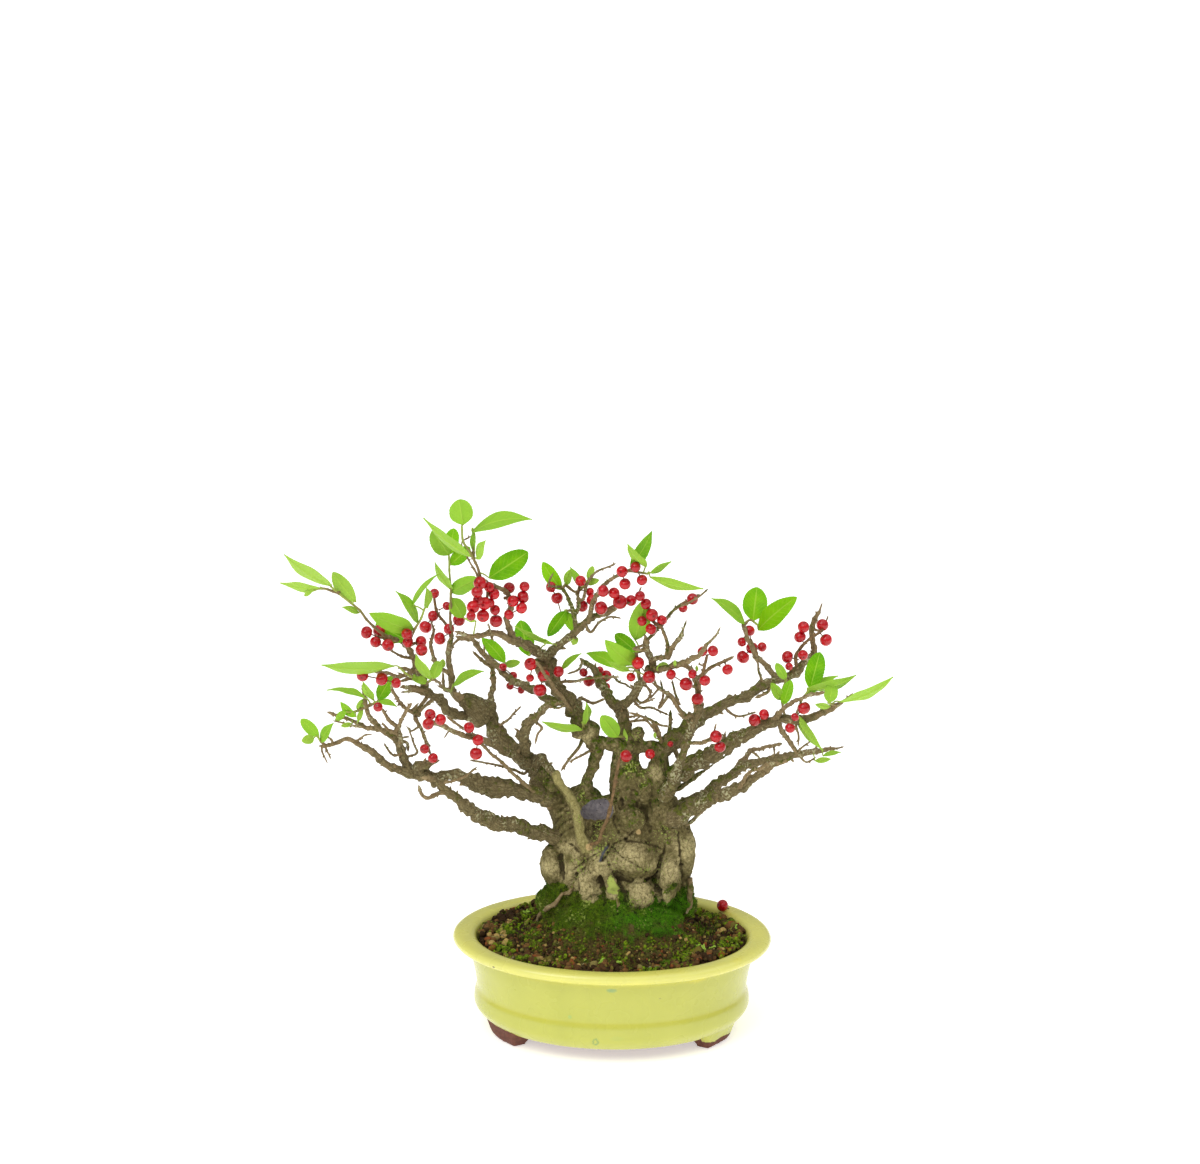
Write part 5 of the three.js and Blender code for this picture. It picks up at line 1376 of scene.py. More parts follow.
def bark_grain():
    """Old bark: ridges that run with the wood, fine cracks and pores."""
    def build(tree, given):
        along = stretched(tree, given["Place"], (1, 1, 0.32))
        ridges = cloud(tree, along, given["Scale"], 5, 0.62)
        fine = cloud(tree, given["Place"], times(tree, given["Scale"], 3.1), 3, 0.6)
        crack = cells(tree, along, times(tree, given["Scale"], 0.8), "DISTANCE_TO_EDGE")
        crack = ranged(tree, crack, 0.0, 0.16)
        height = plus(tree, times(tree, ridges, 0.6), times(tree, fine, 0.3))
        height = plus(tree, height, times(tree, crack, 0.25))
        shade = plus(tree, times(tree, ranged(tree, ridges, 0.3, 0.7), 0.55),
                     times(tree, ranged(tree, fine, 0.35, 0.65), 0.45))
        shade = times(tree, shade, ranged(tree, crack, 0, 1, 0.6, 1), True)
        return {"Height": height, "Shade": shade}

    return group("Bark grain", {"Place": NOWHERE, "Scale": 0.8}, {"Height": VALUE, "Shade": VALUE}, build)


def growth():
    """Moss, algae and lichen over a colour, each where its own mask is."""
    def build(tree, given):
        patch = cloud(tree, given["Place"], 0.34, 4, 0.65)
        fine = cloud(tree, given["Place"], 1.9, 3, 0.7)
        wet = plus(tree, given["Moss"], ranged(tree, patch, 0.3, 0.7, -0.45, 0.45))
        wet = ranged(tree, plus(tree, wet, ranged(tree, fine, 0.3, 0.7, -0.15, 0.15)), 0.35, 0.62)
        uneven = plus(tree, fine, cloud(tree, given["Place"], 0.5, 3, 0.6))
        green = mix(tree, ranged(tree, uneven, 0.84, 1.16), given["Moss dark"], given["Moss light"])
        colour = mix(tree, wet, given["Colour"], green)
        crust = cloud(tree, given["Place"], 0.8, 2, 0.5)
        crust = plus(tree, given["Lichen"], ranged(tree, crust, 0.36, 0.64, -0.5, 0.3))
        crust = ranged(tree, plus(tree, crust, ranged(tree, fine, 0.3, 0.7, -0.2, 0.2)), 0.36, 0.6)
        colour = mix(tree, crust, colour, given["Lichen colour"])
        return {"Colour": colour, "Height": times(tree, sums(tree, "MAXIMUM", wet, crust), fine)}

    return group("Growth", {"Place": NOWHERE, "Colour": (0.2, 0.2, 0.2, 1.0), "Moss": 0.0,
                            "Moss dark": (0.02, 0.06, 0.005, 1.0), "Moss light": (0.1, 0.2, 0.01, 1.0),
                            "Lichen": 0.0, "Lichen colour": (0.4, 0.42, 0.3, 1.0)},
                 {"Colour": COLOUR, "Height": VALUE}, build)


def material(name, build, rough, **constants):
    """A material of one Principled BSDF. `build` gives the sockets that vary over the surface."""
    made = bpy.data.materials.new(name)
    made.use_nodes = True
    tree = made.node_tree
    tree.nodes.clear()
    constants = {key.replace("_", " "): value for key, value in constants.items()}
    shader = put(tree, "BsdfPrincipled", {"Roughness": rough, **constants})
    output = put(tree, "OutputMaterial")
    tree.links.new(shader.outputs[0], output.inputs[0])
    varied = build(tree)
    height = varied.pop("Height", None)
    if height is not None:
        socket, distance, strength = height
        bump = put(tree, "Bump", {"Height": socket, "Distance": distance, "Strength": strength})
        tree.links.new(bump.outputs[0], shader.inputs["Normal"])
    for key, socket in varied.items():
        tree.links.new(socket, shader.inputs[key])
    return made


# ---------------------------------------------------------------------------
# The pieces' meshes
# ---------------------------------------------------------------------------

def rounded(profile, step):
    """A profile's points evenly along a smooth curve through it."""
    curve = Curve(np.column_stack([profile, np.zeros(len(profile))]))
    count = int(curve.length / step)
    return curve.even(np.linspace(0, 1, count + 1))[:, :2]


def pot_mesh():
    """The oval bowl with its rolled lip, band, feet and drain holes."""
    profile = np.vstack([rounded(POT_OUTSIDE, 1.1), rounded(POT_INSIDE, 1.6)])
    profile[0, 0] = profile[-1, 0] = 0.02
    turn = np.arange(POT_SIDES) / POT_SIDES * 2 * math.pi
    ring = np.stack([np.cos(turn), np.sin(turn) * OVAL], axis=1)
    heights = np.repeat(profile[:, None, 1:], POT_SIDES, 1)
    points = np.concatenate([profile[:, None, :1] * ring[None], heights], axis=2).reshape(-1, 3)
    out = np.tile(np.stack([np.cos(turn), np.sin(turn), 0 * turn], axis=1), (len(profile), 1))
    hand = lumps(points, 34, 3) * 0.20 + lumps(points, 11, 4) * 0.015
    points = points + out * (hand * np.clip(np.repeat(profile[:, 0], POT_SIDES) / 40, 0, 1))[:, None]
    points[:, 2] += lumps(points, 26, 8) * 0.14 * (points[:, 2] > LIP_FROM)
    mesh = Mesh()
    mesh.add(points, loops(len(profile), POT_SIDES))
    bowl = linked("bowl", mesh)
    drains = Mesh()
    for side in (-1, 1):
        rod(drains, np.array([(side * DRAIN_APART / 2, 0, z) for z in (2.0, 8.0, 14.0)]),
            np.full(3, DRAIN_WIDE / 2), 32)
    cutter = linked("drains", drains)
    cut = bowl.modifiers.new("Drains", "BOOLEAN")
    cut.object = cutter
    cut.operation = "DIFFERENCE"
    cut.solver = "EXACT"
    points, faces, _ = worked(bowl, cutter)
    centre = np.array([points[list(f)].mean(axis=0) for f in faces])
    across = np.hypot(centre[:, 0], centre[:, 1] / OVAL)
    bare = ((across < BARE_ACROSS) | ((centre[:, 2] < WIPED_HIGH) & (across < WIPED_ACROSS)) |
            ((centre[:, 2] > INSIDE_LOW) & (centre[:, 2] < INSIDE_HIGH) & (across < WALL_ACROSS))).astype(int)
    across = np.hypot(points[:, 0], points[:, 1] / OVAL)
    high = points[:, 2]
    pool = sum(fade(np.abs(high - middle), 0.3, reach) * (across > WALL_ACROSS) for middle, reach in POOLS)
    whole = Mesh()
    # Masks for the lip, the glaze's pools, and the band round the lip's outer edge that gets a painted
    # highlight
    whole.add(points, faces, bare, pool=pool, lip=np.clip((high - LIP_FROM) / 1.2, 0, 1),
              edge=fade(np.abs(high - LIP_EDGE), 0.3, 1.7) * (across > LIP_ACROSS))
    for side in (-1, 1):
        for front in (-1, 1):
            foot_on(whole, side, front)
    return whole


def foot_on(mesh, side, front):
    """One bracket foot: wide under the wall, drawn in to a small flat sole."""
    source = Mesh()
    points = []
    for i in range(FOOT_STEPS + 1):
        for arc, radius, high in FOOT_SECTION:
            first, span = FOOT_ARCS[arc]
            angle = math.radians(first + span * i / FOOT_STEPS)
            points.append((side * radius * math.cos(angle), front * radius * OVAL * math.sin(angle), high))
    source.add(points, loops(FOOT_STEPS + 1, len(FOOT_SECTION)))
    skin_points, faces, edges = skin(source, 0.75)
    flat = skin_points[:, 2] < 0.6
    skin_points = smoothed(skin_points, edges, 3)
    skin_points[:, 2] = np.where(flat, np.maximum(skin_points[:, 2] * 0.2, 0.0), skin_points[:, 2])
    skin_points[:, :2] += np.stack([lumps(skin_points, 5, 21 + side),
                                    lumps(skin_points, 5, 31 + front)], 1) * 0.25
    skin_points[:, 2] = np.maximum(skin_points[:, 2], 0.0)
    glazed = side > 0
    centre = np.array([skin_points[list(f)].mean(axis=0) for f in faces])
    outer = np.hypot(centre[:, 0], centre[:, 1] / OVAL) > 59.5
    edge = 3.6 + lumps(centre, 6, 55) * 1.2
    slots = np.where(glazed & outer & (centre[:, 2] > edge), 0, 1)
    mesh.add(skin_points, faces, slots)


def soil_mesh():
    """The soil's own body, filling the bowl."""
    sides, rings = 96, 34
    mesh = Mesh()
    share = np.linspace(0.02, 0.985, rings)
    turn = np.arange(sides) / sides * 2 * math.pi
    x = SOIL_ACROSS * share[:, None] * np.cos(turn)
    y = SOIL_ACROSS * OVAL * share[:, None] * np.sin(turn)
    top = np.stack([x, y, soil_height(x, y)], axis=2)
    wall = [np.stack([r * np.cos(turn), r * OVAL * 0.992 * np.sin(turn), 0 * turn + z], axis=1)
            for r, z in SOIL_WALL]
    points = np.concatenate([top.reshape(-1, 3)] + wall)
    mesh.add(points, [f[::-1] for f in loops(rings + len(wall), sides)])
    return mesh


def grain_on(mesh, at, size, draws, green):
    """One grain, squashed and lumpy, with fewer faces where it is a crumb."""
    shape, faces = pebble(1 if size < CRUMB else 2)
    form = shape * (0.75 + 0.5 * draws[:3]) * (1 + 0.34 * lumps(shape, 0.9, int(draws[3] * 9999)))[:, None]
    turn = np.array(Matrix.Rotation(draws[4] * 6.3, 3, Vector(draws[5:8] - 0.5).normalized()))
    mesh.add(form @ turn.T * size + at, faces, tone=draws[8], green=green)


def grains_mesh(across, spacing):
    """Loose grains of baked clay, bark and stone over the soil, each of its own size and shade."""
    mesh = Mesh()
    random = np.random.default_rng(12)
    span = np.arange(-SOIL_ACROSS, SOIL_ACROSS, spacing)
    trunk = seen(*TRUNK_AT)
    for x0 in span:
        for y0 in span[np.abs(span) < SOIL_ACROSS * OVAL]:
            x, y = np.array([x0, y0]) + (random.random(2) - 0.5) * spacing * 0.9
            share = soil_share(x, y)
            inside = math.hypot((x - trunk[0]) / FOOT_ACROSS, (y - 2) / FOOT_DEEP)
            draws = random.random(12)
            if share > 0.995 or inside < 1:
                continue
            fine = inside < 1.45 + 0.3 * draws[0]
            size = across / 2 * (0.5 + 0.95 * draws[1] ** 1.6) * (0.62 if fine else 1)
            lift = size * (0.05 + 0.45 * draws[10])
            at = np.array([x, y, soil_at(x, y) + lift])
            at[2] += 0.9 * fade(1 - share, 0.04, 0.16)
            at[:2] /= max(1.0, math.hypot(x / (SOIL_ACROSS + 0.4 - size),
                                          y / (SOIL_ACROSS * OVAL + 0.1 - size)))
            grain_on(mesh, at, size, draws[2:], 0.5 + 0.5 * lumps(at[None], 9, 77)[0])
    return mesh


def slope_grains(mesh, trunk, out):
    """Grains and crumbs that lie on the trunk's foot, fewer toward its top."""
    random = np.random.default_rng(13)
    points = np.vstack(trunk.points)
    height = points[:, 2] - SOIL_HIGH
    weight = fade(height, 3, 13) * (height > 0.5) * (out[:, 2] > -0.1)
    for i in random.choice(len(points), SLOPE_GRAINS, p=weight / weight.sum()):
        draws = random.random(10)
        size = 0.3 + 0.85 * draws[9] ** 2
        grain_on(mesh, points[i] + out[i] * size * 0.2, size, draws,
                 0.6 + 0.5 * lumps(points[i][None], 5, 78)[0])


def spike(mesh, root, direction, long, wide, **masks):
    """A moss leaf: three sides, drawn to a point."""
    side = unit(np.cross(direction, (0.3, 0.9, 0.1)))
    other = np.cross(direction, side)
    back = root - side * wide * 0.5
    base = [root + side * wide, back + other * wide, back - other * wide]
    mesh.add(np.array(base + [root + direction * long]), [(0, 1, 3), (1, 2, 3), (2, 0, 3), (2, 1, 0)],
             **masks)


def route_points(curve, step):
    """Even points in millimetres along a drawn curve."""
    path = seen(*np.moveaxis(curve.even(np.linspace(0, 1, 60)) * (1, 1, GRID), 1, 0))
    length = np.linalg.norm(np.diff(path, axis=0), axis=1).sum()
    share = np.linspace(0, 1, max(5, int(length / step) + 1))
    return seen(*np.moveaxis(curve.even(share) * (1, 1, GRID), 1, 0)), share


def wood_tube(mesh, curve, widths, seed, flare, rough, bend):
    """A branch along its route, with knots, buds' swellings and a spreading foot."""
    widest = max(widths) * GRID / 2
    step = min(max(widest * 0.3, 0.42), 0.85)
    path, share = route_points(curve, step)
    radii = spaced(widths, share) * GRID / 2
    run = run_along(path)
    hold = np.clip(run / 6, 0, 1)[:, None]
    wobble = np.stack([lumps(path, 6.5, seed + k) for k in range(3)], axis=1)
    path = path + wobble * hold * bend * np.minimum(radii, 1.4)[:, None]
    random = np.random.default_rng(seed)
    marks = np.cumsum(3.0 + 4.5 * random.random(200))
    marks = marks[marks < run[-1]]
    for at, size in zip(marks, random.random(len(marks))):
        radii = radii * (1 + (0.12 + 0.30 * size) * np.exp(-((run - at) / (0.35 + 0.35 * radii)) ** 2))
    radii = radii * (1 + flare * np.exp(-run / (widest * 1.3)))
    left = run[-1] - run
    radii = radii * np.sqrt(np.clip(1 - (1 - np.clip(left / np.maximum(radii, 0.3), 0, 1)) ** 2, 0.12, 1))
    sides = int(np.clip(round(widest * 6.5), 8, 26))
    points, along, turn = tube(path, radii, sides, rough, max(0.9, widest * 0.42), seed)
    wide = np.repeat(radii, sides)
    grain = np.stack([np.cos(turn) * wide, np.sin(turn) * wide, along], axis=1) + seed * 3.1
    mesh.add(points, loops(len(path), sides), grain=grain, twig=fade(wide, 0.75, 2.3))
    return path, radii


def bud(mesh, at, direction, size, slot=0, **masks):
    """A small pointed bud."""
    shape, faces = ball(6, 4)
    form = shape * (size * 0.5, size * 0.5, size)
    form[0, 2] *= 1.35
    mesh.add(form @ turned_to(direction).T + at, faces, slot, **masks)


def buds_along(mesh, path, radii, random, every, slot=0):
    """Buds on the thin part of a twig, and short dead spurs where it is thicker."""
    thin = 1.7
    along = np.gradient(path, axis=0)
    run = run_along(path)
    at = 2.5
    while at < run[-1]:
        i = int(np.searchsorted(run, at))
        draws = random.random(5)
        if i < len(path) - 1:
            side = np.cross(along[i], draws[:3] - 0.5)
            side /= max(np.linalg.norm(side), 1e-6)
            lean = side + along[i] / np.linalg.norm(along[i]) * 0.7
            size = 0.55 + 0.45 * draws[3] if radii[i] < thin else 0.8 + 1.1 * draws[3]
            bud(mesh, path[i] + side * radii[i] * 0.85, lean, size, slot, twig=0.7, grain=path[i])
        at += every * (0.5 + draws[4])
    bud(mesh, path[-1], along[-1], max(0.6, radii[-3] * 1.3), slot, twig=0.9, grain=path[-1])


def with_moss(mesh, algae):
    """Masks for what grows on the upper side of a branch."""
    points = np.vstack(mesh.points)
    up = outward(points, [f for f in mesh.faces if len(f) in (3, 4)])[:, 2]
    near = fade(np.hypot(points[:, 0] - 4, points[:, 1]), 22, 95)
    moss = algae * (0.25 + 0.75 * near) * np.clip(0.35 + 0.75 * up, 0, 1) + 0.28 * lumps(points, 9, 61)
    lichen = 0.06 + 0.42 * lumps(points, 6, 62)
    mesh.masks["moss"] = [np.clip(moss, 0, 1)]
    mesh.masks["lichen"] = [np.clip(lichen, 0, 1)]
    return mesh


def knob(mesh, centre, size, seed):
    """A lumpy knob of healed wood."""
    shape, faces = ball(20, 12)
    form = shape * (1 + 0.28 * lumps(shape, 0.7, seed, 2))[:, None] * size
    mesh.add(form + centre, faces, grain=form + centre)


def limb_mesh(routes, seed):
    """A limb with its twigs and buds."""
    mesh = Mesh()
    random = np.random.default_rng(seed)
    for number, (curve, widths) in enumerate(routes):
        path, radii = wood_tube(mesh, curve, widths, seed * 40 + number, flare=0.3 if number else 0.16,
                                rough=0.22 if max(widths) > 9 else 0.16, bend=0.55)
        buds_along(mesh, path, radii, random, 4.5)
    return mesh


def trunk_form():
    """The trunk's lobes and columns, the first part of each limb, and its burrs, each through the others."""
    given = plan()
    source = Mesh()
    shape, faces = ball(40, 20)
    for centre, across, deep, high, lean in given.lobes:
        form = shape * (across, deep, high)
        tilt = math.radians(lean)
        form = np.stack([form[:, 0] * math.cos(tilt) + form[:, 2] * math.sin(tilt), form[:, 1],
                         form[:, 2] * math.cos(tilt) - form[:, 0] * math.sin(tilt)], axis=1)
        source.add(form + centre, faces)
    for curve, widths in given.columns:
        path, share = route_points(curve, 1.0)
        rod(source, path, spaced(widths, share) * GRID / 2 * 1.02, 24)
    for routes in given.limbs.values():
        curve, widths = routes[0]
        path, share = route_points(curve, 1.0)
        path, share = path[:12], share[:12]
        radii = spaced(widths, share) * GRID / 2 * (1.12 + 0.25 * np.exp(-np.arange(len(path)) / 4))
        rod(source, path, radii * np.linspace(1, 0.72, len(path)), 20)
    for column, row, size, depth in BURRS:
        points, faces = ball(20, 12)
        source.add(points * size * GRID + seen(column, row, depth), faces)
    return source


def drawn_side(points, out):
    """1 on the trunk's drawn side, going down to 0 on the side that is guessed."""
    to_eye = EYE - points
    to_eye /= np.linalg.norm(to_eye, axis=1)[:, None]
    return fade(-(out * to_eye).sum(axis=1), -0.3, -0.02)


def cleft_depth(points, front):
    """How deep the clefts are at each point: those drawn on the front, and guessed ones behind."""
    gap = np.abs(lumps(points * (1, 1, 0.7), 8.5, 47))
    deep = fade(gap, 0.02, 0.14) * 0.8 * (1 - front)
    column, row = drawn_at(points)
    for line, width, depth in CLEFTS:
        deep = deep + fade(near_line(column, row, line), width * 0.12, width * 0.75) * depth * 0.72 * front
    return deep


def trunk_masks(points, out, drawn, front, foot, smooth):
    """Where the trunk is mossy, pale, earthy, grown with lichen, or cut, and the patch of moss that gets a
    painted highlight.
    """
    column, row = drawn
    height = points[:, 2] - SOIL_HIGH
    moss = foot * 0.95 + 0.22 * fade(height, 20, 50) + 0.14 * out[:, 2] + 0.16 * lumps(points, 9, 63)
    moss = moss + 0.25 * fade(np.hypot(column - KNOT[0], row - KNOT[1]), 4, 9) * front
    moss = moss + 0.35 * fade(-row, -790, -815) * fade(-out[:, 2], -0.1, 0.3)
    pale = spots(column, row, PALE, 0.4, 1.6, lumps(points, 4.5, 64, 2) * 5) * front
    pale = pale + 0.5 * fade(height, 8, 30) * (1 - front) * (0.5 + 0.5 * lumps(points, 9, 66))
    pale = np.clip(pale, 0, 1)
    moss = moss - 0.8 * pale - 0.5 * smooth
    uneven = lumps(points * (1, 1, 0.8), 9, 69, 2) * 4.5 + lumps(points, 3, 70) * 2.5
    earth = fade(height + uneven, 6, 15)
    # Painted highlight: a patch of the foot's moss, right of the middle and low down, marked to be painted
    # brighter green as if lit
    bright = fade(np.abs(column - 650 + uneven * 2), 20, 60) * fade(np.abs(height - 15 + uneven), 2, 13)
    moss = moss - 0.72 * earth
    lichen = 0.02 + spots(column, row, LICHEN, 0.5, 1.3) * front + 0.3 * lumps(points, 8, 67)
    cut = spots(column, row, CUT_ENDS, 0.55, 1) * front
    blue = fade(near_line(column, row, BLUE), 0.5, 1.5) * front
    return {"moss": np.clip(moss, 0, 1), "pale": pale, "lichen": np.clip(lichen, 0, 1),
            "cut": np.clip(cut, 0, 1), "blue": blue, "earth": earth, "bright": bright}


@lru_cache(maxsize=1)
def trunk_mesh(voxel):
    """The trunk under one skin, worked with clefts and crumbs of bark, and which way is out on it."""
    points, faces, edges = skin(trunk_form(), voxel)
    points = smoothed(points, edges, 5)
    out = outward(points, faces)
    points = points + out * (lumps(points, 11, 41, 2) * 0.95 + lumps(points, 4.2, 43, 2) * 0.5)[:, None]
    front = drawn_side(points, out)
    deep = cleft_depth(points, front)
    points = smoothed(points - out * deep[:, None], edges, 1, 0.35)
    out = outward(points, faces)
    column, row = drawn_at(points)
    smooth = fade(near_line(column, row, SMOOTH), 4.2, 5.6) * front
    foot = fade(points[:, 2] - SOIL_HIGH + 5 * lumps(points, 5, 68), 21, 33)
    ridge = 1 - np.abs(lumps(points * (1, 1, 0.75), 2.3, 53, 2))
    clump = (lumps(points, 3.2, 60, 2) * 0.9 + lumps(points * (1, 1, 0.35), 3.0, 62) * 0.8 +
             lumps(points, 1.6, 61) * 0.4)
    crumb = (ridge - 0.6) * 0.42 + lumps(points, 1.25, 59) * 0.22 + foot * clump
    points = points + out * (crumb * (1 - 0.75 * smooth))[:, None]
    seal = fade(near_line(column, row, SEAL), 6, 9) * front * (row < 820.5)
    points = np.where(seal[:, None] > 0.5, smoothed(points, edges, 6), points)
    out = outward(points, faces)
    # How far each point stands out from its smoothed surface: ridges are painted paler (wear and painted
    # highlight), hollows darker (painted shade)
    worn = ((points - smoothed(points, edges, 7)) * out).sum(axis=1)
    warp = np.stack([lumps(points, 3, k) for k in (1, 2, 3)], 1)
    mesh = Mesh()
    mesh.add(points, faces, grain=points * (1, 1, 2.4) + 0.8 * warp, worn=np.clip(0.5 + worn * 1.1, 0, 1),
             deep=np.clip(deep / 1.6, 0, 1), seal=np.clip(seal, 0, 1), smooth=smooth,
             **trunk_masks(points, out, (column, row), front, foot, smooth))
    return mesh, out


# A leaf's outline: shares of its length, the width there when pointed and when blunt, and the places
# across it that carry points
WIDTH_AT = (0, 0.04, 0.1, 0.2, 0.3, 0.4, 0.5, 0.6, 0.7, 0.8, 0.88, 0.94, 1)
POINTED = (0.07, 0.22, 0.46, 0.76, 0.94, 1.0, 0.98, 0.89, 0.72, 0.48, 0.27, 0.13, 0.015)
BLUNT = (0.07, 0.24, 0.50, 0.79, 0.93, 1.0, 1.0, 0.97, 0.90, 0.76, 0.59, 0.41, 0.08)
ACROSS = (-1, -0.8, -0.56, -0.3, -0.08, 0, 0.08, 0.3, 0.56, 0.8, 1.0)


def leaf_on(mesh, blade, tooth, random, pale=0.0):
    """A thin blade with a folded midrib, raised fields between its veins, waves and a toothed edge."""
    draws = random.random(8)
    steps = int(np.clip(blade.long / 0.5, 14, 64))
    share = np.linspace(0, 1, steps + 1)
    spread = np.array(ACROSS)
    outline = np.array(POINTED) + (np.array(BLUNT) - POINTED) * blade.blunt
    half = np.interp(share, WIDTH_AT, outline) * blade.broad / 2
    phase = share * blade.long / tooth
    saw = (phase % 1) - 0.35
    half = half + saw * min(0.26, blade.broad * 0.035) * np.sin(math.pi * share) ** 0.5
    half = np.maximum(half, 0.12)
    top = blade.normal * (1 if blade.normal[2] > 0 else -1)
    twist = (draws[0] - 0.5) * 0.26 * (share - 0.3)
    across = blade.across * np.cos(twist)[:, None] + top * np.sin(twist)[:, None]
    rib = share[:, None] * blade.long - np.abs(spread)[None] * half[:, None] * 0.95
    vein = max(1.9, blade.long / 9)
    field = np.cos(rib / vein * 2 * math.pi) * 0.06 * (1 - np.abs(spread) ** 4) * (np.abs(spread) > 0.05)
    fold = np.abs(spread)[None] * half[:, None] * (0.05 + 0.11 * draws[1])
    wave = np.sin((share * (1.4 + draws[2]) + draws[3]) * 2 * math.pi)[:, None] * spread[None] ** 2
    wave = wave * half[:, None] * (0.03 + 0.08 * draws[4]) * np.where(spread < 0, 1, -0.7)[None]
    groove = -0.12 * (np.abs(spread) < 0.04) * np.interp(share, (0, 0.1, 0.9, 1), (0, 1, 0.6, 0))[:, None]
    droop = -(share ** 3)[:, None] * blade.long * 0.05 * draws[5]
    lift = (fold + wave) * (0.25 + 0.75 * blade.open) + field + groove + droop
    centre = blade.midrib(share)
    flat = centre[:, None] + across[:, None] * (spread[None] * half[:, None])[:, :, None]
    upper = flat + top * (lift + 0.12)[:, :, None]
    thin = np.interp(np.abs(spread), (0, 0.06, 0.1, 1), (0.46, 0.30, 0.16, 0.12))
    under = flat + top * (lift - thin)[:, :, None]
    ring = np.concatenate([upper, under[:, ::-1]], axis=1)
    sides = ring.shape[1]
    tile = np.concatenate([spread, spread[::-1]])
    mesh.add(ring.reshape(-1, 3), loops(steps + 1, sides), slot=0,
             rib=np.concatenate([rib, rib[:, ::-1]], axis=1).reshape(-1) / vein,
             side=np.tile(tile, steps + 1),
             under=np.tile(np.repeat([0.0, 1.0], len(spread)), steps + 1),
             tone=draws[6], young=max(pale, 0.9 * fade(blade.long, 6, 15), 0.45 * fade(blade.blunt, 0, 0.3)))
    bend = np.array([0, 0, 0.6]) + top * 0.3
    stem = between(blade.root, blade.base, bend, 6)
    stem = np.vstack([stem, blade.midrib(np.array([0.05]))[0] - top * 0.1])
    rod(mesh, stem, np.linspace(0.42, 0.3, len(stem)), 7, 0.05, slot=1, tone=draws[6])


def shoot_on(mesh, curve, seed):
    """A green stem with low nodes, brown where it leaves the wood."""
    path, share = route_points(curve, 0.8)
    radii = spaced([0.72, 0.6, 0.5], share)
    run = np.arange(len(path)) * 0.8
    radii = radii * (1 + 0.22 * np.exp(-((run % 6.5) - 3) ** 2 / 0.5)) * (1 + 0.5 * np.exp(-run / 1.2))
    wobble = np.stack([lumps(path, 5, seed + k) for k in range(3)], 1)
    path = path + wobble * 0.25 * np.clip(run / 4, 0, 1)[:, None]
    rod(mesh, path, radii, 9, 0.06, 1.0, seed, slot=1, tone=0.5, wooden=np.repeat(fade(share, 0.3, 1.05), 9))


def spray_mesh(stems, blades, tooth, seed, pale):
    """A leafy shoot."""
    mesh = Mesh()
    random = np.random.default_rng(seed)
    for curve in stems:
        shoot_on(mesh, curve, seed)
    for blade in blades:
        leaf_on(mesh, blade, tooth, random, pale)
    return mesh


def berry_on(mesh, centre, radius, stem, random):
    """A berry: a round fruit, dimpled at its stalk, with the dark scar of its flower opposite."""
    shape, faces = ball(22, 15)
    draws = random.random(5)
    tip = -np.asarray(stem, float)
    tip = tip / max(np.linalg.norm(tip), 1e-6) + (draws[:3] - 0.5) * 0.5
    form = shape.copy()
    crown = fade(1 - form[:, 2], 0.004, 0.07)
    form *= (1 - 0.10 * crown - 0.12 * fade(1 + form[:, 2], 0.0, 0.16))[:, None]
    form *= (1 + 0.02 * lumps(shape, 1.3, int(draws[3] * 999)))[:, None] * np.array([1, 1, 0.965])
    mesh.add(form @ turned_to(tip).T * radius + centre, faces, slot=0,
             scar=fade(1 - shape[:, 2], 0.006, 0.03), tone=draws[4])
    bud(mesh, centre + turned_to(tip) @ (0, 0, radius * 0.87), tip, 0.26, scar=1.0)


def stalk_path(root, centre, radius, bend):
    """A stalk from the wood to just inside its berry."""
    path = between(root, centre, bend, 9)
    outside = int((np.linalg.norm(path - centre, axis=1) > radius * 0.75).sum())
    return path[:max(2, outside + 1)]


def bunch_mesh(stems, berries, seed):
    """A bunch of berries with its spur and stalks."""
    mesh = Mesh()
    random = np.random.default_rng(seed)
    for curve in stems:
        path, share = route_points(curve, 0.8)
        radii = spaced([0.8, 0.62], share) * (1 + 0.3 * np.abs(lumps(path, 2.2, seed)))
        rod(mesh, path, radii, 9, 0.12, 0.9, seed, slot=1)
        buds_along(mesh, path, radii, random, 4, slot=1)
    for centre, radius, root, bend in berries:
        path = stalk_path(root, centre, radius, bend)
        last = len(path) - 1
        radii = np.interp(np.arange(last + 1), (0, 1.5, last - 1, last), (0.5, 0.3, 0.3, 0.42))
        rod(mesh, path, radii, 7, 0.05, slot=1)
        berry_on(mesh, centre, radius, path[-2] - path[-1], random)
    return mesh


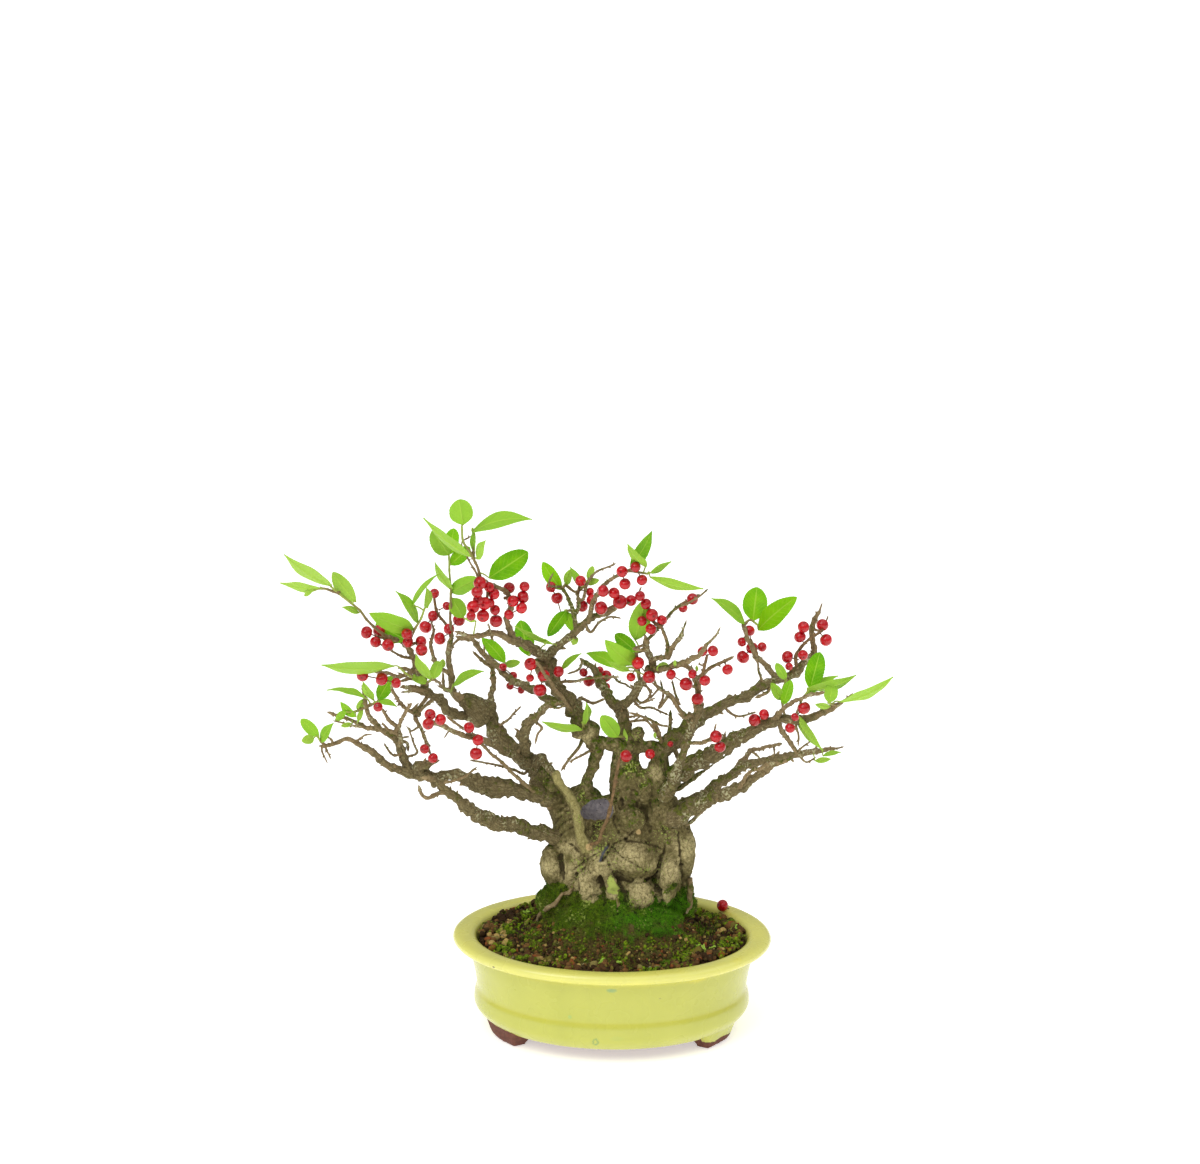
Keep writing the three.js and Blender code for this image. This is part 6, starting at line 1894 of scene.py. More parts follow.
def moss_mesh(trunk, out, count):
    """Moss leaves on the trunk's foot and over the soil round it, thicker in some places than others."""
    mesh = Mesh()
    random = np.random.default_rng(31)
    points = np.vstack(trunk.points)
    moss, bright = (np.concatenate(trunk.masks[name]) for name in ("moss", "bright"))
    height = points[:, 2] - SOIL_HIGH
    here = np.where((moss > 0.5) & (height > -0.5) & (height < 40) & (out[:, 2] > -0.55))[0]
    weight = (np.clip(moss[here] - 0.45, 0.02, 1) * fade(height[here], 16, 36) *
              (0.3 + 0.7 * fade(-height[here], -9, -2)))
    for i in random.choice(here, int(count * 0.7), p=weight / weight.sum()):
        draws = random.random(6)
        direction = unit(out[i] + (draws[:3] - 0.5) * 1.1 + (0, 0, 0.55))
        spike(mesh, points[i] - out[i] * 0.15, direction, 0.5 + 0.8 * draws[3], 0.2, tone=draws[4],
              dry=0.5 + 0.5 * lumps(points[i][None], 6, 91)[0] * draws[5], bright=bright[i])
    middle = seen(*TRUNK_AT)
    patches = [(seen(*at)[:2], size) for at, size in MOSS_PATCHES]
    made = 0
    while made < count * 0.2:
        draws = random.random(9)
        turn, reach = draws[0] * 2 * math.pi, 33 + 16 * draws[1] ** 1.5
        x, y = middle[0] + reach * math.cos(turn) * 1.05, 7 + reach * 0.74 * math.sin(turn)
        if draws[2] < 0.24:
            centre, size = patches[int(draws[3] * len(patches))]
            x, y = centre + (draws[4:6] - 0.5) * 2 * size * draws[6]
        if soil_share(x, y) > 0.95:
            continue
        made += 1
        if draws[2] >= 0.24 and lumps(np.array([[x, y, 0]]), 9, 93)[0] < -0.1 + 0.9 * draws[1]:
            continue
        root = np.array([x, y, soil_at(x, y) + 0.5 + 0.6 * draws[7]])
        lean = unit(np.array([draws[4] - 0.5, draws[5] - 0.5, 0.8]))
        spike(mesh, root, lean, 0.8 + 0.9 * draws[8], 0.2, tone=draws[6] * 0.9,
              dry=0.5 + 0.5 * lumps(root[None], 6, 91)[0] * draws[7])
    return mesh


def fine_wood():
    """Twigs too thin for the solids, knobs where limbs were cut, surface roots and scraps on the soil."""
    wood = plan().wood
    clutter = plan().clutter
    twigs, knobs, scraps = Mesh(), Mesh(), Mesh()
    random = np.random.default_rng(71)
    for number, (points, width, lean) in enumerate(TWIGS):
        root = nearest_to(*points[0], wood)
        foot = place(root)[0]

        def route_at(shift):
            return followed(points, [None, root[2] + lean + shift], root)

        shift = clearest(SHIFTS[:9], lambda s: clutter.blocked(
            place(sampled(route_at(s)[1], [2])), 0.5, foot, root[3] + 2.0))
        path, radii = wood_tube(twigs, route_at(shift)[0], [width, width * 0.8, width * 0.6], 700 + number,
                                flare=0.6, rough=0.1, bend=0.45)
        buds_along(twigs, path, radii, random, 3.5)
    for number, (column, row) in enumerate(KNOBS, 4):
        near = nearest_to(column, row, wood)
        knob(knobs, place(near)[0], near[3] * 1.25, 800 + number)
    for number, (points, width, depth) in enumerate(ROOTS):
        curve, _ = followed(points, depth, wood)
        wood_tube(knobs, curve, width, 840 + number, flare=0.1, rough=0.3, bend=0.8)
    for number, (column, row, depth, long, wide, turn) in enumerate(SCRAPS):
        at = seen(column, row, depth)
        at[2] = soil_at(*at[:2]) + wide + 0.6
        way = np.array([math.cos(turn), math.sin(turn), 0.25]) * long / 2
        path = between(at - way, at + way, np.array([0, 0, 0.4]), 8)
        points, _, _ = tube(path, wide * np.array(SCRAP_FORM), 8, 0.2, 1, number)
        scraps.add(points, loops(len(path), 8), grain=points, twig=0.6)
    return {"fine_twigs": twigs, "knots_and_roots": knobs, "soil_scraps": scraps}


def small_leaves(tooth):
    """The smallest leaves, and seedlings on the soil."""
    mesh = Mesh()
    random = np.random.default_rng(91)
    wood = plan().wood
    for column, row, to_column, to_row, wide in MORE_BLADES:
        near = nearest_to(column, row, wood)
        draws = random.random(3)
        depth = near[2] - 2 - 3 * draws[0]
        base, tip = seen(column, row, depth), seen(to_column, to_row, depth + (draws[1] - 0.5) * 8)
        broad = max(wide * GRID, np.linalg.norm(tip - base) * 0.36, 1.6)
        roll = math.acos(min(1, wide * GRID / broad))
        leaf_on(mesh, Blade(place(near)[0], base, tip, broad, roll, 0.06), tooth, random)
    for column, row in SEEDLINGS:
        away = unit(seen(column, row, 0) - EYE)
        at = EYE + away * (SOIL_HIGH + 1.2 - EYE[2]) / away[2]
        if soil_share(*at[:2]) > 0.94:
            continue
        at[2] = soil_at(*at[:2]) + 0.3
        for _ in range(3):
            draws = random.random(5)
            turn = draws[0] * 6.3
            way = np.array([math.cos(turn), math.sin(turn), 0.3 + 0.6 * draws[1]])
            base = at + (0, 0, 1.2 + draws[2])
            tip = base + way * (1.4 + 1.4 * draws[3])
            leaf_on(mesh, Blade(at, base, tip, 1.3 + 0.6 * draws[4], 1.2, 0.1), tooth, random)
    return mesh


def single_berries():
    """Berries that hang alone on the finest twigs."""
    mesh = Mesh()
    random = np.random.default_rng(93)
    given = plan()
    for column, row, size in MORE_BERRIES:
        near = nearest_to(column, row, given.wood)
        root = place(near)[0]
        radius = size * GRID
        depth = clearest([near[2] + s for s in (-3, -5, 3, -7, 5, -9, 8)],
                         lambda d: given.clutter.blocked(seen(column, row, d), radius))
        centre = seen(column, row, depth)
        path = stalk_path(root, centre, radius, np.array([0, 0, 0.8]))
        rod(mesh, path, np.full(len(path), 0.32), 7, 0.05, slot=1)
        berry_on(mesh, centre, radius, path[-2] - path[-1], random)
    return mesh


def fallen_berry():
    """The berry on the pot's lip, with its stalk."""
    mesh = Mesh()
    column, row, depth, radius = FALLEN_BERRY
    centre = seen(column, row, depth)
    centre[2] = POT_HIGH + radius - 0.35
    berry_on(mesh, centre, radius, np.array([0.6, 0.5, -0.3]), np.random.default_rng(95))
    stalk = between(centre + (1.6, 1.2, -1.6), centre + (3.4, 2.6, -2.6), np.zeros(3), 4)
    rod(mesh, stalk, np.full(len(stalk), 0.3), 7, 0.05, slot=1)
    return mesh


# ---------------------------------------------------------------------------
# Settings
# ---------------------------------------------------------------------------

def colour_setting(name, description, screen):
    """A colour that can be set, given in screen values."""
    return FloatVectorProperty(name=name, description=description, subtype="COLOR", size=3, min=0, max=1,
                               default=rgb(*screen))


class PotSettings(PropertyGroup):
    """What can be set on the pot."""

    glaze: colour_setting("Glaze", "Pale yellow-green of the wall's glaze", (190, 193, 80))
    glaze_lip: colour_setting("Lip glaze", "Yellower glaze of the lip", (226, 222, 106))
    clay: colour_setting("Clay", "Unglazed clay of the feet and the underside", (120, 72, 58))
    gloss: FloatProperty(name="Glaze roughness", description="Roughness of the fired glaze", default=0.26,
                         min=0, max=1, subtype="FACTOR")


class SoilSettings(PropertyGroup):
    """What can be set on the soil."""

    grain: FloatProperty(name="Grain width", description="Width of a middling grain of soil", default=0.0029,
                         min=0.001, max=0.006, unit="LENGTH")
    spacing: FloatProperty(name="Grain spacing", description="Distance between neighbouring grains",
                           default=0.0022, min=0.0015, max=0.006, unit="LENGTH")
    earth: colour_setting("Earth", "Damp soil between the grains", (46, 32, 16))
    moss: colour_setting("Moss", "Bright moss at the foot of the trunk", (122, 164, 10))
    tufts: IntProperty(name="Moss leaves", description="How many moss leaves grow at the trunk's foot",
                       default=26000, min=0, max=40000)


class WoodSettings(PropertyGroup):
    """What can be set on the wood."""

    bark: colour_setting("Bark", "Grey-brown of the older bark", (154, 141, 100))
    bark_dark: colour_setting("Bark clefts", "Dark colour in the bark's cracks", (78, 68, 42))
    twig: colour_setting("Twig", "Tan of the youngest twigs", (168, 146, 108))
    algae: colour_setting("Algae", "Green film on the bark's upper side", (116, 120, 48))
    voxel: FloatProperty(name="Trunk detail", description="Size of the trunk's smallest modelled form",
                         default=0.0007, min=0.0005, max=0.002, unit="LENGTH")


class LeafSettings(PropertyGroup):
    """What can be set on the leaves."""

    leaf: colour_setting("Leaf", "Bright green of a grown leaf", (130, 197, 0))
    leaf_young: colour_setting("Young leaf", "Paler green of a small leaf", (164, 198, 80))
    tooth: FloatProperty(name="Tooth", description="Length of one tooth of a leaf's edge", default=0.0016,
                         min=0.001, max=0.004, unit="LENGTH")


class BerrySettings(PropertyGroup):
    """What can be set on the berries."""

    skin: colour_setting("Berry", "Red of a ripe berry", (214, 0, 22))
    skin_dark: colour_setting("Berry shade", "Deeper red in patches of its skin", (156, 0, 14))


class StageSettings(PropertyGroup):
    """What can be set on the floor and the light."""

    floor: colour_setting("Floor", "Pale floor under the pot", (250, 248, 245))
    surround: FloatProperty(name="Surround light", description="Strength of the even light all round",
                            default=0.5, min=0, max=5)
    key: FloatProperty(name="Key light", description="Strength of the soft light from the front left",
                       default=1.1, min=0, max=10)
    overhead: FloatProperty(name="Overhead light", description="Strength of the wide light overhead",
                            default=0.9, min=0, max=10)
    glow: FloatProperty(name="Floor glow", description="Light that the floor sends up of its own",
                        default=0.5, min=0, max=2)


SETTINGS = {"bonsai_pot": PotSettings, "bonsai_soil": SoilSettings, "bonsai_wood": WoodSettings,
            "bonsai_leaf": LeafSettings, "bonsai_berry": BerrySettings, "bonsai_stage": StageSettings}


# ---------------------------------------------------------------------------
# Materials of this object
# ---------------------------------------------------------------------------
# Lights: tilt, turn and width in degrees
LIGHTS = (("key", 44, -38, 40), ("overhead", 14, 60, 80))

# Runs and stains in the glaze: where on the drawing, reach in millimetres, ring, colour and amount
STAINS = [
    ((611.5, 988), (3.3, 9, 1.5), -1.0, (142, 176, 118), 0.8),
    ((595.5, 1041), (1.9, 9, 2.6), 0.62, (120, 158, 92), 0.9),
    ((570, 1018), (1.1, 9, 1.3), -1.0, (160, 190, 104), 0.7),
    ((617, 1037), (4.2, 9, 1.6), -1.0, (176, 190, 92), 0.35),
    ((700, 984), (7, 12, 3.4), -1.0, (222, 212, 66), 0.6),
    ((742, 962), (7, 14, 3.0), -1.0, (228, 216, 70), 0.5),
    ((493.5, 968), (0.7, 9, 0.6), -1.0, (70, 60, 40), 0.9),
    ((678, 977), (0.9, 9, 0.5), -1.0, (92, 80, 50), 0.8),
    ((660, 999), (0.7, 9, 0.5), -1.0, (150, 142, 80), 0.7),
]

# Where each colour of soil grain begins
GRAIN_TONES = [
    (0.0, (64, 44, 22)), (0.30, (98, 68, 38)), (0.52, (128, 92, 50)), (0.68, (78, 62, 32)),
    (0.78, (150, 86, 44)), (0.84, (122, 110, 46)), (0.91, (194, 164, 96)), (0.965, (152, 138, 78)),
]


def glaze_paint(given):
    """Pale yellow-green glaze, paler on the lip, with its runs and stains, and a painted highlight along the
    lip's outer edge.
    """
    def build(tree):
        at = millimetres(tree)
        wall = clouded(tree, stretched(tree, at, (1, 1, 0.35)), 0.075, 0.6, tuple(given.glaze),
                       rgb(180, 184, 76))
        wall = clouded(tree, at, 0.028, 0.4, wall, rgb(202, 203, 98))
        lip = clouded(tree, at, 0.06, 0.8, tuple(given.glaze_lip), rgb(214, 212, 110))
        colour = mix(tree, mask(tree, "lip"), wall, lip)
        colour = tint(tree, colour, mask(tree, "pool"), 0.3, rgb(206, 198, 58))
        # Painted highlight: a pale band along the lip's rolled outer edge
        colour = tint(tree, colour, mask(tree, "edge"), 0.35, rgb(232, 231, 140))
        for (column, row), size, ring, screen, amount in STAINS:
            depth = -50 if row > 980 else -42
            centre = metres(seen(column, row, depth)) * 1000
            stain = use(tree, spot(), Place=at, Centre=tuple(centre), Size=size, Ring=ring)["Mask"]
            colour = tint(tree, colour, stain, amount, rgb(*screen))
        dots = dotted(tree, at, 0.26, 0.05)
        colour = tint(tree, colour, dots, 0.3, rgb(150, 144, 60))
        rough = ranged(tree, cloud(tree, at, 0.08, 2), 0.3, 0.7, given.gloss - 0.05, given.gloss + 0.08)
        ripple = cloud(tree, at, 0.09, 1, 0.3)
        return {"Base Color": colour, "Roughness": rough, "Height": (ripple, 0.0004, 0.3)}

    return material("glaze", build, 0.26, IOR=1.5, Coat_Weight=0.35, Coat_Roughness=0.06)


def clay_paint(given):
    """Dark clay where there is no glaze, with pale specks."""
    def build(tree):
        at = millimetres(tree)
        colour = clouded(tree, at, 0.5, 1.0, tuple(given.clay), rgb(92, 52, 42))
        dots = dotted(tree, at, 0.9, 0.2)
        colour = mix(tree, dots, colour, rgb(150, 108, 84))
        height = cloud(tree, at, 2.2, 4, 0.7)
        return {"Base Color": colour, "Height": (height, 0.0004, 0.6)}

    return material("bare_clay", build, 0.85)


def earth_paint(given):
    """Earth under the grains."""
    def build(tree):
        at = millimetres(tree)
        colour = clouded(tree, at, 0.45, 1.0, tuple(given.earth), rgb(70, 50, 32))
        return {"Base Color": colour, "Height": (cloud(tree, at, 1.4, 5, 0.7), 0.0008, 0.8)}

    return material("earth", build, 0.95, Specular_IOR_Level=0.2)


def grain_paint(given):
    """Loose grains, each in one of several earths, some of them mossy."""
    def build(tree):
        at = millimetres(tree)
        tone = mask(tree, "tone")
        ramp = put(tree, "ValToRGB", {"Fac": tone})
        elements = ramp.color_ramp.elements
        ramp.color_ramp.interpolation = "CONSTANT"
        for number, (place_at, screen) in enumerate(GRAIN_TONES):
            element = elements[number] if number < 2 else elements.new(place_at)
            element.position = place_at
            element.color = (*rgb(*screen), 1)
        fine = ranged(tree, cloud(tree, at, 1.8, 4, 0.7), 0.3, 0.7, 0.55, 1.2)
        colour = mix(tree, 1.0, ramp.outputs[0], fine, "MULTIPLY")
        moss = ranged(tree, mask(tree, "green"), 0.35, 1.0, 0.05, 0.72)
        grown = use(tree, growth(), Place=at, Colour=colour, Moss=moss, Moss_dark=rgb(58, 74, 8),
                    Moss_light=rgb(132, 164, 20), Lichen=0.0)
        return {"Base Color": grown["Colour"], "Height": (cloud(tree, at, 2.4, 4, 0.7), 0.0005, 0.8)}

    return material("soil_grains", build, 0.92, Specular_IOR_Level=0.2)


def moss_paint(given):
    """Moss, brighter in patches and dry here and there, with a painted highlight on one lit patch of the
    trunk's foot.
    """
    def build(tree):
        at = millimetres(tree)
        light = clouded(tree, at, 0.12, 1.0, tuple(given.moss), rgb(74, 104, 6))
        colour = mix(tree, ranged(tree, mask(tree, "tone"), 0.0, 1.0, 0.0, 0.7), light, rgb(34, 52, 4))
        # Painted highlight: brighter green on the lit patch of the foot's moss
        colour = tint(tree, colour, mask(tree, "bright"), 0.6, rgb(80, 148, 8))
        colour = mix(tree, ranged(tree, mask(tree, "dry"), 0.55, 0.9), colour, rgb(112, 104, 52))
        return {"Base Color": colour, "Roughness": ranged(tree, mask(tree, "tone"), 0, 1, 0.55, 0.8)}

    return material("moss", build, 0.7, Specular_IOR_Level=0.2)


def bark_paint(given):
    """Bark of the limbs and twigs."""
    def build(tree):
        at = millimetres(tree)
        grain = mask(tree, "grain", "Vector")
        bark = use(tree, bark_grain(), Place=grain, Scale=0.85)
        colour = mix(tree, ranged(tree, bark["Shade"], 0.12, 0.85), tuple(given.bark_dark), tuple(given.bark))
        colour = mix(tree, ranged(tree, bark["Shade"], 0.7, 1.0), colour, rgb(184, 172, 132))
        large = ranged(tree, cloud(tree, at, 0.09, 3), 0.35, 0.65)
        colour = tint(tree, colour, large, 0.35, rgb(124, 108, 74))
        patches = ranged(tree, cloud(tree, grain, 0.7, 3), 0.35, 0.65)
        young = mix(tree, patches, tuple(given.twig), rgb(132, 110, 76))
        pores = dotted(tree, grain, 1.1, 0.26)
        young = tint(tree, young, pores, 0.6, rgb(184, 166, 138))
        colour = tint(tree, colour, mask(tree, "twig"), 0.85, young)
        grown = use(tree, growth(), Place=at, Colour=colour, Moss=mask(tree, "moss"),
                    Moss_dark=rgb(74, 78, 30), Moss_light=tuple(given.algae),
                    Lichen=mask(tree, "lichen"), Lichen_colour=rgb(188, 184, 142))
        height = plus(tree, bark["Height"], times(tree, grown["Height"], 0.4))
        return {"Base Color": grown["Colour"], "Height": (height, 0.001, 0.9)}

    return material("limb_bark", build, 0.86, Specular_IOR_Level=0.2)


def trunk_paint(given):
    """Bark of the swollen trunk, with its clefts, ridges paler with wear and painted highlight, moss, sealed
    wound and cut ends, and painted shade in its hollows and clefts.
    """
    def build(tree):
        at = millimetres(tree)
        grain = mask(tree, "grain", "Vector")
        bark = use(tree, bark_grain(), Place=grain, Scale=0.62)
        colour = mix(tree, ranged(tree, bark["Shade"], 0.1, 0.85), tuple(given.bark_dark), rgb(146, 133, 88))
        # Ridges paler: partly rubbed bark, partly painted highlight
        worn = ranged(tree, mask(tree, "worn"), 0.5, 0.85)
        colour = tint(tree, colour, worn, ranged(tree, bark["Shade"], 0.2, 0.7), rgb(182, 168, 122))
        colour = clouded(tree, at, 0.075, 0.5, colour, rgb(106, 104, 52))
        colour = clouded(tree, at, 0.2, 0.35, colour, rgb(84, 74, 44))
        # Pale lobes: pale bare wood, and painted highlight where lobes face the light
        pale = times(tree, mask(tree, "pale"), ranged(tree, bark["Shade"], 0.1, 0.65))
        colour = mix(tree, pale, colour, rgb(196, 182, 132))
        # Painted shade: darker in the hollows
        colour = mix(tree, ranged(tree, mask(tree, "worn"), 0.44, 0.16, 0.0, 0.85), colour, rgb(62, 53, 30))
        smooth = mix(tree, ranged(tree, bark["Shade"], 0.1, 0.7), rgb(122, 114, 66), rgb(174, 164, 108))
        colour = mix(tree, mask(tree, "smooth"), colour, smooth)
        # Painted highlight: brighter moss green on the lit patch of the foot
        moss = mix(tree, mask(tree, "bright"), rgb(98, 120, 16), rgb(78, 142, 6))
        grown = use(tree, growth(), Place=at, Colour=colour, Moss=mask(tree, "moss"),
                    Moss_dark=rgb(34, 46, 6), Moss_light=moss,
                    Lichen=mask(tree, "lichen"), Lichen_colour=rgb(178, 192, 96))
        colour = grown["Colour"]
        patches = ranged(tree, cloud(tree, at, 1.1, 4, 0.7), 0.35, 0.65)
        earth = mix(tree, patches, rgb(50, 36, 16), rgb(104, 92, 38))
        colour = tint(tree, colour, mask(tree, "earth"), 0.85, earth)
        # Painted shade: darker the deeper a cleft is cut
        colour = mix(tree, ranged(tree, mask(tree, "deep"), 0.3, 0.95, 0.0, 0.72), colour, rgb(54, 45, 26))
        dots = dotted(tree, at, 0.8, 0.3)
        patches = ranged(tree, cloud(tree, at, 0.6, 3), 0.35, 0.65)
        seal = mix(tree, patches, rgb(94, 90, 94), rgb(118, 112, 114))
        seal = mix(tree, dots, seal, rgb(44, 34, 34))
        colour = mix(tree, ranged(tree, mask(tree, "seal"), 0.4, 0.7), colour, seal)
        colour = mix(tree, ranged(tree, mask(tree, "cut"), 0.3, 0.7), colour, rgb(206, 178, 124))
        colour = mix(tree, mask(tree, "blue"), colour, rgb(96, 100, 112))
        height = plus(tree, bark["Height"], times(tree, grown["Height"], 0.7))
        height = times(tree, height, ranged(tree, mask(tree, "seal"), 0, 1, 1, 0.15))
        return {"Base Color": colour, "Height": (height, 0.0009, 0.85)}

    return material("trunk_bark", build, 0.9, Specular_IOR_Level=0.2)


def leaf_paint(given):
    """Bright green leaves with a pale midrib, veins and a fine net."""
    def build(tree):
        at = millimetres(tree)
        rib = mask(tree, "rib")
        side = sums(tree, "ABSOLUTE", mask(tree, "side"))
        part = sums(tree, "ABSOLUTE", sums(tree, "SUBTRACT", sums(tree, "FRACT", rib), 0.5))
        veins = ranged(tree, part, 0.40, 0.5)
        midrib = ranged(tree, side, 0.085, 0.03)
        net = ranged(tree, cells(tree, at, 1.3, "DISTANCE_TO_EDGE"), 0.10, 0.0)
        lines = sums(tree, "MAXIMUM", times(tree, veins, 0.3), times(tree, midrib, 0.6))
        lines = sums(tree, "MAXIMUM", lines, times(tree, net, 0.16))
        tone = mask(tree, "tone")
        green = mix(tree, tone, tuple(given.leaf), rgb(84, 160, 0))
        green = clouded(tree, at, 0.16, 0.5, green, rgb(146, 206, 8))
        green = mix(tree, mask(tree, "young"), green, tuple(given.leaf_young))
        green = mix(tree, lines, green, rgb(184, 220, 78))
        green = tint(tree, green, mask(tree, "under"), 0.5, rgb(164, 202, 80))
        height = plus(tree, times(tree, lines, -0.7), times(tree, cloud(tree, at, 2.5, 2), 0.3))
        rough = ranged(tree, cloud(tree, at, 0.8, 2), 0.3, 0.7, 0.42, 0.55)
        return {"Base Color": green, "Roughness": rough, "Height": (height, 0.0002, 0.7)}

    return material("leaf", build, 0.5, Specular_IOR_Level=0.1, Subsurface_Weight=0.1,
                    Subsurface_Radius=(0.6, 1.0, 0.2), Subsurface_Scale=0.0006)


def stem_paint(given):
    """Green stems and leaf stalks, browning where they leave the wood."""
    def build(tree):
        at = millimetres(tree)
        green = clouded(tree, at, 0.5, 0.8, rgb(168, 192, 82), rgb(146, 154, 70))
        colour = mix(tree, mask(tree, "wooden"), green, rgb(132, 112, 74))
        return {"Base Color": colour, "Height": (cloud(tree, at, 2.0, 3), 0.0002, 0.5)}

    return material("green_stem", build, 0.55, Specular_IOR_Level=0.25)


def berry_paint(given):
    """Crimson berry skin with pale dots and a dark scar at the tip."""
    def build(tree):
        at = millimetres(tree)
        red = mix(tree, mask(tree, "tone"), tuple(given.skin), rgb(186, 0, 18))
        red = clouded(tree, at, 0.35, 0.8, red, tuple(given.skin_dark))
        dots = dotted(tree, at, 1.5, 0.16)
        red = tint(tree, red, dots, 0.25, rgb(220, 90, 80))
        colour = mix(tree, mask(tree, "scar"), red, rgb(52, 18, 14))
        rough = ranged(tree, cloud(tree, at, 0.9, 2), 0.3, 0.7, 0.24, 0.36)
        return {"Base Color": colour, "Roughness": rough, "Height": (cloud(tree, at, 1.2, 2), 0.0001, 0.3)}

    return material("berry_skin", build, 0.28, Specular_IOR_Level=0.3, Coat_Weight=0.6, Coat_Roughness=0.08,
                    Subsurface_Weight=0.05, Subsurface_Radius=(1.0, 0.2, 0.1), Subsurface_Scale=0.001)


def stalk_paint(given):
    """Thin brown stalks and spurs of the berries."""
    def build(tree):
        at = millimetres(tree)
        colour = clouded(tree, at, 0.6, 1.0, rgb(142, 114, 78), rgb(98, 78, 52))
        return {"Base Color": colour, "Height": (cloud(tree, at, 1.8, 4, 0.7), 0.0003, 0.7)}

    return material("berry_stalk", build, 0.8, Specular_IOR_Level=0.2)


def floor_paint(given):
    """A pale floor with a glow of its own."""
    def build(tree):
        at = millimetres(tree)
        colour = clouded(tree, at, 0.002, 0.2, tuple(given.floor), rgb(246, 245, 242))
        return {"Base Color": colour}

    return material("pale_floor", build, 0.9, Specular_IOR_Level=0.1, Emission_Color=(1.0, 0.99, 0.97),
                    Emission_Strength=given.glow)


# ---------------------------------------------------------------------------
# Operators, one for each piece or group of like pieces
# ---------------------------------------------------------------------------

class BONSAI_OT_pot(Operator):
    """Build the glazed oval pot with its lip, band, feet and drain holes"""
    bl_idname = "bonsai.pot"
    bl_label = "Pot"

    def execute(self, context):
        given = context.scene.bonsai_pot
        show("glazed_pot", pot_mesh(), [glaze_paint(given), clay_paint(given)], ["pot"])
        return {"FINISHED"}


class BONSAI_OT_soil(Operator):
    """Build the soil and the loose grains on it"""
    bl_idname = "bonsai.soil"
    bl_label = "Soil"

    def execute(self, context):
        given = context.scene.bonsai_soil
        show("soil_body", soil_mesh(), [earth_paint(given)], ["soil"])
        grains = grains_mesh(given.grain * 1000, given.spacing * 1000)
        slope_grains(grains, *trunk_mesh(context.scene.bonsai_wood.voxel * 1000))
        show("soil_grains", grains, [grain_paint(given)], sharp=50)
        return {"FINISHED"}


class BONSAI_OT_trunk(Operator):
    """Build the swollen trunk and the moss at its foot"""
    bl_idname = "bonsai.trunk"
    bl_label = "Trunk"

    def execute(self, context):
        wood = context.scene.bonsai_wood
        soil = context.scene.bonsai_soil
        mesh, out = trunk_mesh(wood.voxel * 1000)
        show("swollen_trunk", mesh, [trunk_paint(wood)], ["trunk"])
        show("foot_moss", moss_mesh(mesh, out, soil.tufts), [moss_paint(soil)])
        return {"FINISHED"}


class BONSAI_OT_limbs(Operator):
    """Build the limbs, their twigs and their buds"""
    bl_idname = "bonsai.limbs"
    bl_label = "Limbs"

    def execute(self, context):
        paint = bark_paint(context.scene.bonsai_wood)
        for number, (name, routes) in enumerate(plan().limbs.items()):
            mesh = with_moss(limb_mesh(routes, 100 + number), 0.62)
            show(name + "_wood", mesh, [paint], [name])
        for name, mesh in fine_wood().items():
            show(name, with_moss(mesh, 0.4), [paint])
        return {"FINISHED"}


class BONSAI_OT_leaves(Operator):
    """Build the leafy shoots"""
    bl_idname = "bonsai.leaves"
    bl_label = "Leaves"

    def execute(self, context):
        given = context.scene.bonsai_leaf
        paints = [leaf_paint(given), stem_paint(given)]
        for number, (name, (stems, blades)) in enumerate(plan().sprays.items()):
            mesh = spray_mesh(stems, blades, given.tooth * 1000, 300 + number, PALE_SHOOTS.get(name, 0.0))
            show(name + "_fine", mesh, paints, [name], sharp=60)
        show("small_leaves", small_leaves(given.tooth * 1000), paints, sharp=60)
        return {"FINISHED"}


class BONSAI_OT_berries(Operator):
    """Build the bunches of berries and the one that fell"""
    bl_idname = "bonsai.berries"
    bl_label = "Berries"

    def execute(self, context):
        given = context.scene.bonsai_berry
        paints = [berry_paint(given), stalk_paint(given)]
        for number, (name, (stems, berries)) in enumerate(plan().bunches.items()):
            show(name + "_fine", bunch_mesh(stems, berries, 500 + number), paints, [name])
        show("single_berries", single_berries(), paints)
        show("fallen_berry_fine", fallen_berry(), paints, ["fallen_berry"])
        return {"FINISHED"}


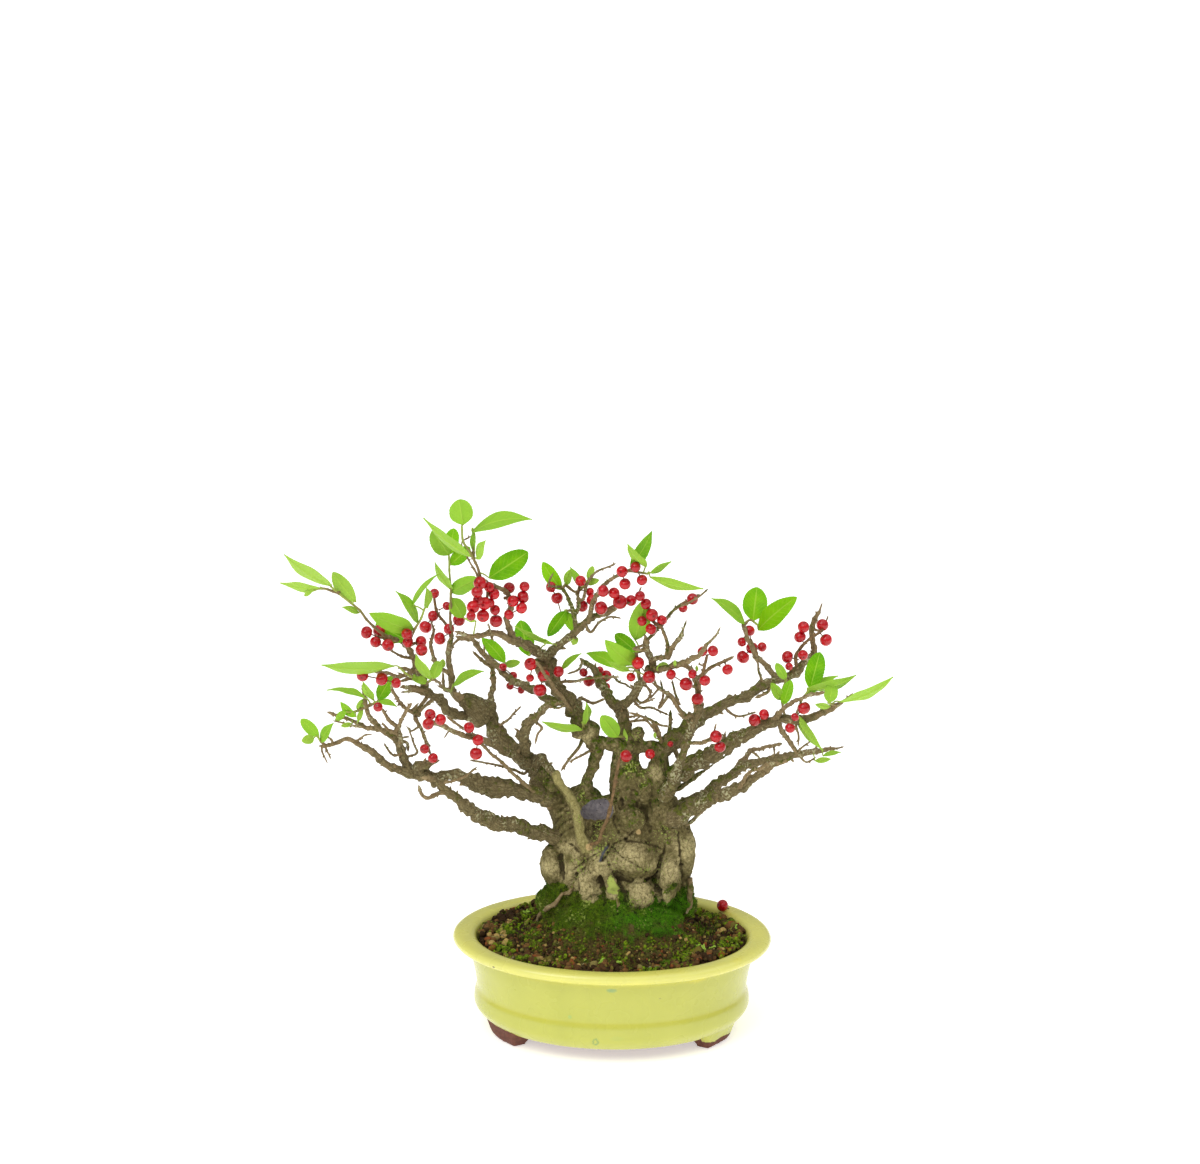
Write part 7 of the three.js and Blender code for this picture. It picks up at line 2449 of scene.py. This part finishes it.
class BONSAI_OT_stage(Operator):
    """Set the floor, the soft light and the camera"""
    bl_idname = "bonsai.stage"
    bl_label = "Stage"

    def execute(self, context):
        given = context.scene.bonsai_stage
        scene = context.scene
        mesh = bpy.data.meshes.new("floor")
        corners = np.array([(-1, -1), (1, -1), (1, 1), (-1, 1)]) * FLOOR_REACH
        mesh.from_pydata([(x, y, -0.0002) for x, y in corners.tolist()], [], [(0, 1, 2, 3)])
        mesh.materials.append(floor_paint(given))
        floor = bpy.data.objects.new("floor", mesh)
        scene.collection.objects.link(floor)
        world = bpy.data.worlds.new("surround")
        world.use_nodes = True
        light_path = put(world.node_tree, "LightPath")
        # A dimmer surround in reflections, so that wet and glazed surfaces keep their colour
        strength = ranged(world.node_tree, light_path.outputs["Is Glossy Ray"], 0, 1, given.surround,
                          given.surround * 0.6)
        background = world.node_tree.nodes["Background"]
        background.inputs["Color"].default_value = (1, 1, 1, 1)
        world.node_tree.links.new(strength, background.inputs["Strength"])
        scene.world = world
        for name, tilt, turn, width in LIGHTS:
            light = bpy.data.lights.new(name, "SUN")
            light.energy = getattr(given, name)
            light.angle = math.radians(width)
            lamp = bpy.data.objects.new(name, light)
            lamp.rotation_euler = (math.radians(tilt), 0, math.radians(turn))
            scene.collection.objects.link(lamp)
        scene.view_settings.view_transform = "Standard"
        camera = bpy.data.cameras.new("camera")
        camera.sensor_width = SENSOR_WIDE
        camera.lens = SENSOR_WIDE * FOCAL / DRAWING_WIDE
        eye = bpy.data.objects.new("camera", camera)
        right = np.array([1.0, 0, 0])
        up = np.array([0, math.sin(PITCH), math.cos(PITCH)])
        ahead = np.array([0, math.cos(PITCH), -math.sin(PITCH)])
        axes = np.column_stack([right * math.cos(ROLL) + up * math.sin(ROLL),
                                up * math.cos(ROLL) - right * math.sin(ROLL), -ahead])
        eye.matrix_world = Matrix.Translation(metres(EYE)) @ Matrix(axes.tolist()).to_4x4()
        scene.collection.objects.link(eye)
        scene.camera = eye
        return {"FINISHED"}


OPERATORS = (BONSAI_OT_pot, BONSAI_OT_soil, BONSAI_OT_trunk, BONSAI_OT_limbs, BONSAI_OT_leaves,
             BONSAI_OT_berries, BONSAI_OT_stage)


class BONSAI_PT_panel(Panel):
    """Lists the bonsai's pieces and their settings"""
    bl_label = "Winterberry Bonsai"
    bl_idname = "BONSAI_PT_panel"
    bl_space_type = "VIEW_3D"
    bl_region_type = "UI"
    bl_category = "Bonsai"

    def draw(self, context):
        for operator in OPERATORS:
            self.layout.operator(operator.bl_idname)
        for name, settings in SETTINGS.items():
            box = self.layout.box()
            for key in settings.__annotations__:
                box.prop(getattr(context.scene, name), key)


CLASSES = (*SETTINGS.values(), *OPERATORS, BONSAI_PT_panel)


def register():
    """Makes the settings, operators and panel known."""
    for kind in CLASSES:
        bpy.utils.register_class(kind)
    for name, settings in SETTINGS.items():
        setattr(bpy.types.Scene, name, PointerProperty(type=settings))


def unregister():
    """Takes them away again."""
    for name in SETTINGS:
        delattr(bpy.types.Scene, name)
    for kind in reversed(CLASSES):
        bpy.utils.unregister_class(kind)


def main():
    """Builds the bonsai."""
    register()
    for operator in OPERATORS:
        getattr(bpy.ops.bonsai, operator.bl_idname.split(".")[1])()
    bpy.context.view_layer.update()


if __name__ == "__main__":
    main()
